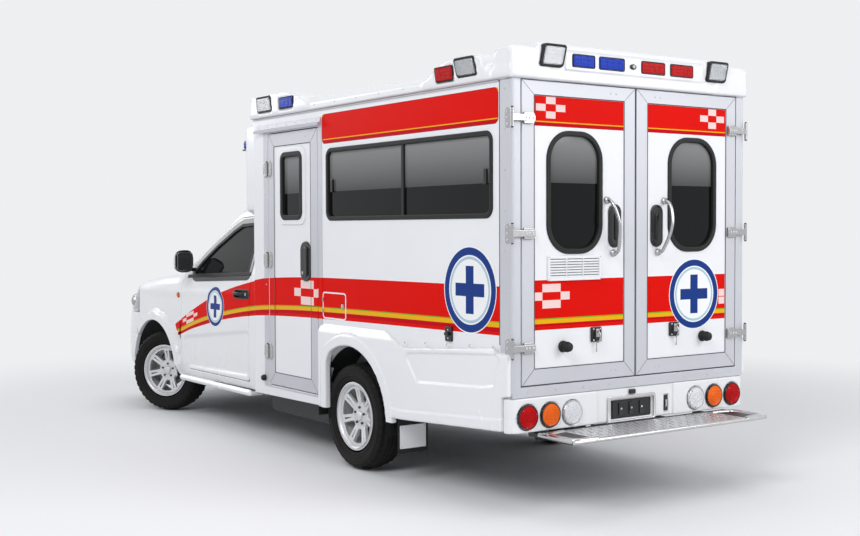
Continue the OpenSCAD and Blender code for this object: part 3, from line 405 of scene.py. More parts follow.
PAINT = Finish("white_body_paint", (0.82, 0.83, 0.85), "white_paint", 0.26, coat=0.25, dust=0.08,
               relief_strength=0.05)
PANEL = Finish("white_wall_panel", (0.83, 0.84, 0.865), "white_panel", 0.32, coat=0.1, dust=0.04,
               relief_strength=0.05, grain_scale=350.0)
MOULDING = Finish("white_gel_coat", (0.83, 0.84, 0.865), "white_moulding", 0.26, coat=0.25, dust=0.05,
                  relief_strength=0.06, grain_scale=260.0)
ALUMINIUM = Finish("satin_aluminium", (0.56, 0.57, 0.61), "satin_aluminium", 0.45, metallic=0.3,
                   relief=Relief.BRUSHED, pitch=900.0, relief_strength=0.18, drift=0.06)
CHROME = Finish("polished_steel", (0.46, 0.46, 0.465), "chrome_trim", 0.24, metallic=1.0,
                relief_strength=0.04)
TREAD = Finish("tread_plate", (0.70, 0.70, 0.72), "tread_plate", 0.3, metallic=0.7,
               relief=Relief.TREAD_BARS, pitch=130.0, relief_depth=0.0022, relief_strength=0.8, dust=0.1)
POLISHED = Finish("polished_aluminium", (0.60, 0.60, 0.60), "tread_plate", 0.22, metallic=1.0,
                  relief=Relief.BRUSHED, relief_strength=0.06)
RED = Finish("red_film", (0.72, 0.006, 0.003), "red_film", 0.42, drift=0.06, ior=1.12, relief_strength=0.08)
CRIMSON = Finish("crimson_film", (0.54, 0.002, 0.010), "red_film", 0.42, ior=1.12, relief_strength=0.08)
YELLOW = Finish("yellow_film", (0.82, 0.44, 0.004), "red_film", 0.35, ior=1.2, relief_strength=0.08)
GREEN = Finish("green_film", (0.12, 0.44, 0.015), "red_film", 0.35, ior=1.2, relief_strength=0.08)
PINK = Finish("pale_check_film", (0.88, 0.66, 0.64), "red_film", 0.35, drift=0.1, ior=1.2,
              relief_strength=0.08)
BLUE = Finish("blue_film", (0.008, 0.040, 0.22), "red_film", 0.35, ior=1.2, relief_strength=0.08)
PALE_BLUE = Finish("pale_blue_film", (0.42, 0.58, 0.68), "red_film", 0.35, ior=1.2, relief_strength=0.08)
WHITE_FILM = Finish("white_film", (0.88, 0.89, 0.90), "red_film", 0.35, ior=1.2, relief_strength=0.08)
RUBBER = Finish("black_rubber", (0.009, 0.0095, 0.010), "black_rubber", 0.55, ior=1.36, grain_scale=1200.0,
                relief_strength=0.3, drift=0.15, dust=0.04)
SEAM = Finish("seam_sealant", (0.05, 0.052, 0.055), "black_rubber", 0.75, relief_strength=0.2)
PLASTIC = Finish("black_moulded_plastic", (0.013, 0.014, 0.016), "black_plastic", 0.45, ior=1.42,
                 grain_scale=1500.0, relief_strength=0.3, drift=0.12, dust=0.06)
GLOSS_BLACK = Finish("gloss_black_plastic", (0.008, 0.008, 0.009), "black_plastic", 0.16,
                     relief_strength=0.05)
# The two glasses below carry a painted sky reflection, paler towards the top of each pane.
GLASS = Finish("dark_privacy_glass", (0.006, 0.0065, 0.007), "dark_glass", 0.04, clear=0.08, ior=1.25,
               relief_strength=0.015, gloss_drift=0.01, drift=0.1, fade=(1.715, 1.985, 0.30))
CAB_GLASS = Finish("tinted_cab_glass", (0.008, 0.009, 0.010), "tinted_glass", 0.04, clear=0.04, ior=1.08,
                   relief_strength=0.015, gloss_drift=0.01, drift=0.1, fade=(1.25, 1.56, 0.012))
SHADE_BAND = Finish("black_glass_edge", (0.01, 0.01, 0.012), "tinted_glass", 0.08, relief_strength=0.02)
LENS = Finish("clear_lamp_lens", (0.80, 0.82, 0.84), "lamp_clear", 0.08, clear=0.7, relief=Relief.RIBS,
              pitch=260.0, relief_depth=0.0006, relief_strength=0.35, gloss_drift=0.02)
REFLECTOR = Finish("lamp_reflector", (0.55, 0.56, 0.57), "lamp_clear", 0.25, metallic=0.7,
                   relief=Relief.RIBS, pitch=150.0, relief_depth=0.002, relief_strength=0.5)
BLUE_LENS = Finish("blue_lamp_lens", (0.006, 0.040, 0.42), "lamp_clear", 0.2, ior=1.2, relief=Relief.RIBS,
                   pitch=160.0, relief_depth=0.0012, relief_strength=0.4, drift=0.25, cloud_scale=14.0)
RED_LENS = Finish("red_lamp_lens", (0.46, 0.003, 0.005), "lamp_red", 0.2, ior=1.2, relief=Relief.RIBS,
                  pitch=160.0, relief_depth=0.0012, relief_strength=0.4, drift=0.25, cloud_scale=14.0)
AMBER_LENS = Finish("amber_lamp_lens", (0.86, 0.14, 0.006), "lamp_red", 0.2, ior=1.3, relief=Relief.RIBS,
                    pitch=160.0, relief_depth=0.0012, relief_strength=0.4, drift=0.2, cloud_scale=14.0)
CLEAR_LENS = Finish("clear_tail_lens", (0.74, 0.74, 0.78), "lamp_red", 0.15, coat=0.3, relief=Relief.RIBS,
                    pitch=160.0, relief_depth=0.0012, relief_strength=0.6)
TYRE = Finish("tyre_rubber", (0.006, 0.006, 0.0065), "tyre_rubber", 0.75, ior=1.28, grain_scale=900.0,
              relief_strength=0.4, relief_depth=0.0004, drift=0.2, cloud_scale=9.0, dust=0.06)
ALLOY = Finish("wheel_alloy", (0.70, 0.705, 0.72), "alloy", 0.32, metallic=0.35, coat=0.3, drift=0.05,
               cloud_scale=8.0, dust=0.08, relief_strength=0.05)
DARK_METAL = Finish("dark_running_gear", (0.035, 0.036, 0.038), "frame_black", 0.55, metallic=0.1,
                    grain_scale=400.0, relief_strength=0.35, drift=0.2, cloud_scale=6.0, dust=0.5)
CAST = Finish("cast_running_gear", (0.16, 0.16, 0.165), "cast_metal", 0.5, metallic=0.6, grain_scale=250.0,
              relief_strength=0.5, relief_depth=0.0006, drift=0.2, cloud_scale=7.0, dust=0.4)
STEEL_PIPE = Finish("exhaust_steel", (0.30, 0.27, 0.24), "exhaust_steel", 0.42, metallic=0.8,
                    grain_scale=120.0, relief_strength=0.3, drift=0.25, cloud_scale=5.0, dust=0.3)
CABIN = Finish("cabin_plastic", (0.07, 0.07, 0.078), "interior_plastic", 0.55, grain_scale=1300.0,
               relief_strength=0.4)
SEAT_CLOTH = Finish("seat_cloth", (0.075, 0.078, 0.085), "seat_fabric", 0.85, sheen=0.3,
                    relief=Relief.WEAVE, pitch=1500.0, relief_depth=0.0006, relief_strength=0.5)
BENCH_VINYL = Finish("bench_vinyl", (0.12, 0.17, 0.27), "bench_vinyl", 0.42, grain_scale=500.0,
                     relief_strength=0.3, drift=0.08)
FLOOR = Finish("floor_vinyl", (0.24, 0.25, 0.26), "floor_vinyl", 0.5, grain_scale=300.0,
               relief_strength=0.3, drift=0.15)
LINING = Finish("pale_lining", (0.62, 0.63, 0.64), "white_panel", 0.45, relief_strength=0.15)
MIRROR = Finish("mirror_silver", (0.85, 0.86, 0.87), "chrome_trim", 0.02, metallic=1.0,
                relief_strength=0.01, gloss_drift=0.01)
SHOP = Shop()


# ---------------------------------------------------------------- outlines


def rounded(u0: float, u1: float, v0: float, v1: float, radius: float = 0.0, steps: int = 6) -> Points:
    """Give the outline of a rectangle with round corners.

    Args:
        u0: low end across.
        u1: high end across.
        v0: low end up.
        v1: high end up.
        radius: corner radius.
        steps: facets of each corner.

    Returns:
        Its points, in turn.
    """
    if radius <= 0:
        return np.array([(u0, v0), (u1, v0), (u1, v1), (u0, v1)], float)
    out = []
    for cu, cv, start in ((u1 - radius, v1 - radius, 0), (u0 + radius, v1 - radius, 90),
                          (u0 + radius, v0 + radius, 180), (u1 - radius, v0 + radius, 270)):
        for turn in np.radians(start + 90 * np.arange(steps + 1) / steps):
            out.append((cu + radius * math.cos(turn), cv + radius * math.sin(turn)))
    return np.array(out)


def disc(cu: float, cv: float, radius: float, count: int = 48, other: float | None = None) -> Points:
    """Give the outline of a circle, or of an ellipse where `other` is its second radius."""
    turn = np.linspace(0, 2 * math.pi, count, endpoint=False)
    return np.stack([cu + radius * np.cos(turn), cv + (other or radius) * np.sin(turn)], 1)


def fillet(outline: Sequence[Sequence[float]], radius: float, steps: int = 5) -> Points:
    """Round every corner of a polygon.

    Args:
        outline: its corners.
        radius: largest corner radius.
        steps: facets of each corner.

    Returns:
        The rounded outline.
    """
    corners = np.asarray(outline, float)
    out = []
    for at in range(len(corners)):
        p, before, after = corners[at], corners[at - 1], corners[(at + 1) % len(corners)]
        a, b = before - p, after - p
        la, lb = np.linalg.norm(a), np.linalg.norm(b)
        cosine = float(np.clip(a @ b / (la * lb), -1, 1))
        half = math.acos(cosine) / 2
        if half > 1.5:
            out.append(p)
            continue
        reach = min(radius / math.tan(half), 0.45 * la, 0.45 * lb)
        start, stop = p + a / la * reach, p + b / lb * reach
        for t in np.linspace(0, 1, steps + 1):
            out.append((1 - t) ** 2 * start + 2 * t * (1 - t) * p + t * t * stop)
    return np.array(out)


def resample(outline: Points, step: float) -> Points:
    """Add points along an outline's long edges, so that none is longer than step."""
    out = []
    for a, b in zip(outline, np.roll(outline, -1, 0)):
        count = max(1, math.ceil(np.linalg.norm(b - a) / step - 1e-6))
        out.extend(a + (b - a) * k / count for k in range(count))
    return np.array(out)


def turned_left(outline: Points) -> Points:
    """Give the outline anticlockwise."""
    u, v = outline[:, 0], outline[:, 1]
    area = float((u * np.roll(v, -1) - np.roll(u, -1) * v).sum())
    return outline if area > 0 else outline[::-1].copy()


def inset(outline: Points, by: float) -> Points:
    """Move an outline inwards by a distance, or outwards where it is negative."""
    loop = turned_left(outline)
    edge = np.roll(loop, -1, 0) - loop
    edge /= np.maximum(np.linalg.norm(edge, axis=1, keepdims=True), 1e-9)
    normal = np.stack([-edge[:, 1], edge[:, 0]], 1)
    both = normal + np.roll(normal, 1, 0)
    scale = np.maximum(0.35, (both**2).sum(1, keepdims=True) / 2)
    return loop + both / scale * by


def inside(points: Points, outline: Points) -> Points:
    """Tell which points lie inside an outline.

    Args:
        points: places in the outline's plane.
        outline: its points, in turn.

    Returns:
        One truth value a point.
    """
    out = np.zeros(len(points), bool)
    u, v = points[:, 0], points[:, 1]
    for (au, av), (bu, bv) in zip(outline, np.roll(outline, -1, 0)):
        if av == bv:
            continue
        out ^= ((av > v) != (bv > v)) & (u < (bu - au) * (v - av) / (bv - av) + au)
    return out


class Curve:
    """A smooth line through points, which never overshoots between them."""

    def __init__(self, *pairs: tuple[float, float]) -> None:
        """Fit it through (place, value) pairs."""
        ordered = sorted(pairs)
        self.x = np.array([p[0] for p in ordered])
        self.y = np.array([p[1] for p in ordered])
        gap = np.diff(self.x)
        slope = np.diff(self.y) / gap
        tilt = np.zeros(len(self.x))
        for at in range(1, len(tilt) - 1):
            if slope[at - 1] * slope[at] > 0:
                wa, wb = 2 * gap[at] + gap[at - 1], gap[at] + 2 * gap[at - 1]
                tilt[at] = (wa + wb) / (wa / slope[at - 1] + wb / slope[at])
        tilt[0], tilt[-1] = slope[0], slope[-1]
        self.tilt = tilt

    def __call__(self, place: Points | float) -> Points:
        """Give the value at a place; past the ends it stays level."""
        t = np.clip(place, self.x[0], self.x[-1])
        at = np.clip(np.searchsorted(self.x, t) - 1, 0, len(self.x) - 2)
        gap = self.x[at + 1] - self.x[at]
        s = (t - self.x[at]) / gap
        return (
            (1 + 2 * s) * (1 - s) ** 2 * self.y[at] + s * (1 - s) ** 2 * gap * self.tilt[at]
            + s * s * (3 - 2 * s) * self.y[at + 1] + s * s * (s - 1) * gap * self.tilt[at + 1]
        )


# ---------------------------------------------------------------- surfaces


class Facing(Enum):
    """Which way a flat face looks."""

    LEFT = ((1, 0, 0), (0, 0, 1), (0, 1, 0))
    RIGHT = ((1, 0, 0), (0, 0, 1), (0, -1, 0))
    REAR = ((0, 1, 0), (0, 0, 1), (-1, 0, 0))
    FRONT = ((0, 1, 0), (0, 0, 1), (1, 0, 0))
    TOP = ((1, 0, 0), (0, 1, 0), (0, 0, 1))


def span(side: int, a: float, b: float) -> tuple[float, float]:
    """Give two sideways places in rising order, on one side of the vehicle."""
    return min(a * side, b * side), max(a * side, b * side)


def box_on(side: int, low: Sequence[float], high: Sequence[float]) -> tuple[tuple[float, ...],
        tuple[float, ...]]:
    """Give the lowest and the highest corner of a left-hand box, laid on one side of the vehicle."""
    y0, y1 = span(side, low[1], high[1])
    return (low[0], y0, low[2]), (high[0], y1, high[2])


def flat(facing: Facing, at: float) -> Surface:
    """Give a flat surface.

    Args:
        facing: which way it looks.
        at: its place along that axis, in the row frame.

    Returns:
        A function from places in its plane to points and normals.
    """
    u, v, n = (np.array(axis, float) for axis in facing.value)

    def surface(places: Points) -> tuple[Points, Points]:
        """Place points on the face."""
        points = places[:, :1] * u + places[:, 1:2] * v + abs(n) * at
        return points, np.broadcast_to(n, points.shape).copy()

    return surface


def smooth_max(a: Points, b: Points, k: float) -> Points:
    """Give the larger of two fields, blended over k."""
    return np.maximum(a, b) + np.maximum(k - np.abs(a - b), 0) ** 2 / (4 * k)


def smooth_min(a: Points, b: Points, k: float) -> Points:
    """Give the smaller of two fields, blended over k."""
    return -smooth_max(-a, -b, k)


def gradient(level: Callable[[Points], Points], points: Points, h: float = 0.0015) -> Points:
    """Give a field's slope at some points."""
    out = np.empty_like(points)
    for axis in range(3):
        step = np.zeros(3)
        step[axis] = h
        out[:, axis] = (level(points + step) - level(points - step)) / (2 * h)
    return out


def unit(vectors: Points) -> Points:
    """Scale vectors to length 1."""
    return vectors / np.maximum(np.linalg.norm(vectors, axis=-1, keepdims=True), 1e-12)


@dataclass
class Cast:
    """Lays flat outlines on a rounded form by casting along one direction."""

    level: Callable[[Points], Points]
    origin: tuple[float, float, float]
    u: tuple[float, float, float]
    v: tuple[float, float, float]
    direction: tuple[float, float, float]
    near: float = -0.5
    far: float = 0.6
    lift: float = 0.0
    side: int = 1

    def __call__(self, places: Points) -> tuple[Points, Points]:
        """Place flat points on the form, lifted along its normals, on the left or the right side."""
        ray = unit(np.array(self.direction, float))
        start = np.array(self.origin) + places[:, :1] * np.array(self.u) + places[:, 1:2] * np.array(self.v)
        low, high = np.full(len(places), self.near), np.full(len(places), self.far)
        for _ in range(22):
            middle = (low + high) / 2
            out = self.level(start + middle[:, None] * ray) > 0
            low, high = np.where(out, middle, low), np.where(out, high, middle)
        points = start + high[:, None] * ray
        normals = unit(gradient(self.level, points))
        points = points + normals * self.lift
        if self.side < 0:
            points, normals = points * (1, -1, 1), normals * (1, -1, 1)
        return points, normals

    def flatten(self, points: Points) -> Points:
        """Give the flat places that the cast lays on some points."""
        basis = np.stack([np.array(self.u, float), np.array(self.v, float),
                          unit(np.array(self.direction, float))], 1)
        return np.linalg.solve(basis, (np.atleast_2d(points) - np.array(self.origin)).T).T[:, :2]

    def raised(self, lift: float) -> "Cast":
        """Give the same cast with another lift."""
        return Cast(self.level, self.origin, self.u, self.v, self.direction, self.near, self.far, lift,
                    self.side)


# ---------------------------------------------------------------- meshes


class Shell:
    """Gathers points with their normals, and faces with their finishes, into one mesh."""

    def __init__(self) -> None:
        """Start empty."""
        self.points: list[Points] = []
        self.normals: list[Points] = []
        self.faces: list[tuple[int, ...]] = []
        self.dress: list[Finish] = []
        self.count = 0

    def add(self, points: Points, normals: Points, faces: Iterable[Sequence[int]],
            finish: Finish | Sequence[Finish]) -> None:
        """Add a patch, its faces turned to agree with its normals.

        Args:
            points: its points.
            normals: their normals.
            faces: indices into the points.
            finish: one finish, or one for each face.
        """
        faces = [tuple(int(k) for k in f) for f in faces]
        if not faces:
            return
        points, normals = np.asarray(points, float), np.asarray(normals, float)
        first = np.array([f[:3] for f in faces])
        a, b, c = (points[first[:, k]] for k in range(3))
        facing = np.einsum("ij,ij->i", np.cross(b - a, c - a),
                           normals[first[:, 0]] + normals[first[:, 1]] + normals[first[:, 2]])
        finishes = [finish] * len(faces) if isinstance(finish, Finish) else list(finish)
        for f, way, dressed in zip(faces, facing, finishes):
            self.faces.append(tuple(k + self.count for k in (f if way >= 0 else f[::-1])))
            self.dress.append(dressed)
        self.points.append(points)
        self.normals.append(normals)
        self.count += len(points)

    def skin(
        self,
        outline: Points,
        surface: Surface,
        finish: Finish,
        holes: Sequence[Points] = (),
        marks: Sequence[tuple[Finish, Points]] = (),
        step: float | None = None,
        lip: float = 0.003,
        depth: float = 0.02,
        back: Finish | None = None,
        closed: bool = True,
        wall: Finish | None = None,
    ) -> None:
        """Add a panel with rolled edges: its face, the walls round it and round its holes, and its back.

        Args:
            outline: its outline in the surface's plane.
            surface: gives points and normals for places in the plane.
            finish: what it is finished in.
            holes: outlines of its openings.
            marks: coloured films on its face, the later over the earlier.
            step: mesh size on a curved surface, or None on a flat one.
            lip: radius of the rolled edge.
            depth: thickness.
            back: finish of the back, or None for the same.
            closed: whether it has a back.
            wall: finish of the walls, or None for the same.
        """
        rings = [(turned_left(np.asarray(outline, float)), 1.0)]
        rings += [(turned_left(np.asarray(hole, float)), -1.0) for hole in holes]
        fine = step or 10.0
        rings = [(resample(ring, step or (0.014 if marks else fine)), way) for ring, way in rings]
        inner = [inset(ring, way * lip) if lip > 0 else ring for ring, way in rings]
        lines = [turned_left(np.asarray(mark, float)) for _, mark in marks]
        uv, faces = self._fill(inner, [resample(line, fine) for line in lines], step)
        if len(faces) == 0:
            return
        centre = uv[faces].mean(1)
        dress = [finish] * len(faces)
        for (film, _), line in zip(marks, lines):
            for at in np.flatnonzero(inside(centre, line)):
                dress[at] = film
        points, normals = surface(uv)
        self.add(points, normals, faces, dress)
        for (ring, way), start in zip(rings, inner):
            base = surface(start)[0]
            edge, up_edge = surface(ring)
            out = edge - base if lip > 0 else edge - surface(inset(ring, 0.001 * way))[0]
            out = unit(out - up_edge * np.einsum("ij,ij->i", out, up_edge)[:, None])
            stations = [(edge, out)] if lip <= 0 else []
            for turn in np.linspace(0, math.pi / 2, 4) if lip > 0 else ():
                spot, rise = surface(start + (ring - start) * math.sin(turn))
                stations.append((spot - rise * lip * (1 - math.cos(turn)),
                                 rise * math.cos(turn) + out * math.sin(turn)))
            stations.append((edge - up_edge * depth, out))
            size = len(ring)
            middle = (start + np.roll(start, -1, 0)) / 2
            shades = [wall or finish] * size
            for (film, _), line in zip(marks if wall is None else (), lines):
                for at in np.flatnonzero(inside(middle, line)):
                    shades[at] = film
            quads, colours = [], []
            for k in range(len(stations) - 1):
                for at in range(size):
                    after = (at + 1) % size
                    quads.append((k * size + at, k * size + after, (k + 1) * size + after,
                                  (k + 1) * size + at))
                    colours.append(shades[at])
            self.add(np.concatenate([s[0] for s in stations]),
                     unit(np.concatenate([s[1] for s in stations])), quads, colours)
        if closed:
            uv, faces = self._fill([ring for ring, _ in rings], [], step * 2 if step else None)
            if len(faces):
                points, normals = surface(uv)
                self.add(points - normals * depth, -normals, faces, back or finish)

    @staticmethod
    def _fill(rings: Sequence[Points], lines: Sequence[Points], step: float | None) -> tuple[Points,
            Points]:
        """Cut the area inside the first ring and outside the others into triangles.

        Args:
            rings: the outline, then its holes.
            lines: further loops that the triangles keep to.
            step: spacing of the inner points, or None.

        Returns:
            The points and the triangles.
        """
        blocks = [*rings, *lines]
        if step:
            low, high = rings[0].min(0), rings[0].max(0)
            across = np.arange(low[0] + step / 2, high[0], step)
            up = np.arange(low[1] + step / 2, high[1], step)
            grid = np.stack(np.meshgrid(across, up, indexing="ij"), -1).reshape(-1, 2)
            keep = inside(grid, inset(rings[0], step * 0.3))
            for hole in rings[1:]:
                keep &= ~inside(grid, inset(hole, -step * 0.3))
            grid = grid[keep]
        else:
            grid = np.zeros((0, 2))
        edges, start = [], 0
        for block in blocks:
            size = len(block)
            edges += [(start + k, start + (k + 1) % size) for k in range(size)]
            start += size
        flat_points = np.concatenate([*blocks, grid]) if len(grid) else np.concatenate(blocks)
        found = delaunay_2d_cdt([Vector(p) for p in flat_points.tolist()], edges, [], 0, 1e-6)
        uv = np.array([(p.x, p.y) for p in found[0]])
        faces = np.array([f for f in found[2] if len(f) == 3])
        if not len(faces):
            return uv, faces
        centre = uv[faces].mean(1)
        keep = inside(centre, rings[0])
        for hole in rings[1:]:
            keep &= ~inside(centre, hole)
        a, b, c = (uv[faces[:, k]] for k in range(3))
        keep &= np.abs((b[:, 0] - a[:, 0]) * (c[:, 1] - a[:, 1]) - (b[:, 1] - a[:, 1])
                       * (c[:, 0] - a[:, 0])) > 1e-9
        return uv, faces[keep]

    def block(self, low: Sequence[float], high: Sequence[float], radius: float, finish: Finish,
              turns: int = 2,
              place: Matrix | None = None) -> None:
        """Add a block with round edges.

        Args:
            low: its lowest corner.
            high: its highest corner.
            radius: edge radius.
            finish: what it is finished in.
            turns: facets of each edge.
            place: where it stands, or None for the row frame.
        """
        low, high = np.array(low, float), np.array(high, float)
        centre, half = (low + high) / 2, (high - low) / 2
        radius = float(min(radius, half.min() * 0.98))
        core = half - radius
        arc = np.tan(np.linspace(0, math.pi / 4, turns + 1))
        side = np.concatenate([-arc[::-1], arc])
        lean = np.repeat([-1.0, 1.0], turns + 1)
        size = len(side)
        grid_u, grid_v = np.meshgrid(side, side, indexing="ij")
        lean_u, lean_v = np.meshgrid(lean, lean, indexing="ij")
        quads = [(i * size + j, (i + 1) * size + j, (i + 1) * size + j + 1, i * size + j + 1)
                 for i in range(size - 1) for j in range(size - 1)]
        for axis in range(3):
            for way in (-1, 1):
                for_u, for_v = (axis + 1) % 3, (axis + 2) % 3
                ray = np.zeros((size * size, 3))
                ray[:, axis], ray[:, for_u], ray[:, for_v] = way, grid_u.ravel(), grid_v.ravel()
                normal = unit(ray)
                spot = normal * radius
                spot[:, axis] += way * core[axis]
                spot[:, for_u] += lean_u.ravel() * core[for_u]
                spot[:, for_v] += lean_v.ravel() * core[for_v]
                spot = spot + centre
                if place is not None:
                    turn = np.array(place.to_3x3())
                    spot = spot @ turn.T + np.array(place.translation)
                    normal = normal @ turn.T
                self.add(spot, normal, quads, finish)

    def tube(self, path: Sequence[Sequence[float]], radius: float | Sequence[float], finish: Finish,
             sides: int = 14,
             smooth: int = 0, caps: bool = True) -> None:
        """Add a round rod along a path.

        Args:
            path: the points along its middle.
            radius: its radius, or one at each point.
            finish: what it is finished in.
            sides: facets round it.
            smooth: points added between each two, on a smooth curve.
            caps: whether its ends are closed.
        """
        line = np.asarray(path, float)
        radii = np.full(len(line), float(radius)) if isinstance(radius,
                                                                (int, float)) else np.asarray(radius, float)
        if smooth:
            ends = np.vstack([2 * line[0] - line[1], line, 2 * line[-1] - line[-2]])
            spots, widths = [], []
            for at in range(1, len(ends) - 2):
                p0, p1, p2, p3 = ends[at - 1 : at + 3]
                for t in np.arange(smooth) / smooth:
                    spots.append(0.5 * (2 * p1 + (p2 - p0) * t + (2 * p0 - 5 * p1 + 4 * p2 - p3) * t * t
                                        + (3 * p1 - p0 - 3 * p2 + p3) * t**3))
                    widths.append(radii[at - 1] * (1 - t) + radii[at] * t)
            line, radii = np.array([*spots, line[-1]]), np.array([*widths, radii[-1]])
        ahead = unit(np.gradient(line, axis=0))
        normal = unit(np.cross(ahead[0], (0.31, 0.17, 0.93)) + 1e-9)[None][0]
        rings, outs = [], []
        for at, way in enumerate(ahead):
            normal = unit(normal - way * (normal @ way))
            other = np.cross(way, normal)
            turn = np.linspace(0, 2 * math.pi, sides, endpoint=False)[:, None]
            out = np.cos(turn) * normal + np.sin(turn) * other
            rings.append(line[at] + out * radii[at])
            outs.append(out)
        quads = [(k * sides + j, k * sides + (j + 1) % sides, (k + 1) * sides + (j + 1) % sides,
                  (k + 1) * sides + j)
                 for k in range(len(line) - 1) for j in range(sides)]
        self.add(np.concatenate(rings), np.concatenate(outs), quads, finish)
        if caps:
            for ring, way, middle in ((rings[0], -ahead[0], line[0]), (rings[-1], ahead[-1], line[-1])):
                fan = [(j, (j + 1) % sides, sides) for j in range(sides)]
                self.add(np.vstack([ring, middle]), np.tile(way, (sides + 1, 1)), fan, finish)

    def revolve(self, profile: Sequence[Sequence[float]], centre: Sequence[float], axis: Sequence[float],
                finish: Finish | Sequence[Finish],
                sides: int = 48, crease: float = 40.0) -> None:
        """Add a turned form.

        Args:
            profile: (along, radius) points in turn, the outside on their left.
            centre: where along is 0.
            axis: direction of its middle line.
            finish: one finish, or one for each stretch of the profile.
            sides: facets round it.
            crease: corners sharper than this, in degrees, stay sharp.
        """
        line = np.asarray(profile, float)
        way = unit(np.array(axis, float))
        first = unit(np.cross(way, (0.0, 0.0, 1.0) if abs(way[2]) < 0.9 else (1.0, 0.0, 0.0)))
        second = np.cross(way, first)
        turn = np.linspace(0, 2 * math.pi, sides, endpoint=False)
        spoke = np.cos(turn)[:, None] * first + np.sin(turn)[:, None] * second
        run = np.diff(line, axis=0)
        flank = unit(np.stack([-run[:, 1], run[:, 0]], 1))
        for at in range(len(run)):
            if np.linalg.norm(run[at]) < 1e-9:
                continue
            ends = []
            for point, other in ((at, at - 1), (at + 1, at + 1)):
                slope = flank[at]
                if 0 <= other < len(run) and flank[other] @ flank[at] > math.cos(math.radians(crease)):
                    slope = unit(flank[other] + flank[at])
                spot = np.array(centre) + line[point, 0] * way + line[point, 1] * spoke
                ends.append((spot, slope[0] * way + slope[1] * spoke))
            quads = [(j, (j + 1) % sides, sides + (j + 1) % sides, sides + j) for j in range(sides)]
            shade = finish if isinstance(finish, Finish) else finish[at]
            self.add(np.concatenate([ends[0][0], ends[1][0]]), np.concatenate([ends[0][1], ends[1][1]]),
                     quads, shade)

    def moulded(self, level: Callable[[Points], Points], low: Sequence[float], high: Sequence[float],
                step: float, finish: Finish,
                paint: Sequence[tuple[Finish, Callable[[Points], Points]]] = ()) -> None:
        """Add the surface where a field is 0, as one smooth moulding.

        Args:
            level: the field, negative inside.
            low: lowest corner of the space searched.
            high: its highest corner.
            step: mesh size.
            finish: what it is finished in.
            paint: further finishes, each with a test of face centres.
        """
        axes = [np.arange(a - 1.5 * step, b + 2.5 * step, step) for a, b in zip(low, high)]
        shape = tuple(len(axis) for axis in axes)
        grid = np.stack(np.meshgrid(*axes, indexing="ij"), -1).reshape(-1, 3)
        parts = np.array_split(grid, max(1, len(grid) // MOST_AT_ONCE))
        value = np.concatenate([level(part) for part in parts]).reshape(shape)
        grid = grid.reshape(*shape, 3)
        deep = value < 0
        cells = tuple(n - 1 for n in shape)

        def shifted(array: Points, offset: tuple[int, int, int]) -> Points:
            """Give one corner of every cell."""
            return array[tuple(slice(o, o + n) for o, n in zip(offset, cells))]

        corners = [(i, j, k) for i in (0, 1) for j in (0, 1) for k in (0, 1)]
        total = sum(shifted(deep, c).astype(np.int8) for c in corners)
        active = (total > 0) & (total < 8)
        ids = np.full(cells, -1)
        ids[active] = np.arange(int(active.sum()))
        spot = np.zeros((int(active.sum()), 3))
        weight = np.zeros(len(spot))
        for a in corners:
            for axis in range(3):
                if a[axis]:
                    continue
                b = tuple(o + (axis == n) for n, o in enumerate(a))
                va, vb = shifted(value, a)[active], shifted(value, b)[active]
                cross = (va < 0) != (vb < 0)
                share = np.where(cross, va / np.where(va == vb, 1, va - vb), 0)[:, None]
                pa, pb = shifted(grid, a)[active], shifted(grid, b)[active]
                spot += np.where(cross[:, None], pa + (pb - pa) * share, 0)
                weight += cross
        spot /= weight[:, None]
        start = spot.copy()
        for _ in range(3):
            slope = gradient(level, spot, step * 0.1)
            spot = spot - slope * (level(spot) / np.maximum((slope**2).sum(1), 1e-6))[:, None] * 0.8
            spot = start + np.clip(spot - start, -0.6 * step, 0.6 * step)
        normals = unit(gradient(level, spot, step * 0.2))
        quads = []
        for axis in range(3):
            o1, o2 = (axis + 1) % 3, (axis + 2) % 3
            lead = tuple(slice(0, n - 1) if a == axis else slice(1, n - 1) for a, n in enumerate(shape))
            step_on = tuple(slice(1, n) if a == axis else slice(1, n - 1) for a, n in enumerate(shape))
            cross = deep[lead] != deep[step_on]
            base = np.argwhere(cross)
            for a in range(3):
                if a != axis:
                    base[:, a] += 1
            around = []
            for d1, d2 in ((0, 0), (-1, 0), (-1, -1), (0, -1)):
                cell = base.copy()
                cell[:, o1] += d1
                cell[:, o2] += d2
                around.append(ids[cell[:, 0], cell[:, 1], cell[:, 2]])
            quads.append(np.stack(around, 1))
        quads = np.concatenate(quads)
        quads = quads[(quads >= 0).all(1)]
        centre = spot[quads].mean(1)
        dress = np.zeros(len(quads), int)
        shades = [finish]
        for film, test in paint:
            dress[test(centre)] = len(shades)
            shades.append(film)
        self.add(spot, normals, quads, [shades[k] for k in dress])

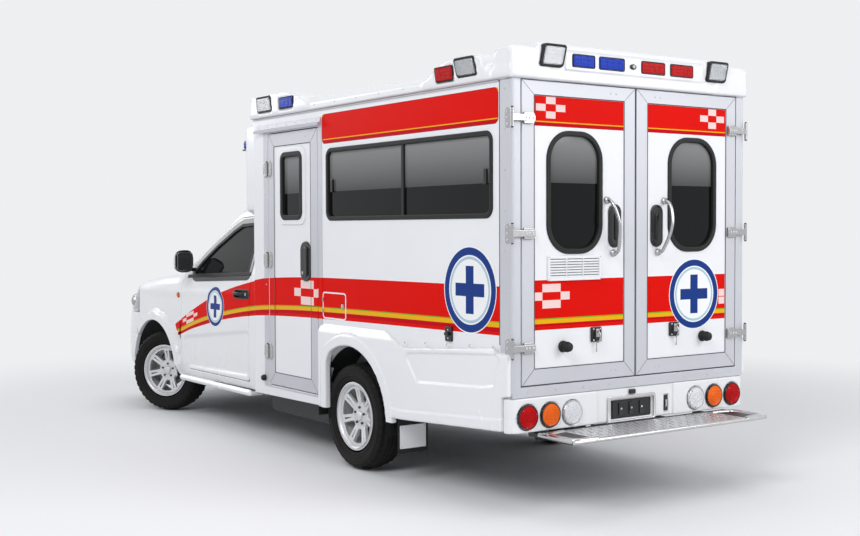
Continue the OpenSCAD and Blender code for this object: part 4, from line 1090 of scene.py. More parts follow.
    def make(self, name: str, body: str = "root", slot: str | None = None,
             replaces: Sequence[str] = ()) -> bpy.types.Object:
        """Turn what was gathered into a piece that rides on a body.

        Args:
            name: the piece's name.
            body: the body that it rides on.
            slot: not used.
            replaces: CAD nodes that it stands for.

        Returns:
            The piece.
        """
        mesh = bpy.data.meshes.new(name)
        points = np.concatenate(self.points)
        normals = np.concatenate(self.normals)
        mesh.from_pydata(points.tolist(), [], self.faces)
        palette = list(dict.fromkeys(self.dress))
        for finish in palette:
            mesh.materials.append(SHOP.mix(finish))
        mesh.polygons.foreach_set("material_index", [palette.index(finish) for finish in self.dress])
        mesh.polygons.foreach_set("use_smooth", [True] * len(mesh.polygons))
        if not mesh.validate():
            mesh.normals_split_custom_set_from_vertices(unit(normals).tolist())
        piece = bpy.data.objects.new(name, mesh)
        bpy.context.scene.collection.objects.link(piece)
        if replaces:
            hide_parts(*replaces)
        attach(piece, body)
        LOG.info("%s: %d faces on %s", name, len(self.faces), body)
        return piece


def dress_node(node: str, finish: Finish) -> None:
    """Give a CAD node that stays its finish."""
    piece = frame["nodes"][node]
    piece.data.materials.clear()
    piece.data.materials.append(SHOP.mix(finish))
    LOG.info("%s: kept from the frame, in %s", node, finish.name)


# ---------------------------------------------------------------- fields


def block_field(points: Points, low: Sequence[float], high: Sequence[float], radius: float = 0.0) -> Points:
    """Give the distance to a block with round edges."""
    low, high = np.array(low, float), np.array(high, float)
    reach = np.abs(points - (low + high) / 2) - ((high - low) / 2 - radius)
    return np.linalg.norm(np.maximum(reach, 0), axis=1) + np.minimum(reach.max(1), 0) - radius


def outline_field(places: Points, outline: Points) -> Points:
    """Give the distance to an outline in its own plane, negative inside."""
    best = np.full(len(places), 1e9)
    for a, b in zip(outline, np.roll(outline, -1, 0)):
        run = b - a
        share = np.clip((places - a) @ run / max(run @ run, 1e-12), 0, 1)
        best = np.minimum(best, ((places - a - share[:, None] * run) ** 2).sum(1))
    return np.where(inside(places, outline), -1, 1) * np.sqrt(best)


def prism_field(points: Points, axis: int, outline: Points, low: float, high: float,
                radius: float = 0.01) -> Points:
    """Give the distance to an outline drawn out along an axis, with round edges.

    Args:
        points: where.
        axis: 0, 1 or 2, the axis that it is drawn out along.
        outline: its outline in the other two axes, in their order.
        low: its start.
        high: its end.
        radius: edge radius.

    Returns:
        The distances.
    """
    others = [a for a in range(3) if a != axis]
    flat_away = outline_field(points[:, others], outline) + radius
    along = np.abs(points[:, axis] - (low + high) / 2) - (high - low) / 2 + radius
    pair = np.stack([flat_away, along], 1)
    return np.linalg.norm(np.maximum(pair, 0), axis=1) + np.minimum(pair.max(1), 0) - radius


# ---------------------------------------------------------------- livery


@dataclass
class Livery:
    """The films on the sides and the back: places in metres, the same on both sides."""

    top: Sequence[tuple[float, float]] = (
        (-2.60, 1.182), (-1.993, 1.180), (-0.689, 1.171), (0.127, 1.142), (0.293, 1.122), (0.549, 1.080),
        (0.794, 1.030), (1.130, 0.937), (1.403, 0.843), (1.600, 0.765), (1.690, 0.729),
    )
    bottom: Sequence[tuple[float, float]] = (
        (1.631, 0.654), (1.350, 0.716), (1.107, 0.764), (0.823, 0.814), (0.578, 0.846), (0.343, 0.870),
        (0.121, 0.886), (-0.60, 0.908), (-2.60, 0.930),
    )
    line: Sequence[tuple[float, float]] = (
        (-2.60, 0.983), (-0.60, 0.965), (0.118, 0.939), (0.343, 0.920), (0.798, 0.860), (1.106, 0.807),
        (1.350, 0.753), (1.625, 0.678),
    )
    badge_box: tuple[float, float] = (-2.236, 1.154)
    badge_cab: tuple[float, float] = (0.951, 0.905)
    check_door: tuple[float, float] = (-0.476, 1.067)
    check_cab: tuple[float, float] = (1.404, 0.798)

    def stripe(self, low: float, high: float) -> Points:
        """Give the part of the band between two heights above its yellow line."""
        line = Curve(*self.line)
        place = np.linspace(-2.60, 1.64, 44)
        up = [(x, float(line(x)) + high) for x in place]
        down = [(x, float(line(x)) + low) for x in place[::-1]]
        return np.array(up + down)

    def band(self) -> Points:
        """Give the outline of the whole red band."""
        top, bottom = Curve(*self.top), Curve(*self.bottom)
        place = np.linspace(-2.60, 1.62, 44)
        up = [(x, float(top(x))) for x in place] + [(1.69, 0.729), (1.668, 0.69)]
        down = [(x, float(bottom(x))) for x in place[::-1]]
        return np.array(up + down)

    def side_marks(self) -> list[tuple[Finish, Points]]:
        """Give the red band with its fine yellow, green and crimson lines."""
        return [
            (RED, self.band()), (CRIMSON, self.stripe(-0.035, -0.012)),
            (YELLOW, self.stripe(-0.012, 0.013)), (GREEN, self.stripe(0.013, 0.018)),
        ]

    @staticmethod
    def badge(cu: float, cv: float, radius: float) -> list[tuple[Finish, Points]]:
        """Give a plain round badge: a blue ring, a white disc and an upright cross.

        Args:
            cu: middle across.
            cv: middle up.
            radius: outer radius.

        Returns:
            Its films.
        """
        arm, reach = radius * 0.15, radius * 0.55
        cross = [(-arm, -reach), (arm, -reach), (arm, -arm), (reach, -arm), (reach, arm), (arm, arm),
                 (arm, reach), (-arm, reach), (-arm, arm), (-reach, arm), (-reach, -arm), (-arm, -arm)]
        return [
            (WHITE_FILM, disc(cu, cv, radius)), (BLUE, disc(cu, cv, radius * 0.975)),
            (WHITE_FILM, disc(cu, cv, radius * 0.80)), (PALE_BLUE, disc(cu, cv, radius * 0.765)),
            (WHITE_FILM, disc(cu, cv, radius * 0.70)), (BLUE, np.array(cross) + (cu, cv)),
        ]

    @staticmethod
    def checks(cu: float, cv: float, square: float, tall: float,
               lean: float = 0.0) -> list[tuple[Finish, Points]]:
        """Give six pale squares set corner to corner in three rows.

        Args:
            cu: middle across.
            cv: middle up.
            square: width of each.
            tall: height of each.
            lean: fall of the rows for each metre forward.

        Returns:
            Their films.
        """
        out = []
        for column, row in ((-1.5, 0), (-0.5, 1), (-0.5, -1), (0.5, 1), (0.5, -1), (1.5, 0)):
            box = rounded(column * square - square / 2, column * square + square / 2, row * tall - tall / 2,
                          row * tall + tall / 2)
            box[:, 1] += box[:, 0] * lean
            out.append((PINK, box + (cu, cv)))
        return out

    def on_side(self) -> list[tuple[Finish, Points]]:
        """Give all the films of a side of the box body."""
        return [*self.side_marks(), *self.badge(*self.badge_box, 0.232),
                *self.checks(*self.check_door, 0.088, 0.053)]

    def on_cab(self) -> list[tuple[Finish, Points]]:
        """Give all the films of a side of the cab."""
        return [
            *self.side_marks(), *self.badge(*self.badge_cab, 0.15),
            *self.checks(*self.check_cab, 0.068, 0.026, -0.26),
        ]

    def on_back(self, side: int) -> list[tuple[Finish, Points]]:
        """Give the films of one rear door.

        Args:
            side: 1 for the left door, -1 for the right one.

        Returns:
            Its films.
        """

        def across(low: float, high: float, bottom: float, top: float) -> Points:
            """Give a strip across the door."""
            return rounded(*span(side, low, high), bottom, top)

        films = [
            (RED, across(0.086, 0.715, 0.954, 1.212)), (CRIMSON, across(0.086, 0.715, 0.974, 0.986)),
            (YELLOW, across(0.086, 0.715, 0.986, 1.008)), (GREEN, across(0.086, 0.715, 1.008, 1.013)),
            (RED, across(0.090, 0.716, 2.004, 2.158)), (CRIMSON, across(0.090, 0.716, 2.004, 2.024)),
            (YELLOW, across(0.090, 0.716, 2.024, 2.030)),
        ]
        high = [(0.605 + du, 2.100 + dv) for du, dv in ((0.0, 0.037), (0.067, 0.0), (-0.067, 0.0),
                                                        (0.0, -0.037))]
        films += [(PINK, across(y - 0.032, y + 0.032, z - 0.018, z + 0.018)) for y, z in high]
        if side > 0:
            return films + self.checks(0.600, 1.128, 0.062, 0.042)
        films += [(PINK, across(0.664, 0.712, z - 0.020, z + 0.020)) for z in (1.105, 1.060)]
        return films + self.badge(-0.46, 1.104, 0.20)


LIVERY = Livery()


def screws(shell: Shell, spots: Iterable[tuple[float, float]], surface: Surface, finish: Finish = ALUMINIUM,
           radius: float = 0.0050,
           rise: float = 0.003) -> None:
    """Set round-headed screws on a surface.

    Args:
        shell: what they are added to.
        spots: their places in the surface's plane.
        surface: what they stand on.
        finish: of the heads.
        radius: of the heads.
        rise: of the heads above the surface.
    """
    points, normals = surface(np.array(list(spots), float))
    for point, way in zip(points, normals):
        shell.revolve([(0, radius), (rise * 0.6, radius * 0.92), (rise, radius * 0.5), (rise, 0.0001)],
                      point, way, finish, 10, 70)
        shell.revolve([(rise * 1.01, radius * 0.35), (rise * 0.6, radius * 0.3), (rise * 0.6, 0.0001)],
                      point, way, RUBBER, 6, 70)


# ---------------------------------------------------------------- cab


class CabForm:
    """The outer form of the cab as one smooth field."""

    half = Curve((0.33, 0.826), (0.42, 0.846), (0.60, 0.850), (0.76, 0.850), (1.0, 0.842), (1.13, 0.825),
                 (1.276, 0.788), (1.423, 0.744), (1.56, 0.710), (1.66, 0.68))
    length_swell = Curve((1.50, 0.004), (1.62, 0.004), (2.065, 0.012), (2.61, 0.014), (2.71, -0.002),
                         (2.805, -0.038))
    nose_plan = Curve((0, 2.910), (0.2, 2.908), (0.4, 2.898), (0.55, 2.882), (0.65, 2.862), (0.72, 2.838),
                      (0.78, 2.80), (0.82, 2.76), (0.85, 2.69), (0.87, 2.60))
    nose_rake = Curve((0.335, -0.05), (0.38, -0.015), (0.52, 0.0), (0.64, -0.01), (0.78, -0.05),
                      (0.9, -0.15), (1.0, -0.21), (1.1, -0.28))
    roof_line = Curve((0.286, 1.640), (0.526, 1.662), (0.685, 1.665), (0.825, 1.642), (0.905, 1.600),
                      (1.15, 1.440), (1.40, 1.292), (1.64, 1.158), (1.9, 1.0))
    hood_line = Curve((1.5, 1.165), (1.64, 1.160), (1.80, 1.152), (2.215, 1.112), (2.53, 1.060),
                      (2.70, 1.000), (2.76, 0.93), (2.86, 0.80))
    arch = (2.065, 0.328, 0.415, 0.499)

    def __call__(self, points: Points) -> Points:
        """Give the field at some points, negative inside."""
        x, y, z = points[:, 0], np.abs(points[:, 1]), points[:, 2]
        away = np.hypot(x - self.arch[0], z - self.arch[1])
        bulge = np.clip((self.arch[3] - away) / 0.022, 0, 1)
        bulge = 0.030 * bulge * bulge * (3 - 2 * bulge) * (y > 0.5)
        crease = 0.006 * np.exp(-(((z - 1.02 + 0.02 * x) / 0.03) ** 2)) * np.clip((x - 0.3) * 4, 0,
                1) * np.clip((2.6 - x) * 4, 0, 1)
        side = y - (self.half(z) + self.length_swell(x) + bulge + crease)
        roof = self.roof_line(x - 0.07 * (1 - (y / 0.75) ** 2)) - 0.015 * (y / 0.7) ** 2
        bonnet = self.hood_line(x) - 0.035 * (y / 0.8) ** 2
        ridge = 0.008 * np.exp(-(((y - 0.46 + 0.08 * (x - 1.7)) / 0.03) ** 2)) * np.clip((x - 1.75) * 5, 0,
                1)
        top = z - smooth_max(roof, bonnet + ridge, 0.02)
        nose = x - (self.nose_plan(y) + self.nose_rake(z))
        return smooth_max(smooth_max(side, top, 0.09), nose, 0.07)


CAB = CabForm()


def cast_side(side: int = 1, lift: float = 0.0) -> Cast:
    """Give the cast that lays (x, z) outlines on the side of the cab."""
    return Cast(CAB, (0, 1.1, 0), (1, 0, 0), (0, 0, 1), (0, -1, 0), -0.1, 0.9, lift, side)


def cast_corner(side: int = 1, lift: float = 0.0) -> Cast:
    """Give the cast that lays outlines on the side and over the shoulder of the cab."""
    return Cast(CAB, (0, 0.8, 0), (1, 0, 0), (0, 0, 1), (0, -1, -1), -0.5, 0.7, lift, side)


def cast_top(lift: float = 0.0) -> Cast:
    """Give the cast that lays (x, y) outlines on the roof and the bonnet."""
    return Cast(CAB, (0, 0, 1.9), (1, 0, 0), (0, 1, 0), (0, 0, -1), -0.1, 1.3, lift)


def cast_nose(lift: float = 0.0) -> Cast:
    """Give the cast that lays (y, z) outlines on the front."""
    return Cast(CAB, (3.1, 0, 0), (0, 1, 0), (0, 0, 1), (-1, 0, 0), -0.1, 1.6, lift)


def corner_outline(outline: Points, step: float = 0.05) -> Points:
    """Carry a side outline in (x, z) over to the corner cast's plane."""
    points, _ = cast_side()(resample(np.asarray(outline, float), step))
    return cast_corner().flatten(points)


@dataclass
class Cab:
    """The painted cab: side frames, roof, wings, doors and their trim."""

    step: float = 0.03
    door: Sequence[tuple[float, float]] = (
        (0.394, 0.399), (1.430, 0.399), (1.510, 0.442), (1.560, 0.530), (1.575, 0.70), (1.569, 1.055),
        (1.516, 1.146), (1.338, 1.246), (1.098, 1.396), (0.878, 1.516), (0.748, 1.564), (0.394, 1.576),
    )
    window: Sequence[tuple[float, float]] = (
        (0.452, 1.168), (1.388, 1.128), (1.233, 1.240), (1.053, 1.352), (0.838, 1.458), (0.718, 1.503),
        (0.452, 1.515),
    )
    arch: tuple[float, float, float] = (2.065, 0.328, 0.415)

    def build(self) -> None:
        """Make every piece of the cab's skin."""
        for side, tag in ((1, "left"), (-1, "right")):
            self.side_frame(side, tag)
            self.wing(side, tag)
            self.door_piece(side, tag)
        self.roof()
        self.inner()

    def side_frame(self, side: int, tag: str) -> None:
        """Make the sill, door post, roof rail and windscreen pillar of one side as one panel."""
        hole = fillet(corner_outline(inset(np.array(self.door), -0.005)), 0.03)
        ditch = np.array([(x, 0.60, float(CAB.roof_line(x)) - 0.02) for x in np.linspace(0.80, 0.288, 12)])
        pillar = self.screen_edge()
        shell = Shell()
        outline = np.concatenate([
            cast_corner().flatten(self.along_side([(0.288, 0.345), (0.95, 0.34), (1.60, 0.345),
                                                   (1.65, 0.42), (1.652, 0.70), (1.652, 1.09)])),
            cast_corner().flatten(pillar), cast_corner().flatten(ditch),
            cast_corner().flatten(self.along_side([(0.288, 1.50)])),
        ])
        shell.skin(outline, cast_corner(side), PAINT, holes=[hole], marks=self.films(), step=self.step,
                   lip=0.004, depth=0.03, closed=False)
        shell.make(f"cab_side_{tag}", replaces=("cab_shell",) if side > 0 else ())

    @staticmethod
    def along_side(outline: Sequence[tuple[float, float]]) -> Points:
        """Give the points on the cab's side above (x, z) places."""
        return cast_side()(np.array(outline, float))[0]

    @staticmethod
    def screen_edge() -> Points:
        """Give the line down the windscreen pillar, from the scuttle up to the roof."""
        places = [(1.60, 0.70), (1.50, 0.705), (1.36, 0.70), (1.20, 0.69), (1.05, 0.672), (0.93, 0.655),
                  (0.86, 0.63)]
        return cast_top()(np.array(places))[0]

    @staticmethod
    def films() -> list[tuple[Finish, Points]]:
        """Give the cab's films in the corner cast's plane."""
        return [(film, corner_outline(line, 0.04)) for film, line in LIVERY.on_cab()]

    def wing(self, side: int, tag: str) -> None:
        """Make one front wing with its flare and the arch liner behind it."""
        arch = [(self.arch[0] + self.arch[2] * math.cos(a), self.arch[1] + self.arch[2] * math.sin(a))
                for a in np.radians(np.linspace(180, 42, 26))]
        low = [(1.582, 0.40), (1.652, 0.40), *arch, (2.40, 0.70), (2.42, 0.785), (2.425, 0.975),
               (2.50, 1.0)]
        points = self.along_side(low)
        top, _ = cast_top()(np.array([(2.56, 0.62), (2.40, 0.655), (2.10, 0.675), (1.80, 0.69),
                                      (1.672, 0.70)]))
        back = self.along_side([(1.60, 1.06), (1.582, 0.90), (1.582, 0.70)])
        outline = cast_corner().flatten(np.concatenate([points, top, back]))
        shell = Shell()
        shell.skin(outline, cast_corner(side), PAINT, marks=self.films(), step=self.step * 0.8, lip=0.004,
                   depth=0.028, closed=False)
        away = 0.86 * side
        cu, cv, radius = self.arch
        liner = [(cu + (radius + 0.006) * math.cos(a), cv + (radius + 0.006) * math.sin(a))
                 for a in np.radians(np.linspace(185, -5, 30))]
        rows = [np.array([(x, y, z) for x, z in liner]) for y in (away, 0.48 * side)]
        ways = np.array([(cu - x, 0, cv - z) for x, z in liner])
        count = len(liner)
        shell.add(np.concatenate(rows), unit(np.concatenate([ways, ways])),
                  [(k, k + 1, count + k + 1, count + k) for k in range(count - 1)], PLASTIC)
        shell.make(f"wing_{tag}", replaces=("front_wings",) if side > 0 else ())
        lamp = Shell()
        lamp.skin(disc(1.629, 0.963, 0.019, 24), cast_side(side, 0.010), AMBER_LENS, lip=0.006, depth=0.02)
        lamp.skin(disc(1.629, 0.963, 0.023, 24), cast_side(side, 0.003), GLOSS_BLACK, lip=0.002,
                  depth=0.006)
        lamp.make(f"repeater_{tag}")

    def door_piece(self, side: int, tag: str) -> None:
        """Make one cab door with its window, surround, handle, pressed panel and inner trim."""
        body = f"cab_door_{tag}"
        outline = fillet(self.door, 0.045)
        window = fillet(self.window, 0.03)
        pressed = fillet([(1.535, 0.640), (1.44, 0.420), (0.42, 0.440), (0.41, 0.755)], 0.04)
        handle = rounded(0.400, 0.635, 0.985, 1.045, 0.026)
        surface = self.pressed_surface(side, pressed)
        shell = Shell()
        shell.skin(corner_outline(outline), surface, PAINT,
                   holes=[corner_outline(inset(window, -0.012)), corner_outline(handle)],
                   marks=self.films(),
                   step=0.013, lip=0.004, depth=0.035, back=CABIN)
        shell.make(f"door_skin_{tag}", body, replaces=(f"cab_door_{tag}",))
        trim = Shell()
        trim.skin(corner_outline(inset(window, -0.052)), cast_corner(side, 0.0035), GLOSS_BLACK,
                  holes=[corner_outline(window)], step=0.03, lip=0.002, depth=0.03)
        trim.skin(corner_outline(inset(window, -0.016)), cast_corner(side, 0.006), RUBBER,
                  holes=[corner_outline(inset(window, 0.008))], step=0.03, lip=0.003, depth=0.02)
        belt = np.array([(0.405, 1.150), (1.47, 1.103), (1.462, 1.128), (0.405, 1.174)])
        trim.skin(corner_outline(belt), cast_corner(side, 0.008), RUBBER, step=0.03, lip=0.004, depth=0.02)
        trim.make(f"door_surround_{tag}", body)
        glass = Shell()
        glass.skin(corner_outline(inset(window, -0.004)), cast_corner(side, -0.007), CAB_GLASS, step=0.03,
                   lip=0.001, depth=0.004)
        glass.make(f"door_glass_pane_{tag}", body, replaces=(f"door_glass_{tag}",))
        grip = Shell()
        grip.skin(corner_outline(inset(handle, -0.006)), cast_corner(side, 0.002), PLASTIC,
                  holes=[corner_outline(inset(handle, 0.005))], step=0.02, lip=0.002, depth=0.02)
        grip.skin(corner_outline(inset(handle, 0.002)), cast_corner(side, -0.022), PLASTIC, step=0.02,
                  lip=0.0, depth=0.004)
        bar, ways = cast_side(side, 0.012)(np.array([(x, 1.016) for x in np.linspace(0.500, 0.632, 8)]))
        dip = np.array([-0.02, -0.002, 0.003, 0.005, 0.005, 0.003, -0.002, -0.02])[:, None]
        grip.tube(bar + ways * dip, [0.009, 0.012, 0.013, 0.013, 0.013, 0.013, 0.012, 0.009], PLASTIC, 14,
                  3)
        grip.revolve([(0, 0.011), (0.004, 0.011), (0.005, 0.008), (0.005, 0.0005)],
                     cast_side(side, 0.001)(np.array([(0.445, 1.016)]))[0][0], (0, side, 0), CHROME, 20)
        grip.make(f"door_handle_{tag}", body)
        for height in (0.60, 0.93):
            hinge = Shell()
            spot, _ = cast_side(side)(np.array([(1.569, height)]))
            hinge.tube([spot[0] + (0, 0, -0.04), spot[0] + (0, 0, 0.04)], 0.005, PAINT, 12)
            hinge.make(f"cab_hinge_{tag}_{int(height * 100)}", body)

    @staticmethod
    def pressed_surface(side: int, pressed: Points) -> Surface:
        """Give the door's surface, sunk a little inside the pressed panel."""
        cast = cast_corner(1)

        def surface(places: Points) -> tuple[Points, Points]:
            """Place points on the door."""

            def at(spots: Points) -> Points:
                """Give the sunk points."""
                points, ways = cast(spots)
                away = outline_field(points[:, [0, 2]], pressed)
                sink = np.clip(0.5 - away / 0.036, 0, 1)
                return points - ways * (0.014 * sink * sink * (3 - 2 * sink))[:, None]

            points = at(places)
            across, up = at(places + (0.003, 0)) - points, at(places + (0, 0.003)) - points
            normals = unit(np.cross(up, across))
            if side < 0:
                return points * (1, -1, 1), normals * (1, -1, 1)
            return points, normals

        return surface

    def roof(self) -> None:
        """Make the roof skin, the windscreen with its frame, and the black strips in the roof joints."""
        shell = Shell()
        line = [(0.288, -0.598), (0.86, -0.598), (0.90, -0.50), (0.925, -0.30), (0.93, 0.0), (0.925, 0.30),
                (0.90, 0.50), (0.86, 0.598), (0.288, 0.598)]
        shell.skin(np.array(line), cast_top(), PAINT, step=0.04, lip=0.004, depth=0.02)
        shell.make("cab_roof")
        screen = [(1.592, -0.70), (1.50, -0.703), (1.36, -0.698), (1.20, -0.688), (1.05, -0.668),
                  (0.95, -0.64), (0.905, -0.59)]
        screen = screen + [(0.935, -0.45), (0.955, -0.2), (0.96, 0.0)]
        screen = np.array(screen + [(x, -y) for x, y in screen[-2::-1]] + [(1.64, 0.45), (1.66, 0.0),
                (1.64, -0.45)])
        glass = Shell()
        glass.skin(inset(screen, 0.004), cast_top(-0.003), CAB_GLASS,
                   marks=[(SHADE_BAND, screen), (CAB_GLASS, inset(screen, 0.05))], step=0.04,
                   lip=0.001, depth=0.006)
        glass.make("windscreen_pane", replaces=("windscreen",))
        frame_strip = Shell()
        frame_strip.skin(inset(screen, -0.006), cast_top(0.002), RUBBER, holes=[inset(screen, 0.008)],
                         step=0.05, lip=0.003, depth=0.012)
        for side in (1, -1):
            path, ways = cast_top()(np.array([(x, 0.599 * side) for x in np.linspace(0.295, 0.88, 12)]))
            frame_strip.tube(path + ways * 0.001, 0.008, RUBBER, 8)
        scuttle = [(1.66, -0.685), (1.60, -0.70), (1.64, -0.45), (1.662, 0), (1.64, 0.45), (1.60, 0.70),
                   (1.66, 0.685), (1.70, 0.4), (1.715, 0), (1.70, -0.4)]
        frame_strip.skin(np.array(scuttle), cast_top(-0.006), PLASTIC, step=0.04, lip=0.003, depth=0.015)
        for side in (-0.42, 0.16):
            wipe, ways = cast_top()(np.array([(1.62, side - 0.02), (1.50, side + 0.10),
                                              (1.36, side + 0.22)]))
            frame_strip.tube(wipe + ways * 0.018, [0.008, 0.006, 0.005], PLASTIC, 8)
            blade, ways = cast_top()(np.array([(1.50 - 0.16 * t, side - 0.18 + 0.46 * t)
                                               for t in np.linspace(0, 1, 7)]))
            frame_strip.tube(blade + ways * 0.010, 0.006, RUBBER, 8)
        frame_strip.make("windscreen_frame")

    def inner(self) -> None:
        """Make the dark inner shell that shows through the glass and the joints."""
        shell = Shell()
        outline = np.array([(0.30, -0.60), (0.86, -0.60), (0.86, 0.60), (0.30, 0.60)])
        shell.skin(outline, cast_top(-0.03), LINING, step=0.08, lip=0.0, depth=0.004)
        shell.skin(rounded(-0.72, 0.72, 0.46, 1.58, 0.05), flat(Facing.FRONT, 0.322), CABIN,
                   holes=[rounded(-0.50, 0.50, 1.21, 1.49, 0.05)], lip=0.004, depth=0.03)
        shell.skin(rounded(0.30, 1.62, -0.78, 0.78, 0.02), flat(Facing.TOP, 0.488), FLOOR, lip=0.002,
                   depth=0.02)
        shell.make("cab_lining")


@dataclass
class Nose:
    """Bonnet, grille, headlamps and front bumper."""

    step: float = 0.03

    def build(self) -> None:
        """Make the front of the cab."""
        self.bonnet()
        self.front()

    def bonnet(self) -> None:
        """Make the bonnet panel."""
        left = [(1.672, -0.698), (1.80, -0.686), (2.10, -0.671), (2.40, -0.651), (2.56, -0.612),
                (2.66, -0.54), (2.715, -0.40), (2.735, -0.2), (2.74, 0)]
        outline = np.array(left + [(x, -y) for x, y in left[-2::-1]] + [(1.715, 0.4), (1.73, 0),
                                                                        (1.715, -0.4)])
        shell = Shell()
        shell.skin(outline, cast_top(), PAINT, step=self.step, lip=0.006, depth=0.024, back=DARK_METAL)
        shell.make("bonnet", "hood", replaces=("hood",))

    def front(self) -> None:
        """Make the grille, the headlamps and the bumper."""
        cast = cast_nose()
        half = [(0.0, 0.735), (0.50, 0.735), (0.50, 0.946), (0.40, 0.941), (0.20, 0.928), (0.0, 0.924)]
        grille = fillet(np.array(half[:-1] + [(-y, z) for y, z in half[:0:-1]]), 0.02)
        bars = Shell()
        slots = [rounded(-0.46, 0.46, z, z + 0.030, 0.012) for z in (0.760, 0.818, 0.876)]
        bars.skin(grille, cast_nose(0.004), CHROME, holes=slots, step=0.04, lip=0.004, depth=0.03)
        bars.skin(inset(grille, 0.01), cast_nose(-0.05), PLASTIC, step=0.08, lip=0.0, depth=0.01)
        for k in range(19):
            y = -0.44 + k * 0.0489
            bars.skin(rounded(y - 0.003, y + 0.003, 0.750, 0.895), cast_nose(-0.02), PLASTIC, step=0.05,
                      lip=0.001, depth=0.02)
        bars.make("grille_bars", replaces=("grille",))
        for side, tag in ((1, "left"), (-1, "right")):
            lamp = Shell()
            face = Cast(CAB, (2.6, 0.9, 0), (0.7071, -0.7071, 0), (0, 0, 1), (-1, -1, 0), -0.6, 1.0, 0.0,
                        side)
            edge = cast_side()(np.array([(2.433, 0.80), (2.433, 0.978)]))[0]
            ends = cast_corner().flatten(np.concatenate([cast_side()(np.array([(2.50, 1.0)]))[0],
                                                         cast_top()(np.array([(2.56, 0.62)]))[0]]))
            joint = cast_corner()(np.linspace(ends[0], ends[1], 8))[0] + (0.008, 0, 0)
            brow = cast_top()(np.array([(2.618, 0.590), (2.668, 0.549), (2.700, 0.506)]))[0]
            inner_edge = cast(np.array([(0.512, 0.90), (0.51, 0.80), (0.60, 0.79)]))[0]
            outline = fillet(face.flatten(np.concatenate([edge, joint, brow, inner_edge])), 0.006)
            lamp.skin(outline, face.raised(0.0), LENS, step=0.04, lip=0.006, depth=0.012)
            lamp.skin(inset(outline, -0.001), face.raised(-0.055), REFLECTOR, step=0.05, lip=0.004,
                      depth=0.02, closed=False)
            for place in (0.35, 0.62):
                spot = face(outline.min(0)[None] * (1 - place) + outline.max(0)[None] * place)[0][0]
                middle = np.array([spot[0] - 0.03, spot[1] - 0.02 * side, 0.872])
                lamp.revolve([(0.03, 0.058), (0.012, 0.050), (-0.012, 0.028), (-0.02, 0.0005)], middle,
                             (1, 0.25 * side, 0), CHROME, 28, 60)
            lamp.make(f"headlamp_{tag}", replaces=("headlamps",) if side > 0 else ())
        self.bumper()

    def bumper(self) -> None:
        """Make the front bumper with its intake and its plain plate holder."""
        shell = Shell()
        for side in (1, -1):
            face = Cast(CAB, (2.6, 0.9, 0), (0.7071, -0.7071, 0), (0, 0, 1), (-1, -1, 0), -0.9, 1.2, 0.0,
                        side)
            arch = [(2.065 + 0.415 * math.cos(a), 0.328 + 0.415 * math.sin(a))
                    for a in np.radians(np.linspace(40, 2, 12))]
            edge = cast_side()(np.array([(2.405, 0.70), *arch, (2.50, 0.342), (2.60, 0.342)]))[0]
            low = cast_nose()(np.array([(0.70, 0.345), (0.45, 0.345), (0.2, 0.345), (0.001, 0.345)]))[0]
            top = cast_nose()(np.array([(0.001, 0.725), (0.2, 0.725), (0.47, 0.725), (0.505, 0.775),
                                        (0.60, 0.780)]))[0]
            over = cast_side()(np.array([(2.60, 0.783), (2.52, 0.783), (2.425, 0.783)]))[0]
            middle = cast_nose()(np.array([(0.001, z) for z in np.linspace(0.375, 0.695, 9)]))[0]
            outline = face.flatten(np.concatenate([edge, low, middle, top, over]))
            intake = face.flatten(cast_nose()(np.array([(0.035, 0.44), (0.035, 0.60), (0.34, 0.60),
                                                        (0.38, 0.56), (0.38, 0.47), (0.35, 0.44)]))[0])
            fog = face.flatten(cast_nose()(disc(0.60, 0.50, 0.048, 24))[0])
            shell.skin(outline, face, PAINT, holes=[fillet(intake, 0.02), fog], step=self.step, lip=0.003,
                       depth=0.03, closed=False)
            shell.skin(inset(fog, 0.004), face.raised(-0.012), LENS, step=0.03, lip=0.003, depth=0.02)
            shell.skin(inset(intake, -0.004), face.raised(-0.045), PLASTIC, step=0.05, lip=0.0, depth=0.02)
        plate = np.array(rounded(-0.265, 0.265, 0.635, 0.715, 0.008))
        shell.skin(plate, cast_nose(0.006), WHITE_FILM, step=0.08, lip=0.002, depth=0.01)
        shell.make("bumper_front", replaces=("front_bumper",))


# ---------------------------------------------------------------- box body


@dataclass
class Window:
    """A dark pane in a black rubber, set in a flat wall."""

    outline: Points
    facing: Facing
    at: float
    rubber: float = 0.020
    proud: float = 0.006
    glass_in: float = 0.012

    def add_rubber(self, shell: Shell) -> None:
        """Add the rubber round the pane, with its inner bead."""
        sign = 1 if self.facing in (Facing.LEFT, Facing.FRONT, Facing.TOP) else -1
        shell.skin(inset(self.outline, -0.004), flat(self.facing, self.at + sign * self.proud), RUBBER,
                   holes=[inset(self.outline, self.rubber)], lip=0.006, depth=self.proud + 0.02)
        shell.skin(inset(self.outline, self.rubber * 0.45),
                   flat(self.facing, self.at + sign * (self.proud + 0.001)), RUBBER,
                   holes=[inset(self.outline, self.rubber * 0.75)], lip=0.0015, depth=0.004, closed=False)

    def add_glass(self, shell: Shell) -> None:
        """Add the pane."""
        sign = 1 if self.facing in (Facing.LEFT, Facing.FRONT, Facing.TOP) else -1
        shell.skin(inset(self.outline, self.rubber * 0.6),
                   flat(self.facing, self.at - sign * self.glass_in), GLASS, lip=0.001, depth=0.005)


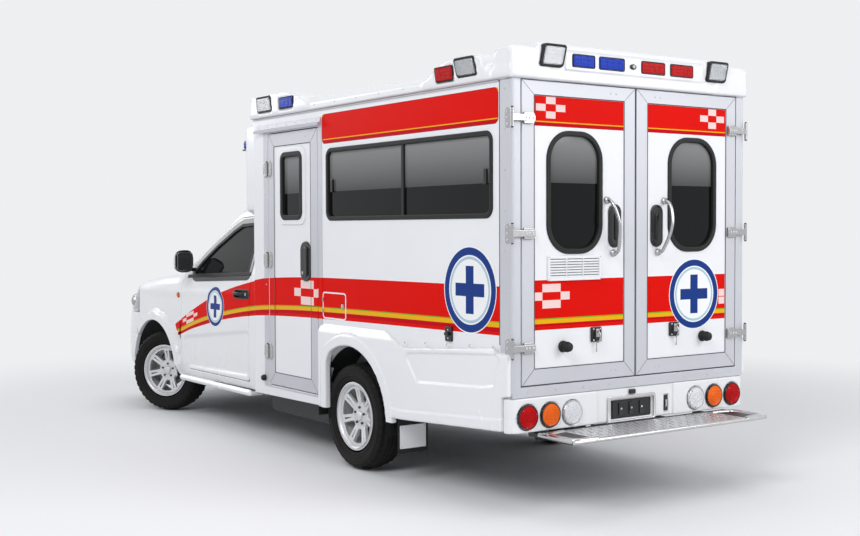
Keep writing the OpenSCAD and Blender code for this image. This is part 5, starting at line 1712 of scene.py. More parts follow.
@dataclass
class BoxBody:
    """Side walls, floor, bulkhead, corner posts, gutters and fixed windows."""

    out: float = 0.862
    thick: float = 0.042
    x_rear: float = -2.596
    x_front: float = 0.278
    window: tuple[float, float, float, float] = (-2.436, -0.734, 1.535, 1.983)
    door: tuple[float, float, float, float] = (-0.618, 0.050, 0.421, 2.125)
    flap: tuple[float, float, float, float] = (-0.956, -0.688, 0.922, 1.074)
    arch: tuple[float, float, float] = (-1.020, 0.328, 0.433)

    def build(self) -> None:
        """Make the body's fixed pieces."""
        for side, tag, facing in ((1, "left", Facing.LEFT), (-1, "right", Facing.RIGHT)):
            self.wall_piece(side, tag, facing)
            self.trims(side, tag, facing)
            self.window_piece(side, tag, facing)
        self.posts()
        self.partition()

    def outline(self) -> Points:
        """Give the side wall's outline, cut round the wheel."""
        cu, cv, radius = self.arch
        reach = math.asin((0.60 - cv) / radius)
        arch = [(cu + radius * math.cos(a), cv + radius * math.sin(a))
                for a in np.linspace(math.pi - reach, reach, 36)]
        return np.array([(-2.538, 0.60), *arch, (-0.738, 0.60), (-0.648, 0.352), (0.278, 0.340),
                         (0.278, 2.243), (-2.538, 2.243)])

    def wall_piece(self, side: int, tag: str, facing: Facing) -> None:
        """Make one side wall with its films."""
        shell = Shell()
        x0, x1, z0, z1 = self.window
        holes = [rounded(x0, x1, z0, z1, 0.055)]
        if side > 0:
            holes.append(rounded(self.door[0] - 0.006, self.door[1] + 0.006, self.door[2] - 0.006,
                                 self.door[3] + 0.006, 0.008))
            holes.append(rounded(self.flap[0] - 0.006, self.flap[1] + 0.006, self.flap[2] - 0.006,
                                 self.flap[3] + 0.006, 0.02))
        shell.skin(self.outline(), flat(facing, self.out * side), PANEL, holes=holes,
                   marks=[*LIVERY.on_side(), *self.banner()],
                   lip=0.002, depth=self.thick - 0.001, back=LINING, wall=PANEL)
        shell.make(f"wall_panel_{tag}", replaces=(f"{tag}_wall",))

    @staticmethod
    def banner() -> list[tuple[Finish, Points]]:
        """Give the plain red banner under the roof with its fine lines."""
        return [
            (SEAM, rounded(-2.486, -0.678, 2.016, 2.204, 0.034)),
            (CRIMSON, rounded(-2.484, -0.680, 2.018, 2.202, 0.032)),
            (YELLOW, rounded(-2.484, -0.680, 2.040, 2.2019, 0.012)),
            (RED, rounded(-2.484, -0.680, 2.046, 2.202, 0.030)),
            (RED, rounded(-2.484, -0.680, 2.046, 2.12, 0.001)),
        ]

    def trims(self, side: int, tag: str, facing: Facing) -> None:
        """Make the corner strip, the frame round the side door, the gutter and their screws."""
        shell = Shell()
        proud = flat(facing, (self.out + 0.004) * side)
        shell.skin(rounded(-2.583, -2.500, 0.60, 2.236), proud, ALUMINIUM, lip=0.003, depth=0.01)
        shell.skin(rounded(-2.500, -2.492, 0.88, 2.236), flat(facing, (self.out + 0.002) * side), SEAM,
                   lip=0.001, depth=0.006)
        screws(shell, [(-2.541, z) for z in np.linspace(0.95, 2.19, 7)], proud)
        shell.tube([(-2.49, (self.out + 0.004) * side, 2.234), (0.27, (self.out + 0.004) * side, 2.234)],
                   0.005, ALUMINIUM, 8)
        if side > 0:
            frame_out = rounded(-0.678, 0.124, 0.40, 2.19, 0.004)
            frame_in = rounded(-0.626, 0.058, 0.413, 2.133, 0.006)
            marks = LIVERY.side_marks()
            shell.skin(frame_out, flat(facing, self.out + 0.003), ALUMINIUM, holes=[frame_in], marks=marks,
                       lip=0.002, depth=0.012)
            screws(shell, [(-0.652, z) for z in (0.55, 0.84, 1.30, 1.60, 1.90, 2.10)],
                   flat(facing, self.out + 0.003))
            screws(shell, [(0.092, z) for z in (0.84, 1.10, 1.50, 1.72, 2.08)],
                   flat(facing, self.out + 0.003))
            gutter = [(self.out, 2.142), (self.out + 0.030, 2.136), (self.out + 0.033, 2.150),
                      (self.out + 0.016, 2.160), (self.out + 0.012, 2.186), (self.out, 2.190)]
            self.sweep_x(shell, gutter, -0.676, 0.215, ALUMINIUM)
            screws(shell, [(x, 2.174) for x in np.linspace(-0.63, 0.17, 7)], flat(facing, self.out + 0.014),
                   radius=0.0045)
            stop = np.array([0.121, self.out + 0.003, 0.457])
            shell.revolve([(0, 0.022), (0.018, 0.020), (0.026, 0.014), (0.026, 0.0005)], stop, (0, 1, 0),
                          RUBBER, 20, 50)
            catch = flat(facing, self.out + 0.012)
            shell.skin(rounded(-2.085, -2.023, 0.867, 0.949, 0.008), catch, GLOSS_BLACK, lip=0.005,
                       depth=0.014)
            screws(shell, [(-2.054, 0.885), (-2.054, 0.931)], catch)
            shell.block((-2.070, self.out + 0.012, 0.900), (-2.038, self.out + 0.030, 0.918), 0.005,
                        GLOSS_BLACK)
        else:
            frame_strip = rounded(0.070, 0.124, 0.352, 2.236)
            shell.skin(frame_strip, flat(facing, -self.out - 0.003), ALUMINIUM, marks=LIVERY.side_marks(),
                       lip=0.002, depth=0.01)
            screws(shell, [(0.097, z) for z in np.linspace(0.6, 2.1, 6)], flat(facing, -self.out - 0.003))
        shell.make(f"wall_trim_{tag}", slot="satin_aluminium")

    @staticmethod
    def sweep_x(shell: Shell, section: Sequence[tuple[float, float]], x0: float, x1: float,
                finish: Finish) -> None:
        """Draw a (y, z) section out along X with flat faces and closed ends."""
        loop = turned_left(np.array(section, float))
        for a, b in zip(loop, np.roll(loop, -1, 0)):
            way = unit(np.array([0.0, b[1] - a[1], a[0] - b[0]]))
            corners = np.array([(x0, *a), (x0, *b), (x1, *b), (x1, *a)])
            shell.add(corners, np.tile(way, (4, 1)), [(0, 1, 2, 3)], finish)
        for x, way in ((x0, -1.0), (x1, 1.0)):
            uv, faces = Shell._fill([loop], [], None)
            shell.add(np.column_stack([np.full(len(uv), x), uv]), np.tile((way, 0.0, 0.0), (len(uv), 1)),
                      faces, finish)

    def window_piece(self, side: int, tag: str, facing: Facing) -> None:
        """Make one sliding side window: rubber, two panes, divider and latches."""
        x0, x1, z0, z1 = self.window
        outer = rounded(x0, x1, z0, z1, 0.055, 8)
        shell = Shell()
        Window(outer, facing, self.out * side, 0.024, 0.007).add_rubber(shell)
        at = self.out * side
        middle = -1.600
        y0, y1 = sorted((at - 0.022 * side, at + 0.004 * side))
        shell.block((middle - 0.013, y0, z0 + 0.02), (middle + 0.013, y1, z1 - 0.02), 0.003, RUBBER)
        for x in (x0 + 0.05, x1 - 0.075):
            y0, y1 = sorted((at - 0.010 * side, at + 0.004 * side))
            shell.block((x, y0, 1.71), (x + 0.026, y1, 1.79), 0.004, GLOSS_BLACK)
        shell.make(f"window_rubber_{tag}", slot="black_rubber",
                   replaces=("fixed_windows",) if side > 0 else ())
        glass = Shell()
        for low, high, deep in ((x0 + 0.012, middle + 0.010, 0.008), (middle - 0.010, x1 - 0.012, 0.012)):
            glass.skin(rounded(low, high, z0 + 0.012, z1 - 0.012, 0.045), flat(facing, at - deep * side),
                       GLASS, lip=0.001, depth=0.004)
        glass.make(f"window_panes_{tag}")

    def posts(self) -> None:
        """Make the rear door frame with its corner posts, its threshold and the fixed hinge halves."""
        shell = Shell()
        frame_outline = np.array([(-0.862, 0.612), (0.862, 0.612), (0.862, 2.243), (0.806, 2.243),
                                  (0.806, 0.667), (-0.806, 0.667), (-0.806, 2.243), (-0.862, 2.243)])
        shell.skin(frame_outline, flat(Facing.REAR, self.x_rear), ALUMINIUM, lip=0.002, depth=0.058)
        for side in (1, -1):
            shell.tube([(self.x_rear + 0.010, 0.856 * side, 0.64),
                        (self.x_rear + 0.010, 0.856 * side, 2.235)], 0.0125, ALUMINIUM, 12)
            shell.skin(rounded(*span(side, 0.793, 0.806), 0.68, 2.23),
                       flat(Facing.REAR, self.x_rear + 0.010), RUBBER, lip=0.002, depth=0.02)
            for z in (0.867, 1.453, 2.040):
                self.fixed_hinge(shell, side, z)
        shell.skin(rounded(-0.800, 0.800, 2.214, 2.243), flat(Facing.REAR, self.x_rear + 0.046), ALUMINIUM,
                   lip=0.002, depth=0.02)
        screws(shell, [(y, 0.640) for y in np.linspace(-0.76, 0.76, 9)],
               flat(Facing.REAR, self.x_rear - 0.0005))
        shell.make("rear_door_frame", replaces=("rear_frame",))

    def fixed_hinge(self, shell: Shell, side: int, z: float) -> None:
        """Add the body's half of one rear hinge.

        Args:
            shell: what it is added to.
            side: 1 on the left, -1 on the right.
            z: its middle height.
        """
        facing = Facing.LEFT if side > 0 else Facing.RIGHT
        leaf = rounded(-2.592, -2.546, z - 0.050, z + 0.050, 0.012)
        surface = flat(facing, 0.870 * side)
        shell.skin(leaf, surface, CHROME, lip=0.003, depth=0.010)
        screws(shell, [(-2.565, z - 0.032), (-2.565, z), (-2.565, z + 0.032)], surface, radius=0.007)
        for low in (-0.048, 0.0188):
            shell.tube([(PIN_X, PIN_Y * side, z + low), (PIN_X, PIN_Y * side, z + low + 0.0292)], 0.0092,
                       CHROME, 16)
        shell.tube([(PIN_X, PIN_Y * side, z + 0.048), (PIN_X, PIN_Y * side, z + 0.054)], 0.0065, RUBBER, 12)
        shell.tube([(PIN_X, PIN_Y * side, z - 0.054), (PIN_X, PIN_Y * side, z - 0.048)], 0.0065, RUBBER, 12)

    def partition(self) -> None:
        """Make the bulkhead panes, and finish the bulkhead and the floor that the frame gives."""
        shell = Shell()
        pane = rounded(-0.26, 0.26, 1.23, 1.48, 0.05)
        Window(pane, Facing.FRONT, self.x_front, 0.018, 0.004).add_rubber(shell)
        Window(rounded(-0.52, 0.52, 1.20, 1.50, 0.06), Facing.REAR, 0.286, 0.016, 0.003).add_rubber(shell)
        shell.make("partition_rubber", slot="black_rubber")
        glass = Shell()
        Window(pane, Facing.FRONT, self.x_front, 0.018, 0.004).add_glass(glass)
        Window(rounded(-0.52, 0.52, 1.20, 1.50, 0.06), Facing.REAR, 0.286, 0.016, 0.003).add_glass(glass)
        glass.make("partition_panes")
        dress_node("bulkhead", PANEL)
        dress_node("box_floor", FLOOR)


@dataclass
class Skirts:
    """The lower mouldings with the flares of the rear wheel arches, and the fuel flap."""

    step: float = 0.0098
    arch: tuple[float, float, float] = (-1.020, 0.328, 0.437)
    leg: float = 0.760

    def build(self) -> None:
        """Make both skirts and the flap."""
        for side, tag in ((1, "left"), (-1, "right")):
            shell = Shell()
            shell.moulded(self.field(side), *box_on(side, (-2.60, 0.855, 0.345), (-0.64, 0.902, 0.94)),
                          self.step, MOULDING)
            path = [(-2.47 + 0.205 * k, 0.8965 * side, 0.858 - 0.009 * k) for k in range(5)]
            for x, y, z in path:
                shell.revolve([(0, 0.008), (0.003, 0.006), (0.0042, 0.0005)],
                              (x, y - 0.012 * side, z + 0.012), (0, side, 0.5), CHROME, 10, 70)
            cu, cv, radius = self.arch
            liner = [(min(cu + (radius - 0.003) * math.cos(a), -0.752),
                      cv + (radius - 0.003) * math.sin(a)) for a in np.radians(np.linspace(188, -6, 34))]
            rows = [np.array([(x, y, z) for x, z in liner]) for y in (0.866 * side, 0.845 * side)]
            ways = np.array([(cu - x, 0, cv - z) for x, z in liner])
            count = len(liner)
            quads = [(k, k + 1, count + k + 1, count + k) for k in range(count - 1)]
            shell.add(np.concatenate(rows), unit(np.tile(ways, (2, 1))), quads, PLASTIC)
            inner = [(cu + (radius - 0.003) * math.cos(a), cv + (radius - 0.003) * math.sin(a))
                     for a in np.radians(np.linspace(188, -6, 34))]
            rows = [np.array([(x, y, z) for x, z in inner]) for y in (0.845 * side, 0.625 * side)]
            shell.add(np.concatenate(rows), unit(np.tile(ways, (2, 1))), quads, PLASTIC)
            shell.make(f"skirt_{tag}", slot="white_moulding", replaces=("skirts",) if side > 0 else ())
        self.flap()

    def field(self, side: int) -> Callable[[Points], Points]:
        """Give the field of one skirt."""
        outline = np.array([
            (-0.652, 0.352), (-0.652, 0.858), (-0.70, 0.905), (-0.989, 0.924), (-1.200, 0.922),
            (-1.330, 0.908), (-1.460, 0.868), (-1.580, 0.812), (-1.640, 0.800), (-2.540, 0.868),
            (-2.590, 0.866), (-2.590, 0.624), (-2.534, 0.612), (-2.532, 0.452), (-1.614, 0.389),
            (-1.470, 0.389), (-1.458, 0.389), (-1.458, 0.30), (-0.765, 0.30), (-0.765, 0.352)])
        recess = fillet([(-2.470, 0.672), (-2.360, 0.655), (-1.765, 0.622), (-1.640, 0.770),
                         (-2.520, 0.832)], 0.035)
        cu, cv, radius = self.arch

        def field(points: Points) -> Points:
            """Give the distance to the skirt."""
            at = points * (1, side, 1)
            plate = prism_field(at, 1, outline, 0.859, 0.889, 0.006)
            away = smooth_max(np.hypot(at[:, 0] - cu, at[:, 2] - cv), at[:, 0] + self.leg + radius, 0.06)
            flare = np.stack([np.abs(away - radius - 0.030) - 0.026, np.abs(at[:, 1] - 0.876) - 0.014], 1)
            flare = np.linalg.norm(np.maximum(flare, 0), axis=1) + np.minimum(flare.max(1), 0) - 0.006
            sill = prism_field(at, 1, np.array([(-2.535, 0.440), (-2.535, 0.500), (-1.60, 0.436),
                                                (-1.50, 0.44), (-1.50, 0.389), (-1.61, 0.389)]), 0.865,
                                                0.894, 0.007)
            whole = smooth_min(smooth_min(plate, flare, 0.012), sill, 0.014)
            sunk = prism_field(at, 1, recess, 0.878, 0.95, 0.006)
            whole = smooth_max(whole, -sunk, 0.016)
            strap = block_field(at, (-2.62, 0.868, 0.836), (-2.471, 0.95, 0.91), 0.004)
            whole = smooth_max(whole, -strap, 0.006)
            slope = (at[:, 2] - 0.835) * 0.5 + (at[:, 1] - 0.886)
            whole = smooth_max(smooth_max(whole, radius - away, 0.004),
                               np.where(away > radius + 0.08, slope, -1.0), 0.006)
            return np.maximum(whole, np.maximum(at[:, 0] + 0.650, 0.352 - at[:, 2]))

        return field

    @staticmethod
    def flap() -> None:
        """Make the fuel flap with its outline and its lock."""
        shell = Shell()
        plate = rounded(-0.956, -0.688, 0.922, 1.074, 0.016)
        surface = flat(Facing.LEFT, 0.863)
        shell.skin(plate, surface, RED, marks=LIVERY.side_marks(), lip=0.002, depth=0.008)
        shell.skin(inset(plate, -0.009), flat(Facing.LEFT, 0.8635), WHITE_FILM, holes=[inset(plate, 0.0)],
                   lip=0.0, depth=0.001, closed=False)
        shell.revolve([(0, 0.017), (0.004, 0.016), (0.006, 0.010), (0.006, 0.0005)], (-0.925, 0.863, 0.998),
                      (0, 1, 0), CHROME, 20, 50)
        for z in (0.962, 1.034):
            shell.tube([(-0.686, 0.867, z - 0.012), (-0.686, 0.867, z + 0.012)], 0.004, CHROME, 10)
        shell.make("fuel_flap_plate", "fuel_flap", slot="red_film", replaces=("fuel_flap",))


@dataclass
class SideDoor:
    """The side door: aluminium frame, white inner panel, framed window, paddle handle and hinges."""

    x0: float = -0.618
    x1: float = 0.050
    z0: float = 0.421
    z1: float = 2.125
    out: float = 0.862

    def build(self) -> None:
        """Make the door and its glass."""
        shell = Shell()
        outer, inner = rounded(self.x0, self.x1, self.z0, self.z1, 0.006), rounded(-0.528, -0.030, 0.508,
                2.036, 0.004)
        face = flat(Facing.LEFT, self.out + 0.002)
        films = [*LIVERY.side_marks(), *LIVERY.checks(*LIVERY.check_door, 0.088, 0.053)]
        shell.skin(outer, face, ALUMINIUM, holes=[inset(inner, 0.002)], marks=films, lip=0.004, depth=0.038,
                   back=ALUMINIUM)
        mid = (self.x0 + self.x1) / 2
        window = rounded(mid - 0.133, mid + 0.133, 1.555, 1.975, 0.04)
        panel = flat(Facing.LEFT, self.out - 0.001)
        shell.skin(inner, panel, PANEL, holes=[window], marks=films, lip=0.001, depth=0.034, back=LINING)
        shell.skin(inset(inner, -0.0035), flat(Facing.LEFT, self.out + 0.0028), SEAM,
                   holes=[inset(inner, 0.001)], lip=0.0, depth=0.002, closed=False)
        for u, v in ((self.x0, self.z0), (self.x1, self.z0), (self.x0, self.z1), (self.x1, self.z1)):
            towards = np.array([-0.528 if u < mid else -0.030, 0.508 if v < 1 else 2.036])
            corner = np.array([u, v])
            run = unit(towards - corner)
            across = np.array([-run[1], run[0]]) * 0.0009
            a, b = corner + run * 0.008, towards - run * 0.004
            shell.skin(np.array([a - across, b - across, b + across, a + across]),
                       flat(Facing.LEFT, self.out + 0.0026), SEAM, lip=0.0, depth=0.0006, closed=False)
        screws(shell, [(x, z) for x in (-0.505, -0.470) for z in (0.465, 2.082)], face)
        shell.make("side_door_panel", "side_door", slot="satin_aluminium", replaces=("side_door",))
        self.trim(window, mid)
        self.fittings()

    def trim(self, window: Points, mid: float) -> None:
        """Make the window's white moulding, its black frame and its pane."""
        shell = Shell()
        moulding = rounded(mid - 0.180, mid + 0.180, 1.508, 2.022, 0.060)
        shell.skin(moulding, flat(Facing.LEFT, self.out + 0.010), MOULDING, holes=[inset(window, -0.010)],
                   lip=0.007, depth=0.012)
        Window(inset(window, -0.012), Facing.LEFT, self.out + 0.006, 0.030, 0.010).add_rubber(shell)
        shell.make("side_door_window_frame", "side_door", slot="black_rubber")
        glass = Shell()
        glass.skin(inset(window, -0.001), flat(Facing.LEFT, self.out - 0.006), GLASS, lip=0.001,
                   depth=0.005)
        glass.make("side_door_pane", "side_door", replaces=("side_door_glass",))

    def fittings(self) -> None:
        """Make the paddle handle and the hinges."""
        shell = Shell()
        handle = rounded(self.x0 + 0.090, self.x0 + 0.222, 1.140, 1.400, 0.060, 8)
        shell.skin(handle, flat(Facing.LEFT, self.out + 0.008), GLOSS_BLACK, lip=0.006, depth=0.008)
        bowl = rounded(self.x0 + 0.108, self.x0 + 0.204, 1.160, 1.380, 0.046, 8)
        shell.skin(bowl, flat(Facing.LEFT, self.out + 0.0095), PLASTIC, lip=0.006, depth=0.004)
        lever = rounded(self.x0 + 0.118, self.x0 + 0.158, 1.175, 1.365, 0.018)
        shell.skin(lever, flat(Facing.LEFT, self.out + 0.020), GLOSS_BLACK, lip=0.007, depth=0.012)
        shell.revolve([(0, 0.012), (0.004, 0.011), (0.005, 0.006), (0.005, 0.0005)],
                      (self.x0 + 0.184, self.out + 0.009, 1.195), (0, 1, 0), CHROME, 20, 50)
        shell.make("side_door_handle", "side_door", slot="black_plastic")
        hinge = Shell()
        body = Shell()
        for z in (0.645, 1.269, 1.888):
            surface = flat(Facing.LEFT, 0.870)
            hinge.skin(fillet([(0.052, z - 0.056), (0.052, z + 0.056), (0.022, z + 0.056),
                               (0.002, z + 0.034), (0.002, z - 0.034), (0.022, z - 0.056)], 0.010),
                       surface, CHROME, lip=0.003, depth=0.008)
            screws(hinge, [(0.032, z - 0.040), (0.018, z), (0.032, z + 0.040)], surface, CHROME, 0.007)
            hinge.tube([(SIDE_PIN_X, PIN_Y, z - 0.018), (SIDE_PIN_X, PIN_Y, z + 0.018)], 0.0092, CHROME, 16)
            body.skin(fillet([(0.072, z - 0.056), (0.102, z - 0.056), (0.122, z - 0.034),
                              (0.122, z + 0.034), (0.102, z + 0.056), (0.072, z + 0.056)], 0.010),
                      surface, CHROME, lip=0.003, depth=0.008)
            screws(body, [(0.092, z - 0.040), (0.106, z), (0.092, z + 0.040)], surface, CHROME, 0.007)
            for low in (-0.048, 0.0188):
                body.tube([(SIDE_PIN_X, PIN_Y, z + low), (SIDE_PIN_X, PIN_Y, z + low + 0.0292)], 0.0092,
                          CHROME, 16)
            body.tube([(SIDE_PIN_X, PIN_Y, z + 0.048), (SIDE_PIN_X, PIN_Y, z + 0.054)], 0.0065, RUBBER, 12)
        hinge.make("side_door_hinges", "side_door")
        body.make("side_post_hinges")


@dataclass
class RearDoors:
    """The pair of rear doors with oval windows."""

    x: float = -2.596
    outer: float = 0.800
    inner: float = 0.006
    z0: float = 0.673
    z1: float = 2.235
    oval: tuple[float, float, float, float] = (0.250, 0.632, 1.348, 1.983)

    def build(self) -> None:
        """Make both doors."""
        for side, tag in ((1, "left"), (-1, "right")):
            self.leaf(side, tag)
            self.window(side, tag)
            self.fittings(side, tag)

    @staticmethod
    def across(side: int, low: float, high: float, z0: float, z1: float, radius: float = 0.0,
               steps: int = 6) -> Points:
        """Give a rectangle on one door."""
        return rounded(*span(side, low, high), z0, z1, radius, steps)

    def leaf(self, side: int, tag: str) -> None:
        """Make one door's aluminium frame and its white panel."""
        shell = Shell()
        outer = self.across(side, self.inner, self.outer, self.z0, self.z1, 0.004)
        inner = self.across(side, 0.089, 0.717, 0.757, 2.160, 0.004)
        hole = self.across(side, *self.oval, 0.150, 10)
        films = LIVERY.on_back(side)
        face = flat(Facing.REAR, self.x - 0.001)
        shell.skin(outer, face, ALUMINIUM, holes=[inset(inner, 0.002)], lip=0.004, depth=0.038,
                   back=ALUMINIUM)
        shell.skin(inner, flat(Facing.REAR, self.x + 0.0015), PANEL, holes=[hole], marks=films, lip=0.001,
                   depth=0.034, back=LINING)
        shell.skin(inset(inner, -0.0035), flat(Facing.REAR, self.x - 0.0018), SEAM,
                   holes=[inset(inner, 0.001)], lip=0.0, depth=0.002, closed=False)
        for u, v in ((self.inner, self.z0), (self.outer, self.z0), (self.inner, self.z1),
                     (self.outer, self.z1)):
            corner = np.array([u * side, v])
            towards = np.array([(0.089 if u < 0.4 else 0.717) * side, 0.757 if v < 1 else 2.160])
            run = unit(towards - corner)
            wide = np.array([-run[1], run[0]]) * 0.0009
            a, b = corner + run * 0.008, towards - run * 0.004
            shell.skin(np.array([a - wide, b - wide, b + wide, a + wide]),
                       flat(Facing.REAR, self.x - 0.0017), SEAM, lip=0.0, depth=0.0006, closed=False)
        spots = [(y * side, z) for y in (0.146, 0.186) for z in (0.714, 2.198)]
        screws(shell, spots, face)
        seal = self.across(side, 0.0, 0.005, self.z0 + 0.01, self.z1 - 0.01)
        shell.skin(seal, flat(Facing.REAR, self.x + 0.008), RUBBER, lip=0.0, depth=0.02)
        shell.make(f"rear_leaf_{tag}", f"rear_door_{tag}", slot="satin_aluminium",
                   replaces=(f"rear_door_{tag}",))

    def window(self, side: int, tag: str) -> None:
        """Make one oval window."""
        hole = self.across(side, *self.oval, 0.150, 10)
        rubber = Shell()
        shape = Window(hole, Facing.REAR, self.x, 0.024, 0.007)
        shape.add_rubber(rubber)
        rubber.make(f"rear_rubber_{tag}", f"rear_door_{tag}", slot="black_rubber")
        glass = Shell()
        shape.add_glass(glass)
        glass.make(f"rear_pane_{tag}", f"rear_door_{tag}", replaces=(f"rear_glass_{tag}",))

    def fittings(self, side: int, tag: str) -> None:
        """Make one door's grab rail, catch plate, hinge straps, vent and buffer."""
        body = f"rear_door_{tag}"
        rail = Shell()
        path = [(self.x, 0.168, 1.345), (self.x - 0.030, 0.168, 1.348), (self.x - 0.050, 0.172, 1.375),
                (self.x - 0.072, 0.188, 1.44),
                (self.x - 0.082, 0.200, 1.51), (self.x - 0.062, 0.212, 1.585),
                (self.x - 0.034, 0.216, 1.622), (self.x, 0.216, 1.628)]
        rail.tube([(x, y * side, z) for x, y, z in path], 0.0095, CHROME, 14, 5)
        for y, z in ((0.168, 1.345), (0.216, 1.628)):
            rail.revolve([(0, 0.020), (0.006, 0.0195), (0.014, 0.017), (0.022, 0.0005)],
                         (self.x - 0.001, y * side, z), (-1, 0, 0), CHROME, 20, 50)
        rail.make(f"grab_rail_{tag}", body)
        plate = Shell()
        outline = self.across(side, 0.112, 0.204, 1.374, 1.608, 0.044, 8)
        plate.skin(outline, flat(Facing.REAR, self.x - 0.008), GLOSS_BLACK, lip=0.006, depth=0.008)
        plate.skin(inset(outline, 0.014), flat(Facing.REAR, self.x - 0.0095), PLASTIC, lip=0.004,
                   depth=0.004)
        lever = self.across(side, 0.136, 0.168, 1.415, 1.560, 0.015)
        plate.skin(lever, flat(Facing.REAR, self.x - 0.018), GLOSS_BLACK, lip=0.006, depth=0.010)
        plate.make(f"rear_handle_{tag}", body, slot="black_plastic")
        hinge = Shell()
        strap_face = flat(Facing.REAR, self.x - 0.023)
        for z in (0.867, 1.453, 2.040):
            hinge.skin(self.across(side, 0.726, 0.850, z - 0.0175, z + 0.0175, 0.006), strap_face, CHROME,
                       lip=0.003, depth=0.007)
            hinge.skin(self.across(side, 0.726, 0.796, z - 0.030, z + 0.030, 0.010),
                       flat(Facing.REAR, self.x - 0.016), CHROME, lip=0.004, depth=0.016)
            screws(hinge, [(0.742 * side, z), (0.766 * side, z), (0.786 * side, z)], strap_face,
                   radius=0.007)
            hinge.tube([(PIN_X, PIN_Y * side, z - 0.018), (PIN_X, PIN_Y * side, z + 0.018)], 0.0092, CHROME,
                       16)
            hinge.block(*box_on(side, (-2.620, 0.832, z - 0.0175), (-2.613, 0.872, z + 0.0175)), 0.002,
                        CHROME)
        hinge.make(f"rear_hinges_{tag}", body)
        if side > 0:
            self.vent(body)
        catch = Shell()
        surface = flat(Facing.REAR, self.x - 0.012)
        catch.skin(self.across(side, 0.258, 0.330, 0.874, 0.953, 0.006), surface, GLOSS_BLACK, lip=0.005,
                   depth=0.012)
        screws(catch, [((0.270 + 0.048 * k) * side, z) for k in (0, 1) for z in (0.884, 0.943)], surface)
        catch.skin(self.across(side, 0.281, 0.306, 0.900, 0.944, 0.004), flat(Facing.REAR, self.x - 0.020),
                   CHROME, lip=0.003, depth=0.008)
        hook = [(self.x - 0.014, 0.294, 0.936), (self.x - 0.034, 0.294, 0.922),
                (self.x - 0.036, 0.294, 0.890), (self.x - 0.020, 0.294, 0.872)]
        catch.tube([(x, y * side, z) for x, y, z in hook], 0.0050, CHROME, 8, 3)
        pin = [(self.x - 0.018, 0.300, 0.880), (self.x - 0.016, 0.302, 0.850),
               (self.x - 0.014, 0.300, 0.822)]
        catch.tube([(x, y * side, z) for x, y, z in pin], [0.0025, 0.0025, 0.0045], CHROME, 8, 3)
        catch.revolve([(0, 0.031), (0.012, 0.030), (0.016, 0.025), (0.030, 0.025), (0.034, 0.028),
                       (0.040, 0.028), (0.044, 0.024), (0.056, 0.023),
                       (0.060, 0.019), (0.060, 0.0005)], (self.x, 0.525 * side, 0.862), (-1, 0, 0), RUBBER,
                       24, 50)
        catch.make(f"rear_catch_{tag}", body, slot="black_plastic")

    def vent(self, body: str) -> None:
        """Make the white louvred vent under the left window."""
        shell = Shell()
        outer = rounded(0.262, 0.630, 1.206, 1.336, 0.006)
        inner = rounded(0.276, 0.616, 1.222, 1.320, 0.003)
        columns = [rounded(0.276 + 0.1153 * k, 0.385 + 0.1153 * k, 1.222, 1.320, 0.003) for k in range(3)]
        shell.skin(outer, flat(Facing.REAR, self.x - 0.010), MOULDING, holes=columns, lip=0.003,
                   depth=0.011)
        # Painted shade: a dark sheet in the seam finish closes the vent behind its slats and stands for the
        # shade inside it.
        shell.skin(inner, flat(Facing.REAR, self.x - 0.0005), SEAM, lip=0.0, depth=0.001, closed=False)
        for k in range(7):
            z = 1.2225 + k * 0.0140
            corners = np.array([(self.x - 0.003, 0.276, z + 0.0098), (self.x - 0.003, 0.616, z + 0.0098),
                                (self.x - 0.009, 0.616, z), (self.x - 0.009, 0.276, z)])
            shell.add(corners, np.tile(unit(np.array([-0.9, 0, 0.45])), (4, 1)), [(0, 1, 2, 3)], MOULDING)
            shell.add(corners + (0.001, 0, -0.001), np.tile(unit(np.array([0.9, 0, -0.45])), (4, 1)),
                      [(0, 1, 2, 3)], MOULDING)
        screws(shell, [(y, z) for y in (0.268, 0.624) for z in (1.213, 1.329)],
               flat(Facing.REAR, self.x - 0.010), radius=0.004)
        shell.make("rear_vent", body, slot="white_moulding")


# ---------------------------------------------------------------- roof


@dataclass
class LampBar:
    """A row lamp: lens over a ribbed body, in a thick black bezel."""

    low: tuple[float, float]
    high: tuple[float, float]
    lens: Finish
    bezel: float = 0.005
    lean: float = 0.0
    proud: float = 0.010

    def add(self, bezel: Shell, lens: Shell, facing: Facing, at: float, sign: float) -> None:
        """Add the bezel and the lens.

        Args:
            bezel: gathers the bezels.
            lens: gathers the lenses.
            facing: which way it looks.
            at: the surface that it stands on.
            sign: 1 where the facing's axis is positive.
        """
        (u0, v0), (u1, v1) = self.low, self.high

        def leant(outline: Points) -> Points:
            """Lean an outline with its height."""
            return outline + np.column_stack([(outline[:, 1] - (v0 + v1) / 2) * self.lean,
                                              np.zeros(len(outline))])

        outer = leant(rounded(u0 - self.bezel, u1 + self.bezel, v0 - self.bezel, v1 + self.bezel,
                              0.006 + self.bezel))
        inner = leant(rounded(u0, u1, v0, v1, 0.006 + self.bezel / 2))
        bezel.skin(outer, flat(facing, at + sign * self.proud), RUBBER, holes=[inner],
                   lip=min(0.006, self.bezel * 0.45), depth=self.proud + 0.010)
        clear = self.lens is LENS
        bezel.skin(inner, flat(facing, at + sign * (self.proud - 0.012)),
                   REFLECTOR if clear else GLOSS_BLACK, lip=0.0, depth=0.002, closed=False)
        lens.skin(inset(inner, 0.001), flat(facing, at + sign * (self.proud + (0.004 if clear else 0.001))),
                  self.lens, lip=0.004, depth=0.008)
        if clear:
            return
        count = max(2, int((u1 - u0) / 0.040))
        for k in range(count):
            u = u0 + 0.006 + (u1 - u0 - 0.012) * (k + 0.5) / count
            wide = (u1 - u0) / count * 0.42
            lens.skin(leant(rounded(u - wide, u + wide, v0 + 0.007, v1 - 0.007, 0.003, 2)),
                      flat(facing, at + sign * (self.proud + 0.002)), self.lens,
                      lip=0.001, depth=0.002, closed=False)


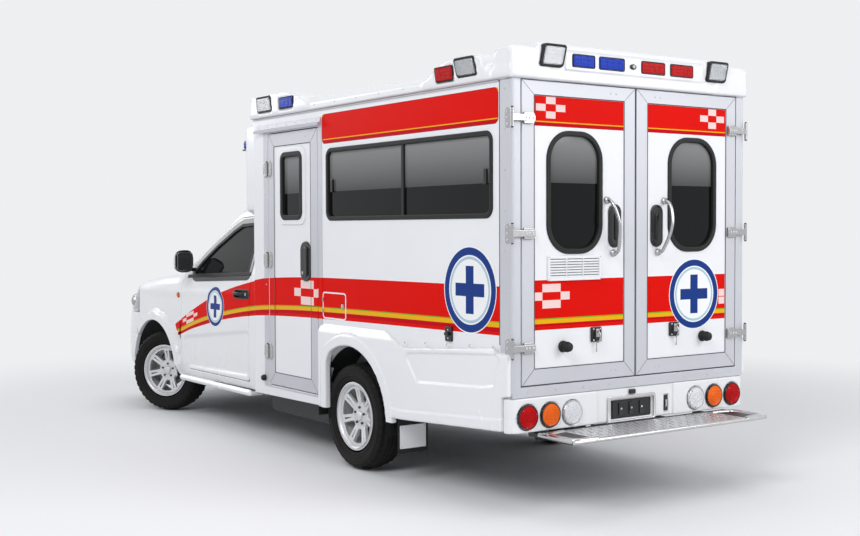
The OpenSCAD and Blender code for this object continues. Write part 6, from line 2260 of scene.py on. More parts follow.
@dataclass
class Roof:
    """The roof moulding with its pods, the lamps along its edges, and the deflector over the cab."""

    step: float = 0.0165
    x_rear: float = -2.612
    x_front: float = 0.298
    side_lamps: Sequence[tuple[float, float, float, float, Finish, float]] = (
        (-2.305, -2.150, 2.288, 2.372, LENS, 0.35), (-2.112, -1.958, 2.276, 2.350, RED_LENS, 0.20),
        (-0.332, -0.148, 2.284, 2.350, BLUE_LENS, 0.05), (-0.020, 0.165, 2.284, 2.372, LENS, 0.25),
    )

    def build(self) -> None:
        """Make the roof's pieces."""
        shell = Shell()
        shell.moulded(self.field, (self.x_rear, -0.884, 2.236), (self.x_front, 0.884, 2.440), self.step,
                      MOULDING)
        for side in (1, -1):
            for x in np.linspace(-2.40, 0.15, 11):
                if -2.38 < x < -1.84 or -0.52 < x:
                    continue
                shell.revolve([(0, 0.006), (0.002, 0.005), (0.003, 0.0005)], (x, 0.8795 * side, 2.268),
                              (0, side, 0), CHROME, 10, 70)
        shell.revolve([(0, 0.018), (0.012, 0.016), (0.026, 0.013), (0.030, 0.010), (0.030, 0.0005)],
                      (-1.35, 0.30, 2.366), (0, 0, 1), PLASTIC, 20, 50)
        shell.make("roof_moulding", slot="white_moulding", replaces=("roof_cap",))
        self.vent()
        self.lamps()
        self.deflector()

    def field(self, points: Points) -> Points:
        """Give the field of the whole moulding."""
        y = np.abs(points[:, 1])
        at = np.column_stack([points[:, 0], y, points[:, 2]])
        section = np.array([(-0.3, 2.0), (-0.3, 2.378), (0.0, 2.378), (0.30, 2.374), (0.582, 2.360),
                            (0.780, 2.340), (0.852, 2.318), (0.882, 2.286), (0.880, 2.2405), (0.872, 2.0)])
        main = np.maximum(prism_field(at, 0, section, self.x_rear, self.x_front, 0.016), 2.2405 - at[:, 2])
        beam = np.array([(-2.611, 2.25), (-2.611, 2.400), (-2.598, 2.425), (-2.565, 2.438), (-2.442, 2.440),
                         (-2.38, 2.425), (-2.232, 2.345), (-2.20, 2.25)])
        whole = smooth_min(main, prism_field(at, 1, beam, -0.3, 0.690, 0.012), 0.022)
        pod = np.array([(0.60, 2.25), (0.642, 2.322), (0.690, 2.404), (0.815, 2.412), (0.868, 2.402),
                        (0.884, 2.388), (0.884, 2.262), (0.842, 2.25)])
        seen = ([(-0.556, 2.20), (-0.556, 2.247), (-0.525, 2.295), (-0.420, 2.349), (-0.215, 2.394),
                 (0.110, 2.408), (0.250, 2.394), (0.284, 2.340), (0.250, 2.20)],
                [(-2.400, 2.20), (-2.398, 2.265), (-2.356, 2.366), (-2.278, 2.396), (-2.154, 2.404),
                 (-2.054, 2.389), (-1.932, 2.347), (-1.835, 2.285), (-1.790, 2.20)],
                [(-2.611, 2.20), (-2.611, 2.392), (-2.592, 2.412), (-2.520, 2.412), (-2.470, 2.380),
                 (-2.440, 2.20)])
        for profile in seen:
            bubble = smooth_max(prism_field(at, 1, np.array(profile), 0.55, 0.95, 0.018),
                                prism_field(at, 0, pod, -2.70, 0.40, 0.022), 0.018)
            whole = smooth_min(whole, bubble, 0.022)
        rib = np.abs(y[:, None] - np.array([[0.0, 0.26]])).min(1)
        strip = np.maximum(np.maximum(rib - 0.02, at[:, 2] - 2.384),
                           np.maximum(-2.05 - at[:, 0], at[:, 0] - 0.1))
        whole = smooth_min(whole, np.maximum(strip, 2.33 - at[:, 2]), 0.012)
        recess = block_field(at, (-2.70, -0.1, 2.300), (-2.602, 0.520, 2.408), 0.012)
        whole = smooth_max(whole, -recess, 0.006)
        for x0, x1, z0, z1, _, lean in self.side_lamps:
            shear = at - np.column_stack([(at[:, 2] - (z0 + z1) / 2) * lean, np.zeros((len(at), 2))])
            pocket = block_field(shear, (x0 - 0.012, 0.874, z0 - 0.012), (x1 + 0.012, 0.95, z1 + 0.012),
                                 0.012)
            whole = smooth_max(whole, -pocket, 0.004)
        lip = np.maximum(np.abs(at[:, 2] - 2.250) - 0.0055, np.abs(y - 0.8755) - 0.006)
        return smooth_min(whole, np.maximum(lip, np.maximum(-2.606 - at[:, 0], at[:, 0] - 0.292)), 0.005)

    def vent(self) -> None:
        """Make the roof hatch."""
        shell = Shell()
        shell.block((-1.00, -0.25, 2.36), (-0.55, 0.25, 2.405), 0.018, MOULDING, 3)
        shell.block((-1.02, -0.27, 2.350), (-0.53, 0.27, 2.385), 0.010, PLASTIC, 2)
        shell.make("roof_hatch", slot="white_moulding")

    def lamps(self) -> None:
        """Make the lamps of the back and the sides, each in its bezel."""
        bezel, lens = Shell(), Shell()
        at = -2.6045
        rows = [(0.310, 0.460, BLUE_LENS), (0.096, 0.272, BLUE_LENS), (-0.210, -0.038, RED_LENS),
                (-0.432, -0.260, RED_LENS)]
        for low, high, finish in rows:
            LampBar((low, 2.324), (high, 2.384), finish, proud=0.002).add(bezel, lens, Facing.REAR, at,
                    -1.0)
        for low, lean in ((0.548, -0.25), (-0.678, -0.25)):
            LampBar((low, 2.318), (low + 0.130, 2.412), LENS, 0.013, lean, 0.028).add(bezel, lens,
                    Facing.REAR, at, -1.0)
        bezel.skin(disc(0.030, 2.350, 0.022, 24, 0.015), flat(Facing.REAR, at - 0.008), GLOSS_BLACK,
                   lip=0.006, depth=0.010)
        bezel.skin(disc(0.030, 2.350, 0.009, 16), flat(Facing.REAR, at - 0.011), GLASS, lip=0.002,
                   depth=0.006)
        for side, facing in ((1, Facing.LEFT), (-1, Facing.RIGHT)):
            for x0, x1, z0, z1, finish, lean in self.side_lamps:
                thick = 0.013 if finish is LENS else 0.005
                LampBar((x0, z0), (x1, z1), finish, thick, lean, 0.012).add(bezel, lens, facing,
                        0.8745 * side, float(side))
        bezel.make("roof_lamp_bezels", slot="black_rubber", replaces=("roof_lamps",))
        lens.make("roof_lamp_lenses", slot="lamp_clear")

    def deflector(self) -> None:
        """Make the white deflector over the cab with its blue-tipped beacon recesses."""
        profile = np.array([(0.26, 1.60), (0.26, 2.236), (0.758, 2.224), (0.838, 2.122), (0.976, 1.840),
                            (1.040, 1.680), (1.04, 1.60)])
        plan = fillet([(0.27, -0.797), (0.58, -0.768), (0.838, -0.640), (0.978, -0.42), (1.035, 0),
                       (0.978, 0.42), (0.838, 0.640), (0.58, 0.768), (0.27, 0.797), (0.10, 0.797),
                       (0.10, -0.797)], 0.10)

        def form(points: Points) -> Points:
            """Give the solid form."""
            front = outline_field(points[:, [0, 2]], profile)
            seen = outline_field(points[:, :2], plan)
            return smooth_max(front, seen, 0.05)

        def field(points: Points) -> Points:
            """Give the shell, open to the box and over the cab."""
            whole = form(points)
            for side in (1, -1):
                scoop = block_field(points, *box_on(side, (0.56, 0.50, 2.03), (0.95, 0.74, 2.17)), 0.035)
                whole = smooth_max(whole, -scoop, 0.02)
            return np.maximum(np.maximum(whole, 0.281 - points[:, 0]), roof_gap(points))

        def roof_gap(points: Points) -> Points:
            """Give the height under the deflector's lower edge."""
            gap = CAB.roof_line(points[:, 0]) + 0.012 - points[:, 2] - 0.035 * (points[:, 1] / 0.7) ** 2
            return gap - 0.10 * np.clip(np.abs(points[:, 1]) - 0.60, 0, 1) / 0.2

        shell = Shell()
        shell.moulded(field, (0.275, -0.80, 1.60), (1.045, 0.80, 2.240), 0.019, MOULDING)
        shell.make("deflector", slot="white_moulding", replaces=("fairing",))
        lamp = Shell()
        for side in (1, -1):
            lamp.block(*box_on(side, (0.66, 0.535, 2.066), (0.775, 0.70, 2.134)), 0.022, BLUE_LENS, 3)
            lamp.block(*box_on(side, (0.63, 0.53, 2.056), (0.77, 0.705, 2.070)), 0.004, GLOSS_BLACK, 2)
        lamp.make("deflector_beacons", slot="lamp_clear")


# ---------------------------------------------------------------- back of the vehicle


@dataclass
class Rear:
    """Rear bumper, round lamps, plate recess, tread step and mud flaps."""

    lamp_radius: float = 0.065

    def build(self) -> None:
        """Make the pieces of the back."""
        self.bumper()
        self.lamps()
        self.step_piece()
        self.flaps()

    def bumper(self) -> None:
        """Make the white bumper with its plate recess, its plate and its plate lamp."""
        plan = fillet([(-2.536, -0.880), (-2.572, -0.878), (-2.594, -0.856), (-2.602, -0.826),
                       (-2.602, 0.826), (-2.594, 0.856), (-2.572, 0.878), (-2.536, 0.880)], 0.02)

        def field(points: Points) -> Points:
            """Give the bumper's field."""
            whole = prism_field(points, 2, plan, 0.432, 0.610, 0.008)
            whole = smooth_max(whole, -block_field(points, (-2.70, -0.139, 0.436), (-2.5785, 0.183, 0.552),
                                                   0.012), 0.004)
            for side in (1, -1):
                for y in (0.768, 0.616, 0.466):
                    away = np.hypot(points[:, 1] - y * side, points[:, 2] - 0.512) - 0.068
                    dish = np.maximum(away, np.abs(points[:, 0] + 2.602) - 0.008)
                    whole = smooth_max(whole, -dish, 0.004)
            middle = block_field(points, (-2.70, -0.292, 0.30), (-2.5905, 0.284, 0.70), 0.006)
            whole = smooth_max(whole, -middle, 0.006)
            slot = block_field(points, (-2.70, -0.262, 0.452), (-2.578, -0.224, 0.550), 0.006)
            return smooth_max(whole, -slot, 0.003)

        shell = Shell()
        shell.moulded(field, (-2.603, -0.881, 0.431), (-2.536, 0.881, 0.611), 0.0095, PAINT)
        frame_out = rounded(-0.155, 0.207, 0.417, 0.569, 0.016)
        shell.skin(frame_out, flat(Facing.REAR, -2.5985), POLISHED,
                   holes=[rounded(-0.139, 0.183, 0.436, 0.552, 0.008)], lip=0.003, depth=0.006)
        shell.skin(rounded(-0.139, 0.183, 0.436, 0.552, 0.008), flat(Facing.REAR, -2.5800), PLASTIC,
                   lip=0.0, depth=0.002, closed=False)
        shell.skin(rounded(-0.115, 0.159, 0.452, 0.540, 0.006), flat(Facing.REAR, -2.5840), PLASTIC,
                   lip=0.002, depth=0.004)
        for y in (-0.055, 0.022, 0.099):
            shell.block((-2.5905, y - 0.016, 0.462), (-2.582, y + 0.016, 0.530), 0.003, GLOSS_BLACK, 2)
            screws(shell, [(y, 0.497)], flat(Facing.REAR, -2.5905), radius=0.006)
        shell.block((-2.606, 0.003, 0.574), (-2.590, 0.047, 0.600), 0.006, GLOSS_BLACK, 2)
        shell.block((-2.588, -0.257, 0.458), (-2.580, -0.229, 0.544), 0.003, GLOSS_BLACK, 2)
        shell.block((-2.596, -0.250, 0.480), (-2.586, -0.236, 0.520), 0.003, CHROME, 2)
        shell.make("bumper_rear", slot="white_paint", replaces=("rear_bumper",))

    def lamps(self) -> None:
        """Make the six round lamps, each a ring, a domed lens with circular ribs, and its diodes."""
        shell = Shell()
        for side in (1, -1):
            for y, finish in ((0.768, RED_LENS), (0.616, AMBER_LENS), (0.466, CLEAR_LENS)):
                centre = (-2.600, y * side, 0.512)
                radius = self.lamp_radius
                shell.revolve([(0, radius), (0.010, radius), (0.014, radius - 0.002),
                               (0.014, radius - 0.005), (0.010, radius - 0.007)],
                              centre, (-1, 0, 0), REFLECTOR if finish is CLEAR_LENS else GLOSS_BLACK, 44,
                              50)
                inner = radius - 0.006
                dome = [(0.011, inner)]
                for rib in range(9):
                    reach = 0.94 - rib * 0.098
                    rise = 0.0155 + 0.0055 * (1 - reach * reach)
                    dome += [(rise - 0.0016, inner * (reach + 0.012)), (rise, inner * (reach - 0.020)),
                             (rise, inner * (reach - 0.060))]
                shell.revolve([*dome, (0.0205, 0.0005)], centre, (-1, 0, 0), finish, 44, 20)
                for ring, count in ((0.0, 1), (0.017, 6), (0.034, 12)):
                    for k in range(count):
                        turn = 2 * math.pi * k / count
                        spot = (centre[0] - 0.019 + ring * 0.06, centre[1] + ring * math.cos(turn),
                                centre[2] + ring * math.sin(turn))
                        shell.revolve([(0, 0.0055), (0.0028, 0.0045), (0.0035, 0.0005)], spot, (-1, 0, 0),
                                      finish, 10, 70)
                for turn in (45, 165, 285):
                    a = math.radians(turn)
                    spot = (centre[0] - 0.0155, centre[1] + inner * 0.9 * math.cos(a),
                            centre[2] + inner * 0.9 * math.sin(a))
                    shell.revolve([(0, 0.0030), (0.002, 0.0026), (0.002, 0.0004)], spot, (-1, 0, 0), CHROME,
                                  8, 70)
        shell.make("tail_lamp_set", slot="lamp_red", replaces=("tail_lamps",))

    def step_piece(self) -> None:
        """Make the tread plate with its raised bars, its tube edge and its brackets."""
        shell = Shell()
        plate = fillet([(-2.902, -0.660), (-2.860, -0.706), (-2.614, -0.706), (-2.614, 0.706),
                        (-2.860, 0.706), (-2.902, 0.660)], 0.03)
        shell.skin(plate, flat(Facing.TOP, 0.424), TREAD, lip=0.002, depth=0.014)
        for row in range(8):
            for k in range(42):
                x, y = -2.885 + 0.034 * row, -0.675 + 0.0325 * k + (0.016 if row % 2 else 0.0)
                if abs(y) > 0.545:
                    continue
                lean = math.radians(45 if (row + k) % 2 else -45)
                dx, dy = math.cos(lean) * 0.0115, math.sin(lean) * 0.0115
                nx, ny = -math.sin(lean) * 0.0028, math.cos(lean) * 0.0028
                corners = np.array([(x - dx, y - dy, 0.4242), (x + nx, y + ny, 0.4262),
                                    (x + dx, y + dy, 0.4242), (x - nx, y - ny, 0.4262)])
                up = np.array([(-dx * 30, -dy * 30, 1), (nx * 120, ny * 120, 1), (dx * 30, dy * 30, 1),
                               (-nx * 120, -ny * 120, 1)])
                shell.add(corners, unit(up), [(0, 3, 2), (0, 2, 1)], POLISHED)
        edge = [(-2.614, 0.700, 0.416), (-2.84, 0.700, 0.416), (-2.880, 0.690, 0.416),
                (-2.896, 0.655, 0.416), (-2.896, 0.0, 0.416), (-2.896, -0.655, 0.416),
                (-2.880, -0.690, 0.416), (-2.84, -0.700, 0.416), (-2.614, -0.700, 0.416)]
        shell.tube(edge, 0.0115, POLISHED, 14, 5)
        for side in (1, -1):
            loop = [(-2.640, 0.560 * side, 0.418), (-2.66, 0.660 * side, 0.418),
                    (-2.70, 0.697 * side, 0.420), (-2.84, 0.700 * side, 0.420),
                    (-2.884, 0.676 * side, 0.420), (-2.893, 0.56 * side, 0.420)]
            shell.tube(loop, 0.0155, POLISHED, 14, 5)
            gap = fillet([(-2.866, 0.672 * side), (-2.866, 0.566 * side), (-2.660, 0.566 * side),
                          (-2.690, 0.672 * side)], 0.02)
            shell.skin(gap, flat(Facing.TOP, 0.4262), PLASTIC, lip=0.001, depth=0.003, closed=False)
            for y in (0.62, 0.30):
                shell.block((-2.80, y * side - 0.02, 0.382), (-2.45, y * side + 0.02, 0.408), 0.004,
                            DARK_METAL, 2)
        shell.skin(np.array([(-0.702, 0.4275), (0.702, 0.4275), (0.702, 0.383), (-0.702, 0.383)]),
                   flat(Facing.REAR, -2.612), PLASTIC, lip=0.002, depth=0.006)
        shell.make("step_rear", slot="tread_plate", replaces=("rear_step",))

    @staticmethod
    def flaps() -> None:
        """Make the two mud flaps, each with a plain white plate and its screws."""
        for side, tag in ((1, "left"), (-1, "right")):
            shell = Shell()
            outline = rounded(*span(side, 0.647, 0.856), 0.172, 0.60, 0.012)
            points_face = flat(Facing.REAR, -1.5345)
            shell.skin(outline, points_face, RUBBER, lip=0.002, depth=0.007)
            plate = rounded(*span(side, 0.664, 0.846), 0.200, 0.336, 0.006)
            shell.skin(plate, flat(Facing.REAR, -1.5375), WHITE_FILM, lip=0.001, depth=0.003)
            screws(shell, [(y * side, z) for y in (0.674, 0.836) for z in (0.210, 0.326)],
                   flat(Facing.REAR, -1.5378), radius=0.004)
            shell.make(f"mud_flap_{tag}", slot="black_rubber", replaces=("mud_flaps",) if side > 0 else ())


# ---------------------------------------------------------------- cab fittings


@dataclass
class Fittings:
    """Door mirrors and foot boards."""

    def build(self) -> None:
        """Make both sides."""
        for side, tag in ((1, "left"), (-1, "right")):
            self.mirror(side, tag)
            self.board(side, tag)

    @staticmethod
    def mirror(side: int, tag: str) -> None:
        """Make one door mirror: housing, glass, front cap and arm."""

        def field(points: Points) -> Points:
            """Give the housing's field."""
            at = points * (1, side, 1)
            shape = (((at[:, 0] - 1.320) / 0.118) ** 2 + (np.abs(at[:, 1] - 0.928) / 0.072) ** 3.2
                     + (np.abs(at[:, 2] - 1.236) / 0.086) ** 3.4)
            body = (shape - 1) * 0.05
            body = np.maximum(body, 1.322 - at[:, 0])
            hollow = block_field(at, (1.30, 0.868, 1.162), (1.334, 0.988, 1.310), 0.012)
            foot = block_field(at, (1.352, 0.82, 1.158), (1.412, 0.885, 1.186), 0.010)
            foot = np.maximum(foot, -CAB(at))
            return smooth_max(smooth_min(body, foot, 0.014), -hollow, 0.004)

        shell = Shell()
        y0, y1 = span(side, 0.83, 1.00)
        shell.moulded(field, (1.318, y0, 1.148), (1.442, y1, 1.325), 0.0062, GLOSS_BLACK,
                      paint=[(PAINT, lambda c: (c[:, 0] > 1.352) & (c[:, 2] > 1.190)),
                             (LENS, lambda c: (c[:, 0] > 1.372) & (np.abs(c[:, 2] - 1.215) < 0.02))])
        shell.make(f"mirror_housing_{tag}", f"cab_door_{tag}", slot="black_plastic",
                   replaces=(f"mirror_{tag}",))
        glass = Shell()
        pane = rounded(*span(side, 0.872, 0.984), 1.166, 1.306, 0.02)
        glass.skin(pane, flat(Facing.REAR, 1.329), MIRROR, lip=0.002, depth=0.004)
        glass.make(f"mirror_glass_{tag}", f"cab_door_{tag}", slot="chrome_trim")

    @staticmethod
    def board(side: int, tag: str) -> None:
        """Make one white foot board with its studded tread and its brackets."""
        shell = Shell()
        section = fillet([(0.758, 0.301), (0.868, 0.301), (0.877, 0.322), (0.862, 0.345), (0.852, 0.345),
                          (0.846, 0.332), (0.758, 0.330)], 0.008)

        def field(points: Points) -> Points:
            """Give the board's field."""
            at = points * (1, side, 1)
            ends = np.maximum(0.342 - at[:, 0], at[:, 0] - 1.584)
            return smooth_max(outline_field(at[:, 1:], section), ends, 0.03)

        y0, y1 = span(side, 0.756, 0.880)
        shell.moulded(field, (0.338, y0, 0.299), (1.588, y1, 0.348), 0.0085, PAINT)
        for row in range(3):
            for k in range(38):
                x = 0.40 + 0.0302 * k + 0.015 * (row % 2)
                y = (0.782 + 0.024 * row) * side
                shell.revolve([(0, 0.0065), (0.002, 0.0045), (0.002, 0.0005)], (x, y, 0.3305), (0, 0, 1),
                              PLASTIC, 8, 70)
        for x in (0.540, 1.378):
            shell.block(*box_on(side, (x - 0.02, 0.455, 0.306), (x + 0.02, 0.762, 0.324)), 0.004,
                        DARK_METAL, 2)
            shell.block(*box_on(side, (x - 0.02, 0.442, 0.306), (x + 0.02, 0.456, 0.378)), 0.003,
                        DARK_METAL, 2)
        shell.make(f"foot_board_{tag}", slot="white_paint", replaces=("side_steps",) if side > 0 else ())


# ---------------------------------------------------------------- wheels


@dataclass
class Wheel:
    """One wheel: a seven-spoke alloy rim and a tyre with cut tread."""

    tag: str
    centre: tuple[float, float, float]
    axle: tuple[float, float, float]
    spokes: int = 7

    def build(self) -> None:
        """Make the tyre and the rim."""
        self.tyre()
        self.rim()

    def basis(self) -> tuple[Points, Points, Points]:
        """Give the wheel's outward axis and two directions in its plane."""
        way = unit(np.array(self.axle, float))
        first = unit(np.cross((0, 0, 1.0), way))
        return way, first, np.cross(way, first)

    def tyre(self) -> None:
        """Make the tyre, its tread cut by three grooves and slanted cross cuts."""
        way, first, second = self.basis()
        section = [(-0.074, 0.1965), (-0.082, 0.208), (-0.094, 0.232), (-0.1015, 0.262), (-0.0995, 0.286),
                   (-0.092, 0.305), (-0.082, 0.3155)]
        lugs = [-0.066, -0.0655, -0.060, -0.0595, -0.034, -0.0335, -0.026, -0.0255, -0.0045, -0.004]
        outer = [(w, 0.3265 - 0.030 * (abs(w) / 0.09) ** 3) for w in lugs]
        half = section + outer
        line = np.array(half + [(-w, r) for w, r in half[::-1]])
        depth = np.zeros(len(line))
        for at, (w, r) in enumerate(line):
            if r > 0.31 and (0.0595 <= abs(w) <= 0.0655 or 0.026 <= abs(w) <= 0.0335 or abs(w) <= 0.004):
                depth[at] = 0.008
        count = 160
        turns = np.linspace(0, 2 * math.pi, count, endpoint=False)
        spoke = np.cos(turns)[:, None] * first + np.sin(turns)[:, None] * second
        rows = []
        for at, (w, r) in enumerate(line):
            phase = (np.arange(count) + (3 if w > 0 else 0)) % 4
            cut = np.where((phase == 0) & (abs(w) > 0.035) & (r > 0.29), 0.007, 0.0)
            cut = np.where((phase == 2) & (abs(w) < 0.034) & (r > 0.31) & (depth[at] == 0), 0.004, cut)
            shell_r = r - np.maximum(cut, depth[at])
            rows.append(np.array(self.centre) + w * way + spoke * shell_r[:, None])
        grid = np.array(rows)
        rise = np.cross(np.roll(grid, -1, 1) - np.roll(grid, 1, 1), np.gradient(grid, axis=0))
        outward = np.einsum("ijk,ijk->ij", rise, grid - np.array(self.centre))
        rise *= np.where(outward < 0, -1.0, 1.0)[..., None]
        size = len(line)
        quads = [(a * count + k, a * count + (k + 1) % count, (a + 1) * count + (k + 1) % count,
                  (a + 1) * count + k)
                 for a in range(size - 1) for k in range(count)]
        shell = Shell()
        shell.add(grid.reshape(-1, 3), unit(rise.reshape(-1, 3)), quads, TYRE)
        for w, r in ((0.1005, 0.252), (0.0985, 0.290), (0.0955, 0.236)):
            shell.revolve([(w, r - 0.004), (w + 0.0022, r - 0.002), (w + 0.0022, r + 0.002),
                           (w - 0.001, r + 0.004)], self.centre, way, TYRE, 96, 60)
        shell.make(f"tyre_tread_{self.tag}", f"wheel_{self.tag}", replaces=(f"tyre_{self.tag}",))

    def face(self, places: Points) -> tuple[Points, Points]:
        """Give the dished face of the spokes."""
        way, first, second = self.basis()
        r = np.hypot(places[:, 0], places[:, 1])
        dish = 0.046 + 0.022 * np.clip((r - 0.05) / 0.12, 0,
                                       1) ** 1.5 - 0.004 * np.exp(-(((r - 0.075) / 0.012) ** 2))
        dish = np.where(r < 0.034, 0.052, dish)
        return np.array(self.centre) + places[:, :1] * first + places[:, 1:2] * second + dish[:,
                None] * way, np.tile(way, (len(places), 1))

    def shaded(self, places: Points) -> tuple[Points, Points]:
        """Give the dished face with its true slopes."""
        points, _ = self.face(places)
        across = self.face(places + (0.001, 0))[0] - points
        up = self.face(places + (0, 0.001))[0] - points
        return points, unit(np.cross(across, up))

    def rim(self) -> None:
        """Make the barrel, the spoked face, the hub cap, the nuts and the brake disc."""
        way, _, _ = self.basis()
        shell = Shell()
        barrel = [(-0.086, 0.186), (-0.086, 0.2105), (-0.080, 0.2105), (-0.076, 0.1965), (-0.030, 0.190),
                  (0.076, 0.1965), (0.080, 0.2105), (0.0865, 0.2105),
                  (0.0885, 0.206), (0.084, 0.196), (0.078, 0.190), (0.060, 0.184), (-0.030, 0.178),
                  (-0.086, 0.186)]
        shell.revolve([(w, r) for w, r in barrel[::-1]], self.centre, way, ALLOY, 64, 50)
        holes = []
        for k in range(self.spokes):
            middle = 2 * math.pi * (k + 0.5) / self.spokes + math.pi / 2
            spread_out, spread_in = math.pi / self.spokes - 0.15, math.pi / self.spokes - 0.27
            corners = [(0.168 * math.cos(middle + a), 0.168 * math.sin(middle + a))
                       for a in np.linspace(-spread_out, spread_out, 7)]
            corners += [(0.082 * math.cos(middle + a), 0.082 * math.sin(middle + a))
                        for a in (spread_in, 0.0, -spread_in)]
            holes.append(fillet(corners, 0.011, 4))
        for k in range(self.spokes):
            middle = 2 * math.pi * k / self.spokes + math.pi / 2
            slot = [(0.158 * math.cos(middle + 0.035), 0.158 * math.sin(middle + 0.035)),
                    (0.100 * math.cos(middle + 0.008), 0.100 * math.sin(middle + 0.008)),
                    (0.100 * math.cos(middle - 0.008), 0.100 * math.sin(middle - 0.008)),
                    (0.158 * math.cos(middle - 0.035), 0.158 * math.sin(middle - 0.035))]
            holes.append(fillet(slot, 0.004, 3))
        shell.skin(disc(0, 0, 0.187, 72), self.shaded, ALLOY, holes=holes, step=0.014, lip=0.004,
                   depth=0.022)
        centre = np.array(self.centre)
        shell.revolve([(0.046, 0.034), (0.058, 0.032), (0.062, 0.026), (0.063, 0.0005)], centre, way, ALLOY,
                      36, 50)
        _, first, second = self.basis()
        for k in range(5):
            turn = 2 * math.pi * k / 5 + 0.3
            spot = centre + 0.052 * (math.cos(turn) * first + math.sin(turn) * second) + way * 0.044
            shell.revolve([(0, 0.0125), (0.001, 0.0125), (0.001, 0.0085), (0.010, 0.0085), (0.013, 0.005),
                           (0.013, 0.0005)], spot, way, DARK_METAL, 12, 50)
        shell.revolve([(0.086, 0.2), (0.094, 0.1975), (0.094, 0.1965)], centre, way, ALLOY, 40, 50)
        shell.revolve([(-0.006, 0.060), (-0.006, 0.130), (0.010, 0.130), (0.010, 0.060)][::-1], centre, way,
                      CAST, 48, 40)
        shell.revolve([(0.010, 0.060), (0.045, 0.056)][::-1], centre, way, CAST, 36, 40)
        shell.make(f"rim_alloy_{self.tag}", f"wheel_{self.tag}", replaces=(f"rim_{self.tag}",))


# ---------------------------------------------------------------- inside and underneath


@dataclass
class Interior:
    """Seats, bench and dashboard."""

    def build(self) -> None:
        """Make the padded pieces and finish the hard ones."""
        for y, tag in ((0.36, "left"), (-0.36, "right")):
            self.seat(y, tag)
        self.bench()
        dress_node("dashboard", CABIN)
        dress_node("steering_wheel", PLASTIC)

    @staticmethod
    def crowned(low: Sequence[float], high: Sequence[float], crown: float,
                channels: int = 0) -> Callable[[Points], Points]:
        """Give the field of a cushion.

        Args:
            low: its lowest corner.
            high: its highest corner.
            crown: how far its faces swell.
            channels: sewn channels across it.

        Returns:
            The field.
        """
        low, high = np.array(low, float), np.array(high, float)
        centre, half = (low + high) / 2, (high - low) / 2

        def field(points: Points) -> Points:
            """Give the distance to the cushion."""
            at = (points - centre) / half
            thin = int(np.argmin(half))
            wide = [a for a in range(3) if a != thin]
            puff = (1 - np.clip(at[:, wide[0]] ** 2, 0, 1)) * (1 - np.clip(at[:, wide[1]] ** 2, 0, 1))
            reach = np.abs(points - centre) - (half - 0.035)
            reach[:, thin] += crown * (1 - np.sqrt(np.clip(puff, 0, 1)))
            if channels:
                wave = np.abs(np.sin(at[:, wide[0]] * math.pi * channels / 2))
                reach[:, thin] += 0.006 * np.exp(-((wave / 0.16) ** 2))
            return np.linalg.norm(np.maximum(reach, 0), axis=1) + np.minimum(reach.max(1), 0) - 0.035

        return field

    def seat(self, y: float, tag: str) -> None:
        """Make one seat: base, cushion, back and head rest."""
        base = Shell()
        base.block((0.576, y - 0.17, 0.486), (0.966, y + 0.17, 0.662), 0.02, CABIN, 2)
        for k in (-0.05, 0.05):
            base.tube([(0.491, y + k, 1.30), (0.485, y + k, 1.40)], 0.0065, CHROME, 10)
        base.make(f"seat_base_{tag}", slot="interior_plastic", replaces=("seats",) if y > 0 else ())
        cushion = Shell()
        field = self.crowned((0.552, y - 0.238, 0.662), (1.056, y + 0.238, 0.788), 0.022, 4)
        cushion.moulded(field, (0.550, y - 0.24, 0.660), (1.060, y + 0.24, 0.790), 0.014, SEAT_CLOTH)
        cushion.make(f"seat_cushion_{tag}")
        lean = math.radians(12)
        place = np.array([[math.cos(lean), 0, -math.sin(lean)], [0, 1, 0],
                          [math.sin(lean), 0, math.cos(lean)]])
        for name, low, high, pivot, crown in (
            ("seat_back", (-0.062, -0.228, 0.0), (0.062, 0.228, 0.55), (0.590, y, 0.775), 0.020),
            ("head_rest", (-0.042, -0.118, 0.0), (0.042, 0.118, 0.145), (0.492, y, 1.362), 0.014),
        ):
            inner = self.crowned(low, high, crown, 4 if name == "seat_back" else 0)
            shell = Shell()
            origin = np.array(pivot)

            def field(points: Points, inner: Callable = inner, origin: Points = origin) -> Points:
                """Give the leaned pad's field."""
                return inner((points - origin) @ place.T)

            reach = (np.array([(a, b, c) for a in (low[0], high[0]) for b in (low[1], high[1])
                               for c in (low[2], high[2])]) @ place) + origin
            shell.moulded(field, reach.min(0), reach.max(0), 0.014, SEAT_CLOTH)
            shell.make(f"{name}_{tag}")

    def bench(self) -> None:
        """Make the attendant bench: a plain locker with its cushion and back pad."""
        locker = Shell()
        locker.skin(rounded(-2.296, -0.422, 0.662, 1.054, 0.004), flat(Facing.LEFT, -0.440), PANEL,
                    lip=0.003, depth=0.016, back=LINING)
        for x in (-2.296, -0.438):
            locker.block((x, -0.8195, 0.662), (x + 0.016, -0.457, 1.040), 0.002, PANEL, 1)
        locker.block((-2.296, -0.8195, 1.040), (-0.422, -0.4402, 1.0555), 0.002, ALUMINIUM, 1)
        for k in range(3):
            x0 = -2.25 + k * 0.61
            locker.skin(rounded(x0, x0 + 0.57, 0.70, 1.01, 0.01), flat(Facing.LEFT, -0.4365), PANEL,
                        lip=0.002, depth=0.003)
            locker.skin(rounded(x0 + 0.255, x0 + 0.315, 0.955, 0.985, 0.01), flat(Facing.LEFT, -0.4345),
                        CHROME, lip=0.002, depth=0.003)
        locker.make("bench_locker", slot="white_panel", replaces=("bench",))
        for name, low, high in (("bench_cushion", (-2.290, -0.748, 1.057), (-0.428, -0.432, 1.134)),
                                ("bench_back", (-2.290, -0.8190, 1.152), (-0.428, -0.762, 1.498))):
            shell = Shell()
            shell.moulded(self.crowned(low, high, 0.014, 6), low, high, 0.017, BENCH_VINYL)
            shell.make(name)


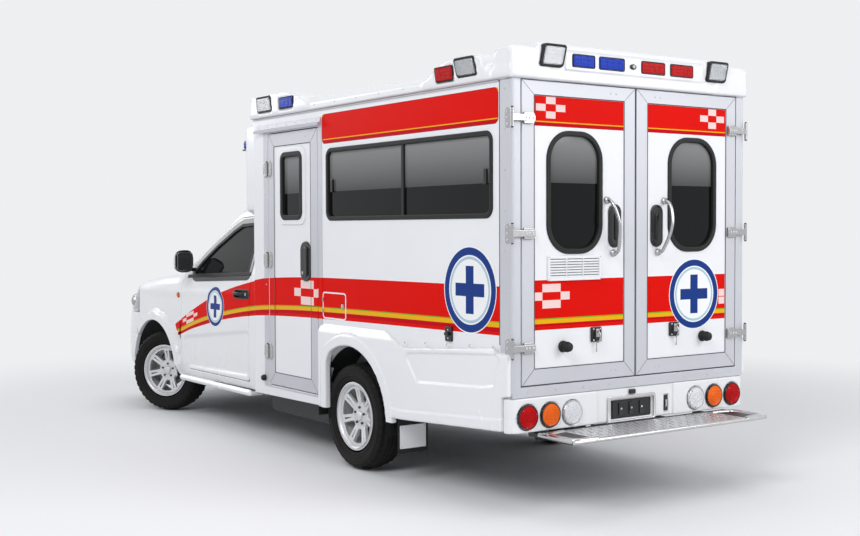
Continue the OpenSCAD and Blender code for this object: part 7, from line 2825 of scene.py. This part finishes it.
@dataclass
class RunningGear:
    """Finishes of the chassis, which the frame gives."""

    finishes: dict[str, Finish] = field(default_factory=lambda: {
        "rail_left": DARK_METAL, "rail_right": DARK_METAL, "cross_members": DARK_METAL, "engine": CAST,
        "driveline": DARK_METAL,
        "exhaust": STEEL_PIPE, "fuel_tank": PLASTIC, "rear_axle": DARK_METAL, "rear_springs": DARK_METAL,
        "front_suspension": DARK_METAL, "knuckle_left": CAST, "knuckle_right": CAST,
    })

    def build(self) -> None:
        """Dress each node."""
        for node, finish in self.finishes.items():
            dress_node(node, finish)


# ---------------------------------------------------------------- studio


@dataclass
class Studio:
    """Pale floor, soft lamps and the camera."""

    camera_at: tuple[float, float, float] = (-7.4054, 4.7223, 1.4781)
    yaw: float = -0.6089
    pitch: float = -0.0321
    roll: float = -0.0035
    lens: float = 50.97
    floor_tone: RGB = (0.86, 0.87, 0.885)
    floor_clear: tuple[float, float] = (3.4, 7.0)
    world_level: float = 0.40
    backdrop: RGB = (0.86, 0.865, 0.88)

    def build(self) -> None:
        """Make the floor, the world, the lamps and the camera."""
        self.floor()
        self.light()
        self.camera()

    def floor(self) -> None:
        """Make the floor that carries the vehicle and its shadow."""
        mesh = bpy.data.meshes.new("floor")
        size = 60.0
        mesh.from_pydata([(-size, -size, 0), (size, -size, 0), (size, size, 0), (-size, size, 0)], [],
                         [(0, 1, 2, 3)])
        plane = bpy.data.objects.new("floor", mesh)
        bpy.context.scene.collection.objects.link(plane)
        material = bpy.data.materials.new("studio_floor")
        material.use_nodes = True
        tree = material.node_tree
        shader = tree.nodes["Principled BSDF"]
        shader.inputs["Base Color"].default_value = (*self.floor_tone, 1)
        shader.inputs["Roughness"].default_value = 0.9
        shader.inputs["IOR"].default_value = 1.2
        glow = tree.nodes.new("ShaderNodeEmission")
        glow.inputs["Color"].default_value = (*self.backdrop, 1)
        away = tree.nodes.new("ShaderNodeVectorMath")
        away.operation = "LENGTH"
        tree.links.new(tree.nodes.new("ShaderNodeTexCoord").outputs["Object"], away.inputs[0])
        edge = tree.nodes.new("ShaderNodeMapRange")
        edge.interpolation_type = "SMOOTHSTEP"
        for key, value in (("From Min", self.floor_clear[0]), ("From Max", self.floor_clear[1]),
                           ("To Max", 1.0)):
            edge.inputs[key].default_value = value
        tree.links.new(away.outputs["Value"], edge.inputs["Value"])
        mix = tree.nodes.new("ShaderNodeMixShader")
        tree.links.new(Shop.math(tree, "MULTIPLY", edge.outputs[0], self.seen(tree)), mix.inputs[0])
        tree.links.new(shader.outputs[0], mix.inputs[1])
        tree.links.new(glow.outputs[0], mix.inputs[2])
        tree.links.new(mix.outputs[0], tree.nodes["Material Output"].inputs["Surface"])
        mesh.materials.append(material)

    @staticmethod
    def seen(tree: bpy.types.NodeTree) -> bpy.types.NodeSocket:
        """Give a socket that is 1 for what is seen straight, in metal or through glass."""
        light = tree.nodes.new("ShaderNodeLightPath")
        mirrored = Shop.math(tree, "MAXIMUM", light.outputs["Is Glossy Ray"],
                             light.outputs["Is Transmission Ray"])
        return Shop.math(tree, "MAXIMUM", light.outputs["Is Camera Ray"], mirrored)

    def light(self) -> None:
        """Make the world and the soft lamps."""
        scene = bpy.context.scene
        scene.view_settings.view_transform = "Standard"
        world = bpy.data.worlds.new("studio")
        scene.world = world
        world.use_nodes = True
        tree = world.node_tree
        glow = tree.nodes["Background"]
        glow.inputs["Color"].default_value = (0.93, 0.95, 1.0, 1)
        glow.inputs["Strength"].default_value = self.world_level
        plain = tree.nodes.new("ShaderNodeBackground")
        plain.inputs["Color"].default_value = (*self.backdrop, 1)
        mix = tree.nodes.new("ShaderNodeMixShader")
        tree.links.new(self.seen(tree), mix.inputs[0])
        tree.links.new(glow.outputs[0], mix.inputs[1])
        tree.links.new(plain.outputs[0], mix.inputs[2])
        tree.links.new(mix.outputs[0], tree.nodes["World Output"].inputs["Surface"])
        for name, place, size, power in (
            ("key", (-6.0, 9.0, 8.5), 6.0, 600.0), ("fill", (-9.5, -4.0, 5.0), 6.0, 400.0),
            ("sky", (0.0, 0.0, 11.0), 9.0, 250.0), ("front", (9.0, 4.0, 5.0), 5.0, 190.0),
        ):
            lamp = bpy.data.lights.new(name, "AREA")
            lamp.shape, lamp.size, lamp.energy = "DISK", size, power
            holder = bpy.data.objects.new(name, lamp)
            holder.location = place
            aim = Vector((0, 0, 1.0)) - Vector(place)
            holder.rotation_euler = aim.to_track_quat("-Z", "Y").to_euler()
            scene.collection.objects.link(holder)

    def camera(self) -> None:
        """Make the camera."""
        ahead = Vector((math.cos(self.yaw) * math.cos(self.pitch),
                        math.sin(self.yaw) * math.cos(self.pitch), math.sin(self.pitch)))
        right = Vector((math.sin(self.yaw), -math.cos(self.yaw), 0.0))
        up = right.cross(ahead)
        across = right * math.cos(self.roll) + up * math.sin(self.roll)
        tall = -right * math.sin(self.roll) + up * math.cos(self.roll)
        data = bpy.data.cameras.new("camera")
        data.lens, data.sensor_width, data.clip_end = self.lens, 36.0, 200.0
        camera = bpy.data.objects.new("camera", data)
        camera.matrix_world = Matrix((
            (across.x, tall.x, -ahead.x, self.camera_at[0]),
            (across.y, tall.y, -ahead.y, self.camera_at[1]),
            (across.z, tall.z, -ahead.z, self.camera_at[2]), (0, 0, 0, 1),
        ))
        bpy.context.scene.collection.objects.link(camera)
        bpy.context.scene.camera = camera


def wheels() -> list[Wheel]:
    """Give the four wheels where the frame has them."""
    out = []
    for tag in ("front_left", "front_right", "rear_left", "rear_right"):
        side = 1.0 if tag.endswith("left") else -1.0
        low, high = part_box(f"tyre_{tag}")
        centre = tuple((a + b) / 2 for a, b in zip(low, high))
        axle = (-0.5 * side, 0.8660254 * side, 0.0) if tag.startswith("front") else (0.0, side, 0.0)
        out.append(Wheel(tag, centre, axle))
    return out


def main() -> None:
    """Build every sub-assembly in turn, and report the pieces."""
    logging.basicConfig(level=logging.INFO, format="%(name)s: %(message)s", stream=sys.stdout)
    Studio().build()
    for maker in (BoxBody(), Skirts(), SideDoor(), RearDoors(), Roof(), Rear(), Cab(), Nose(), Fittings(),
                  *wheels(), Interior(), RunningGear()):
        LOG.info("-- %s", type(maker).__name__)
        maker.build()
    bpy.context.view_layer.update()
    triangles = sum(sum(len(face.vertices) - 2 for face in piece.data.polygons)
                    for piece in bpy.context.scene.objects
                    if piece.type == "MESH" and not piece.hide_render)
    LOG.info("%d triangles in all", triangles)


if __name__ == "__main__":
    main()
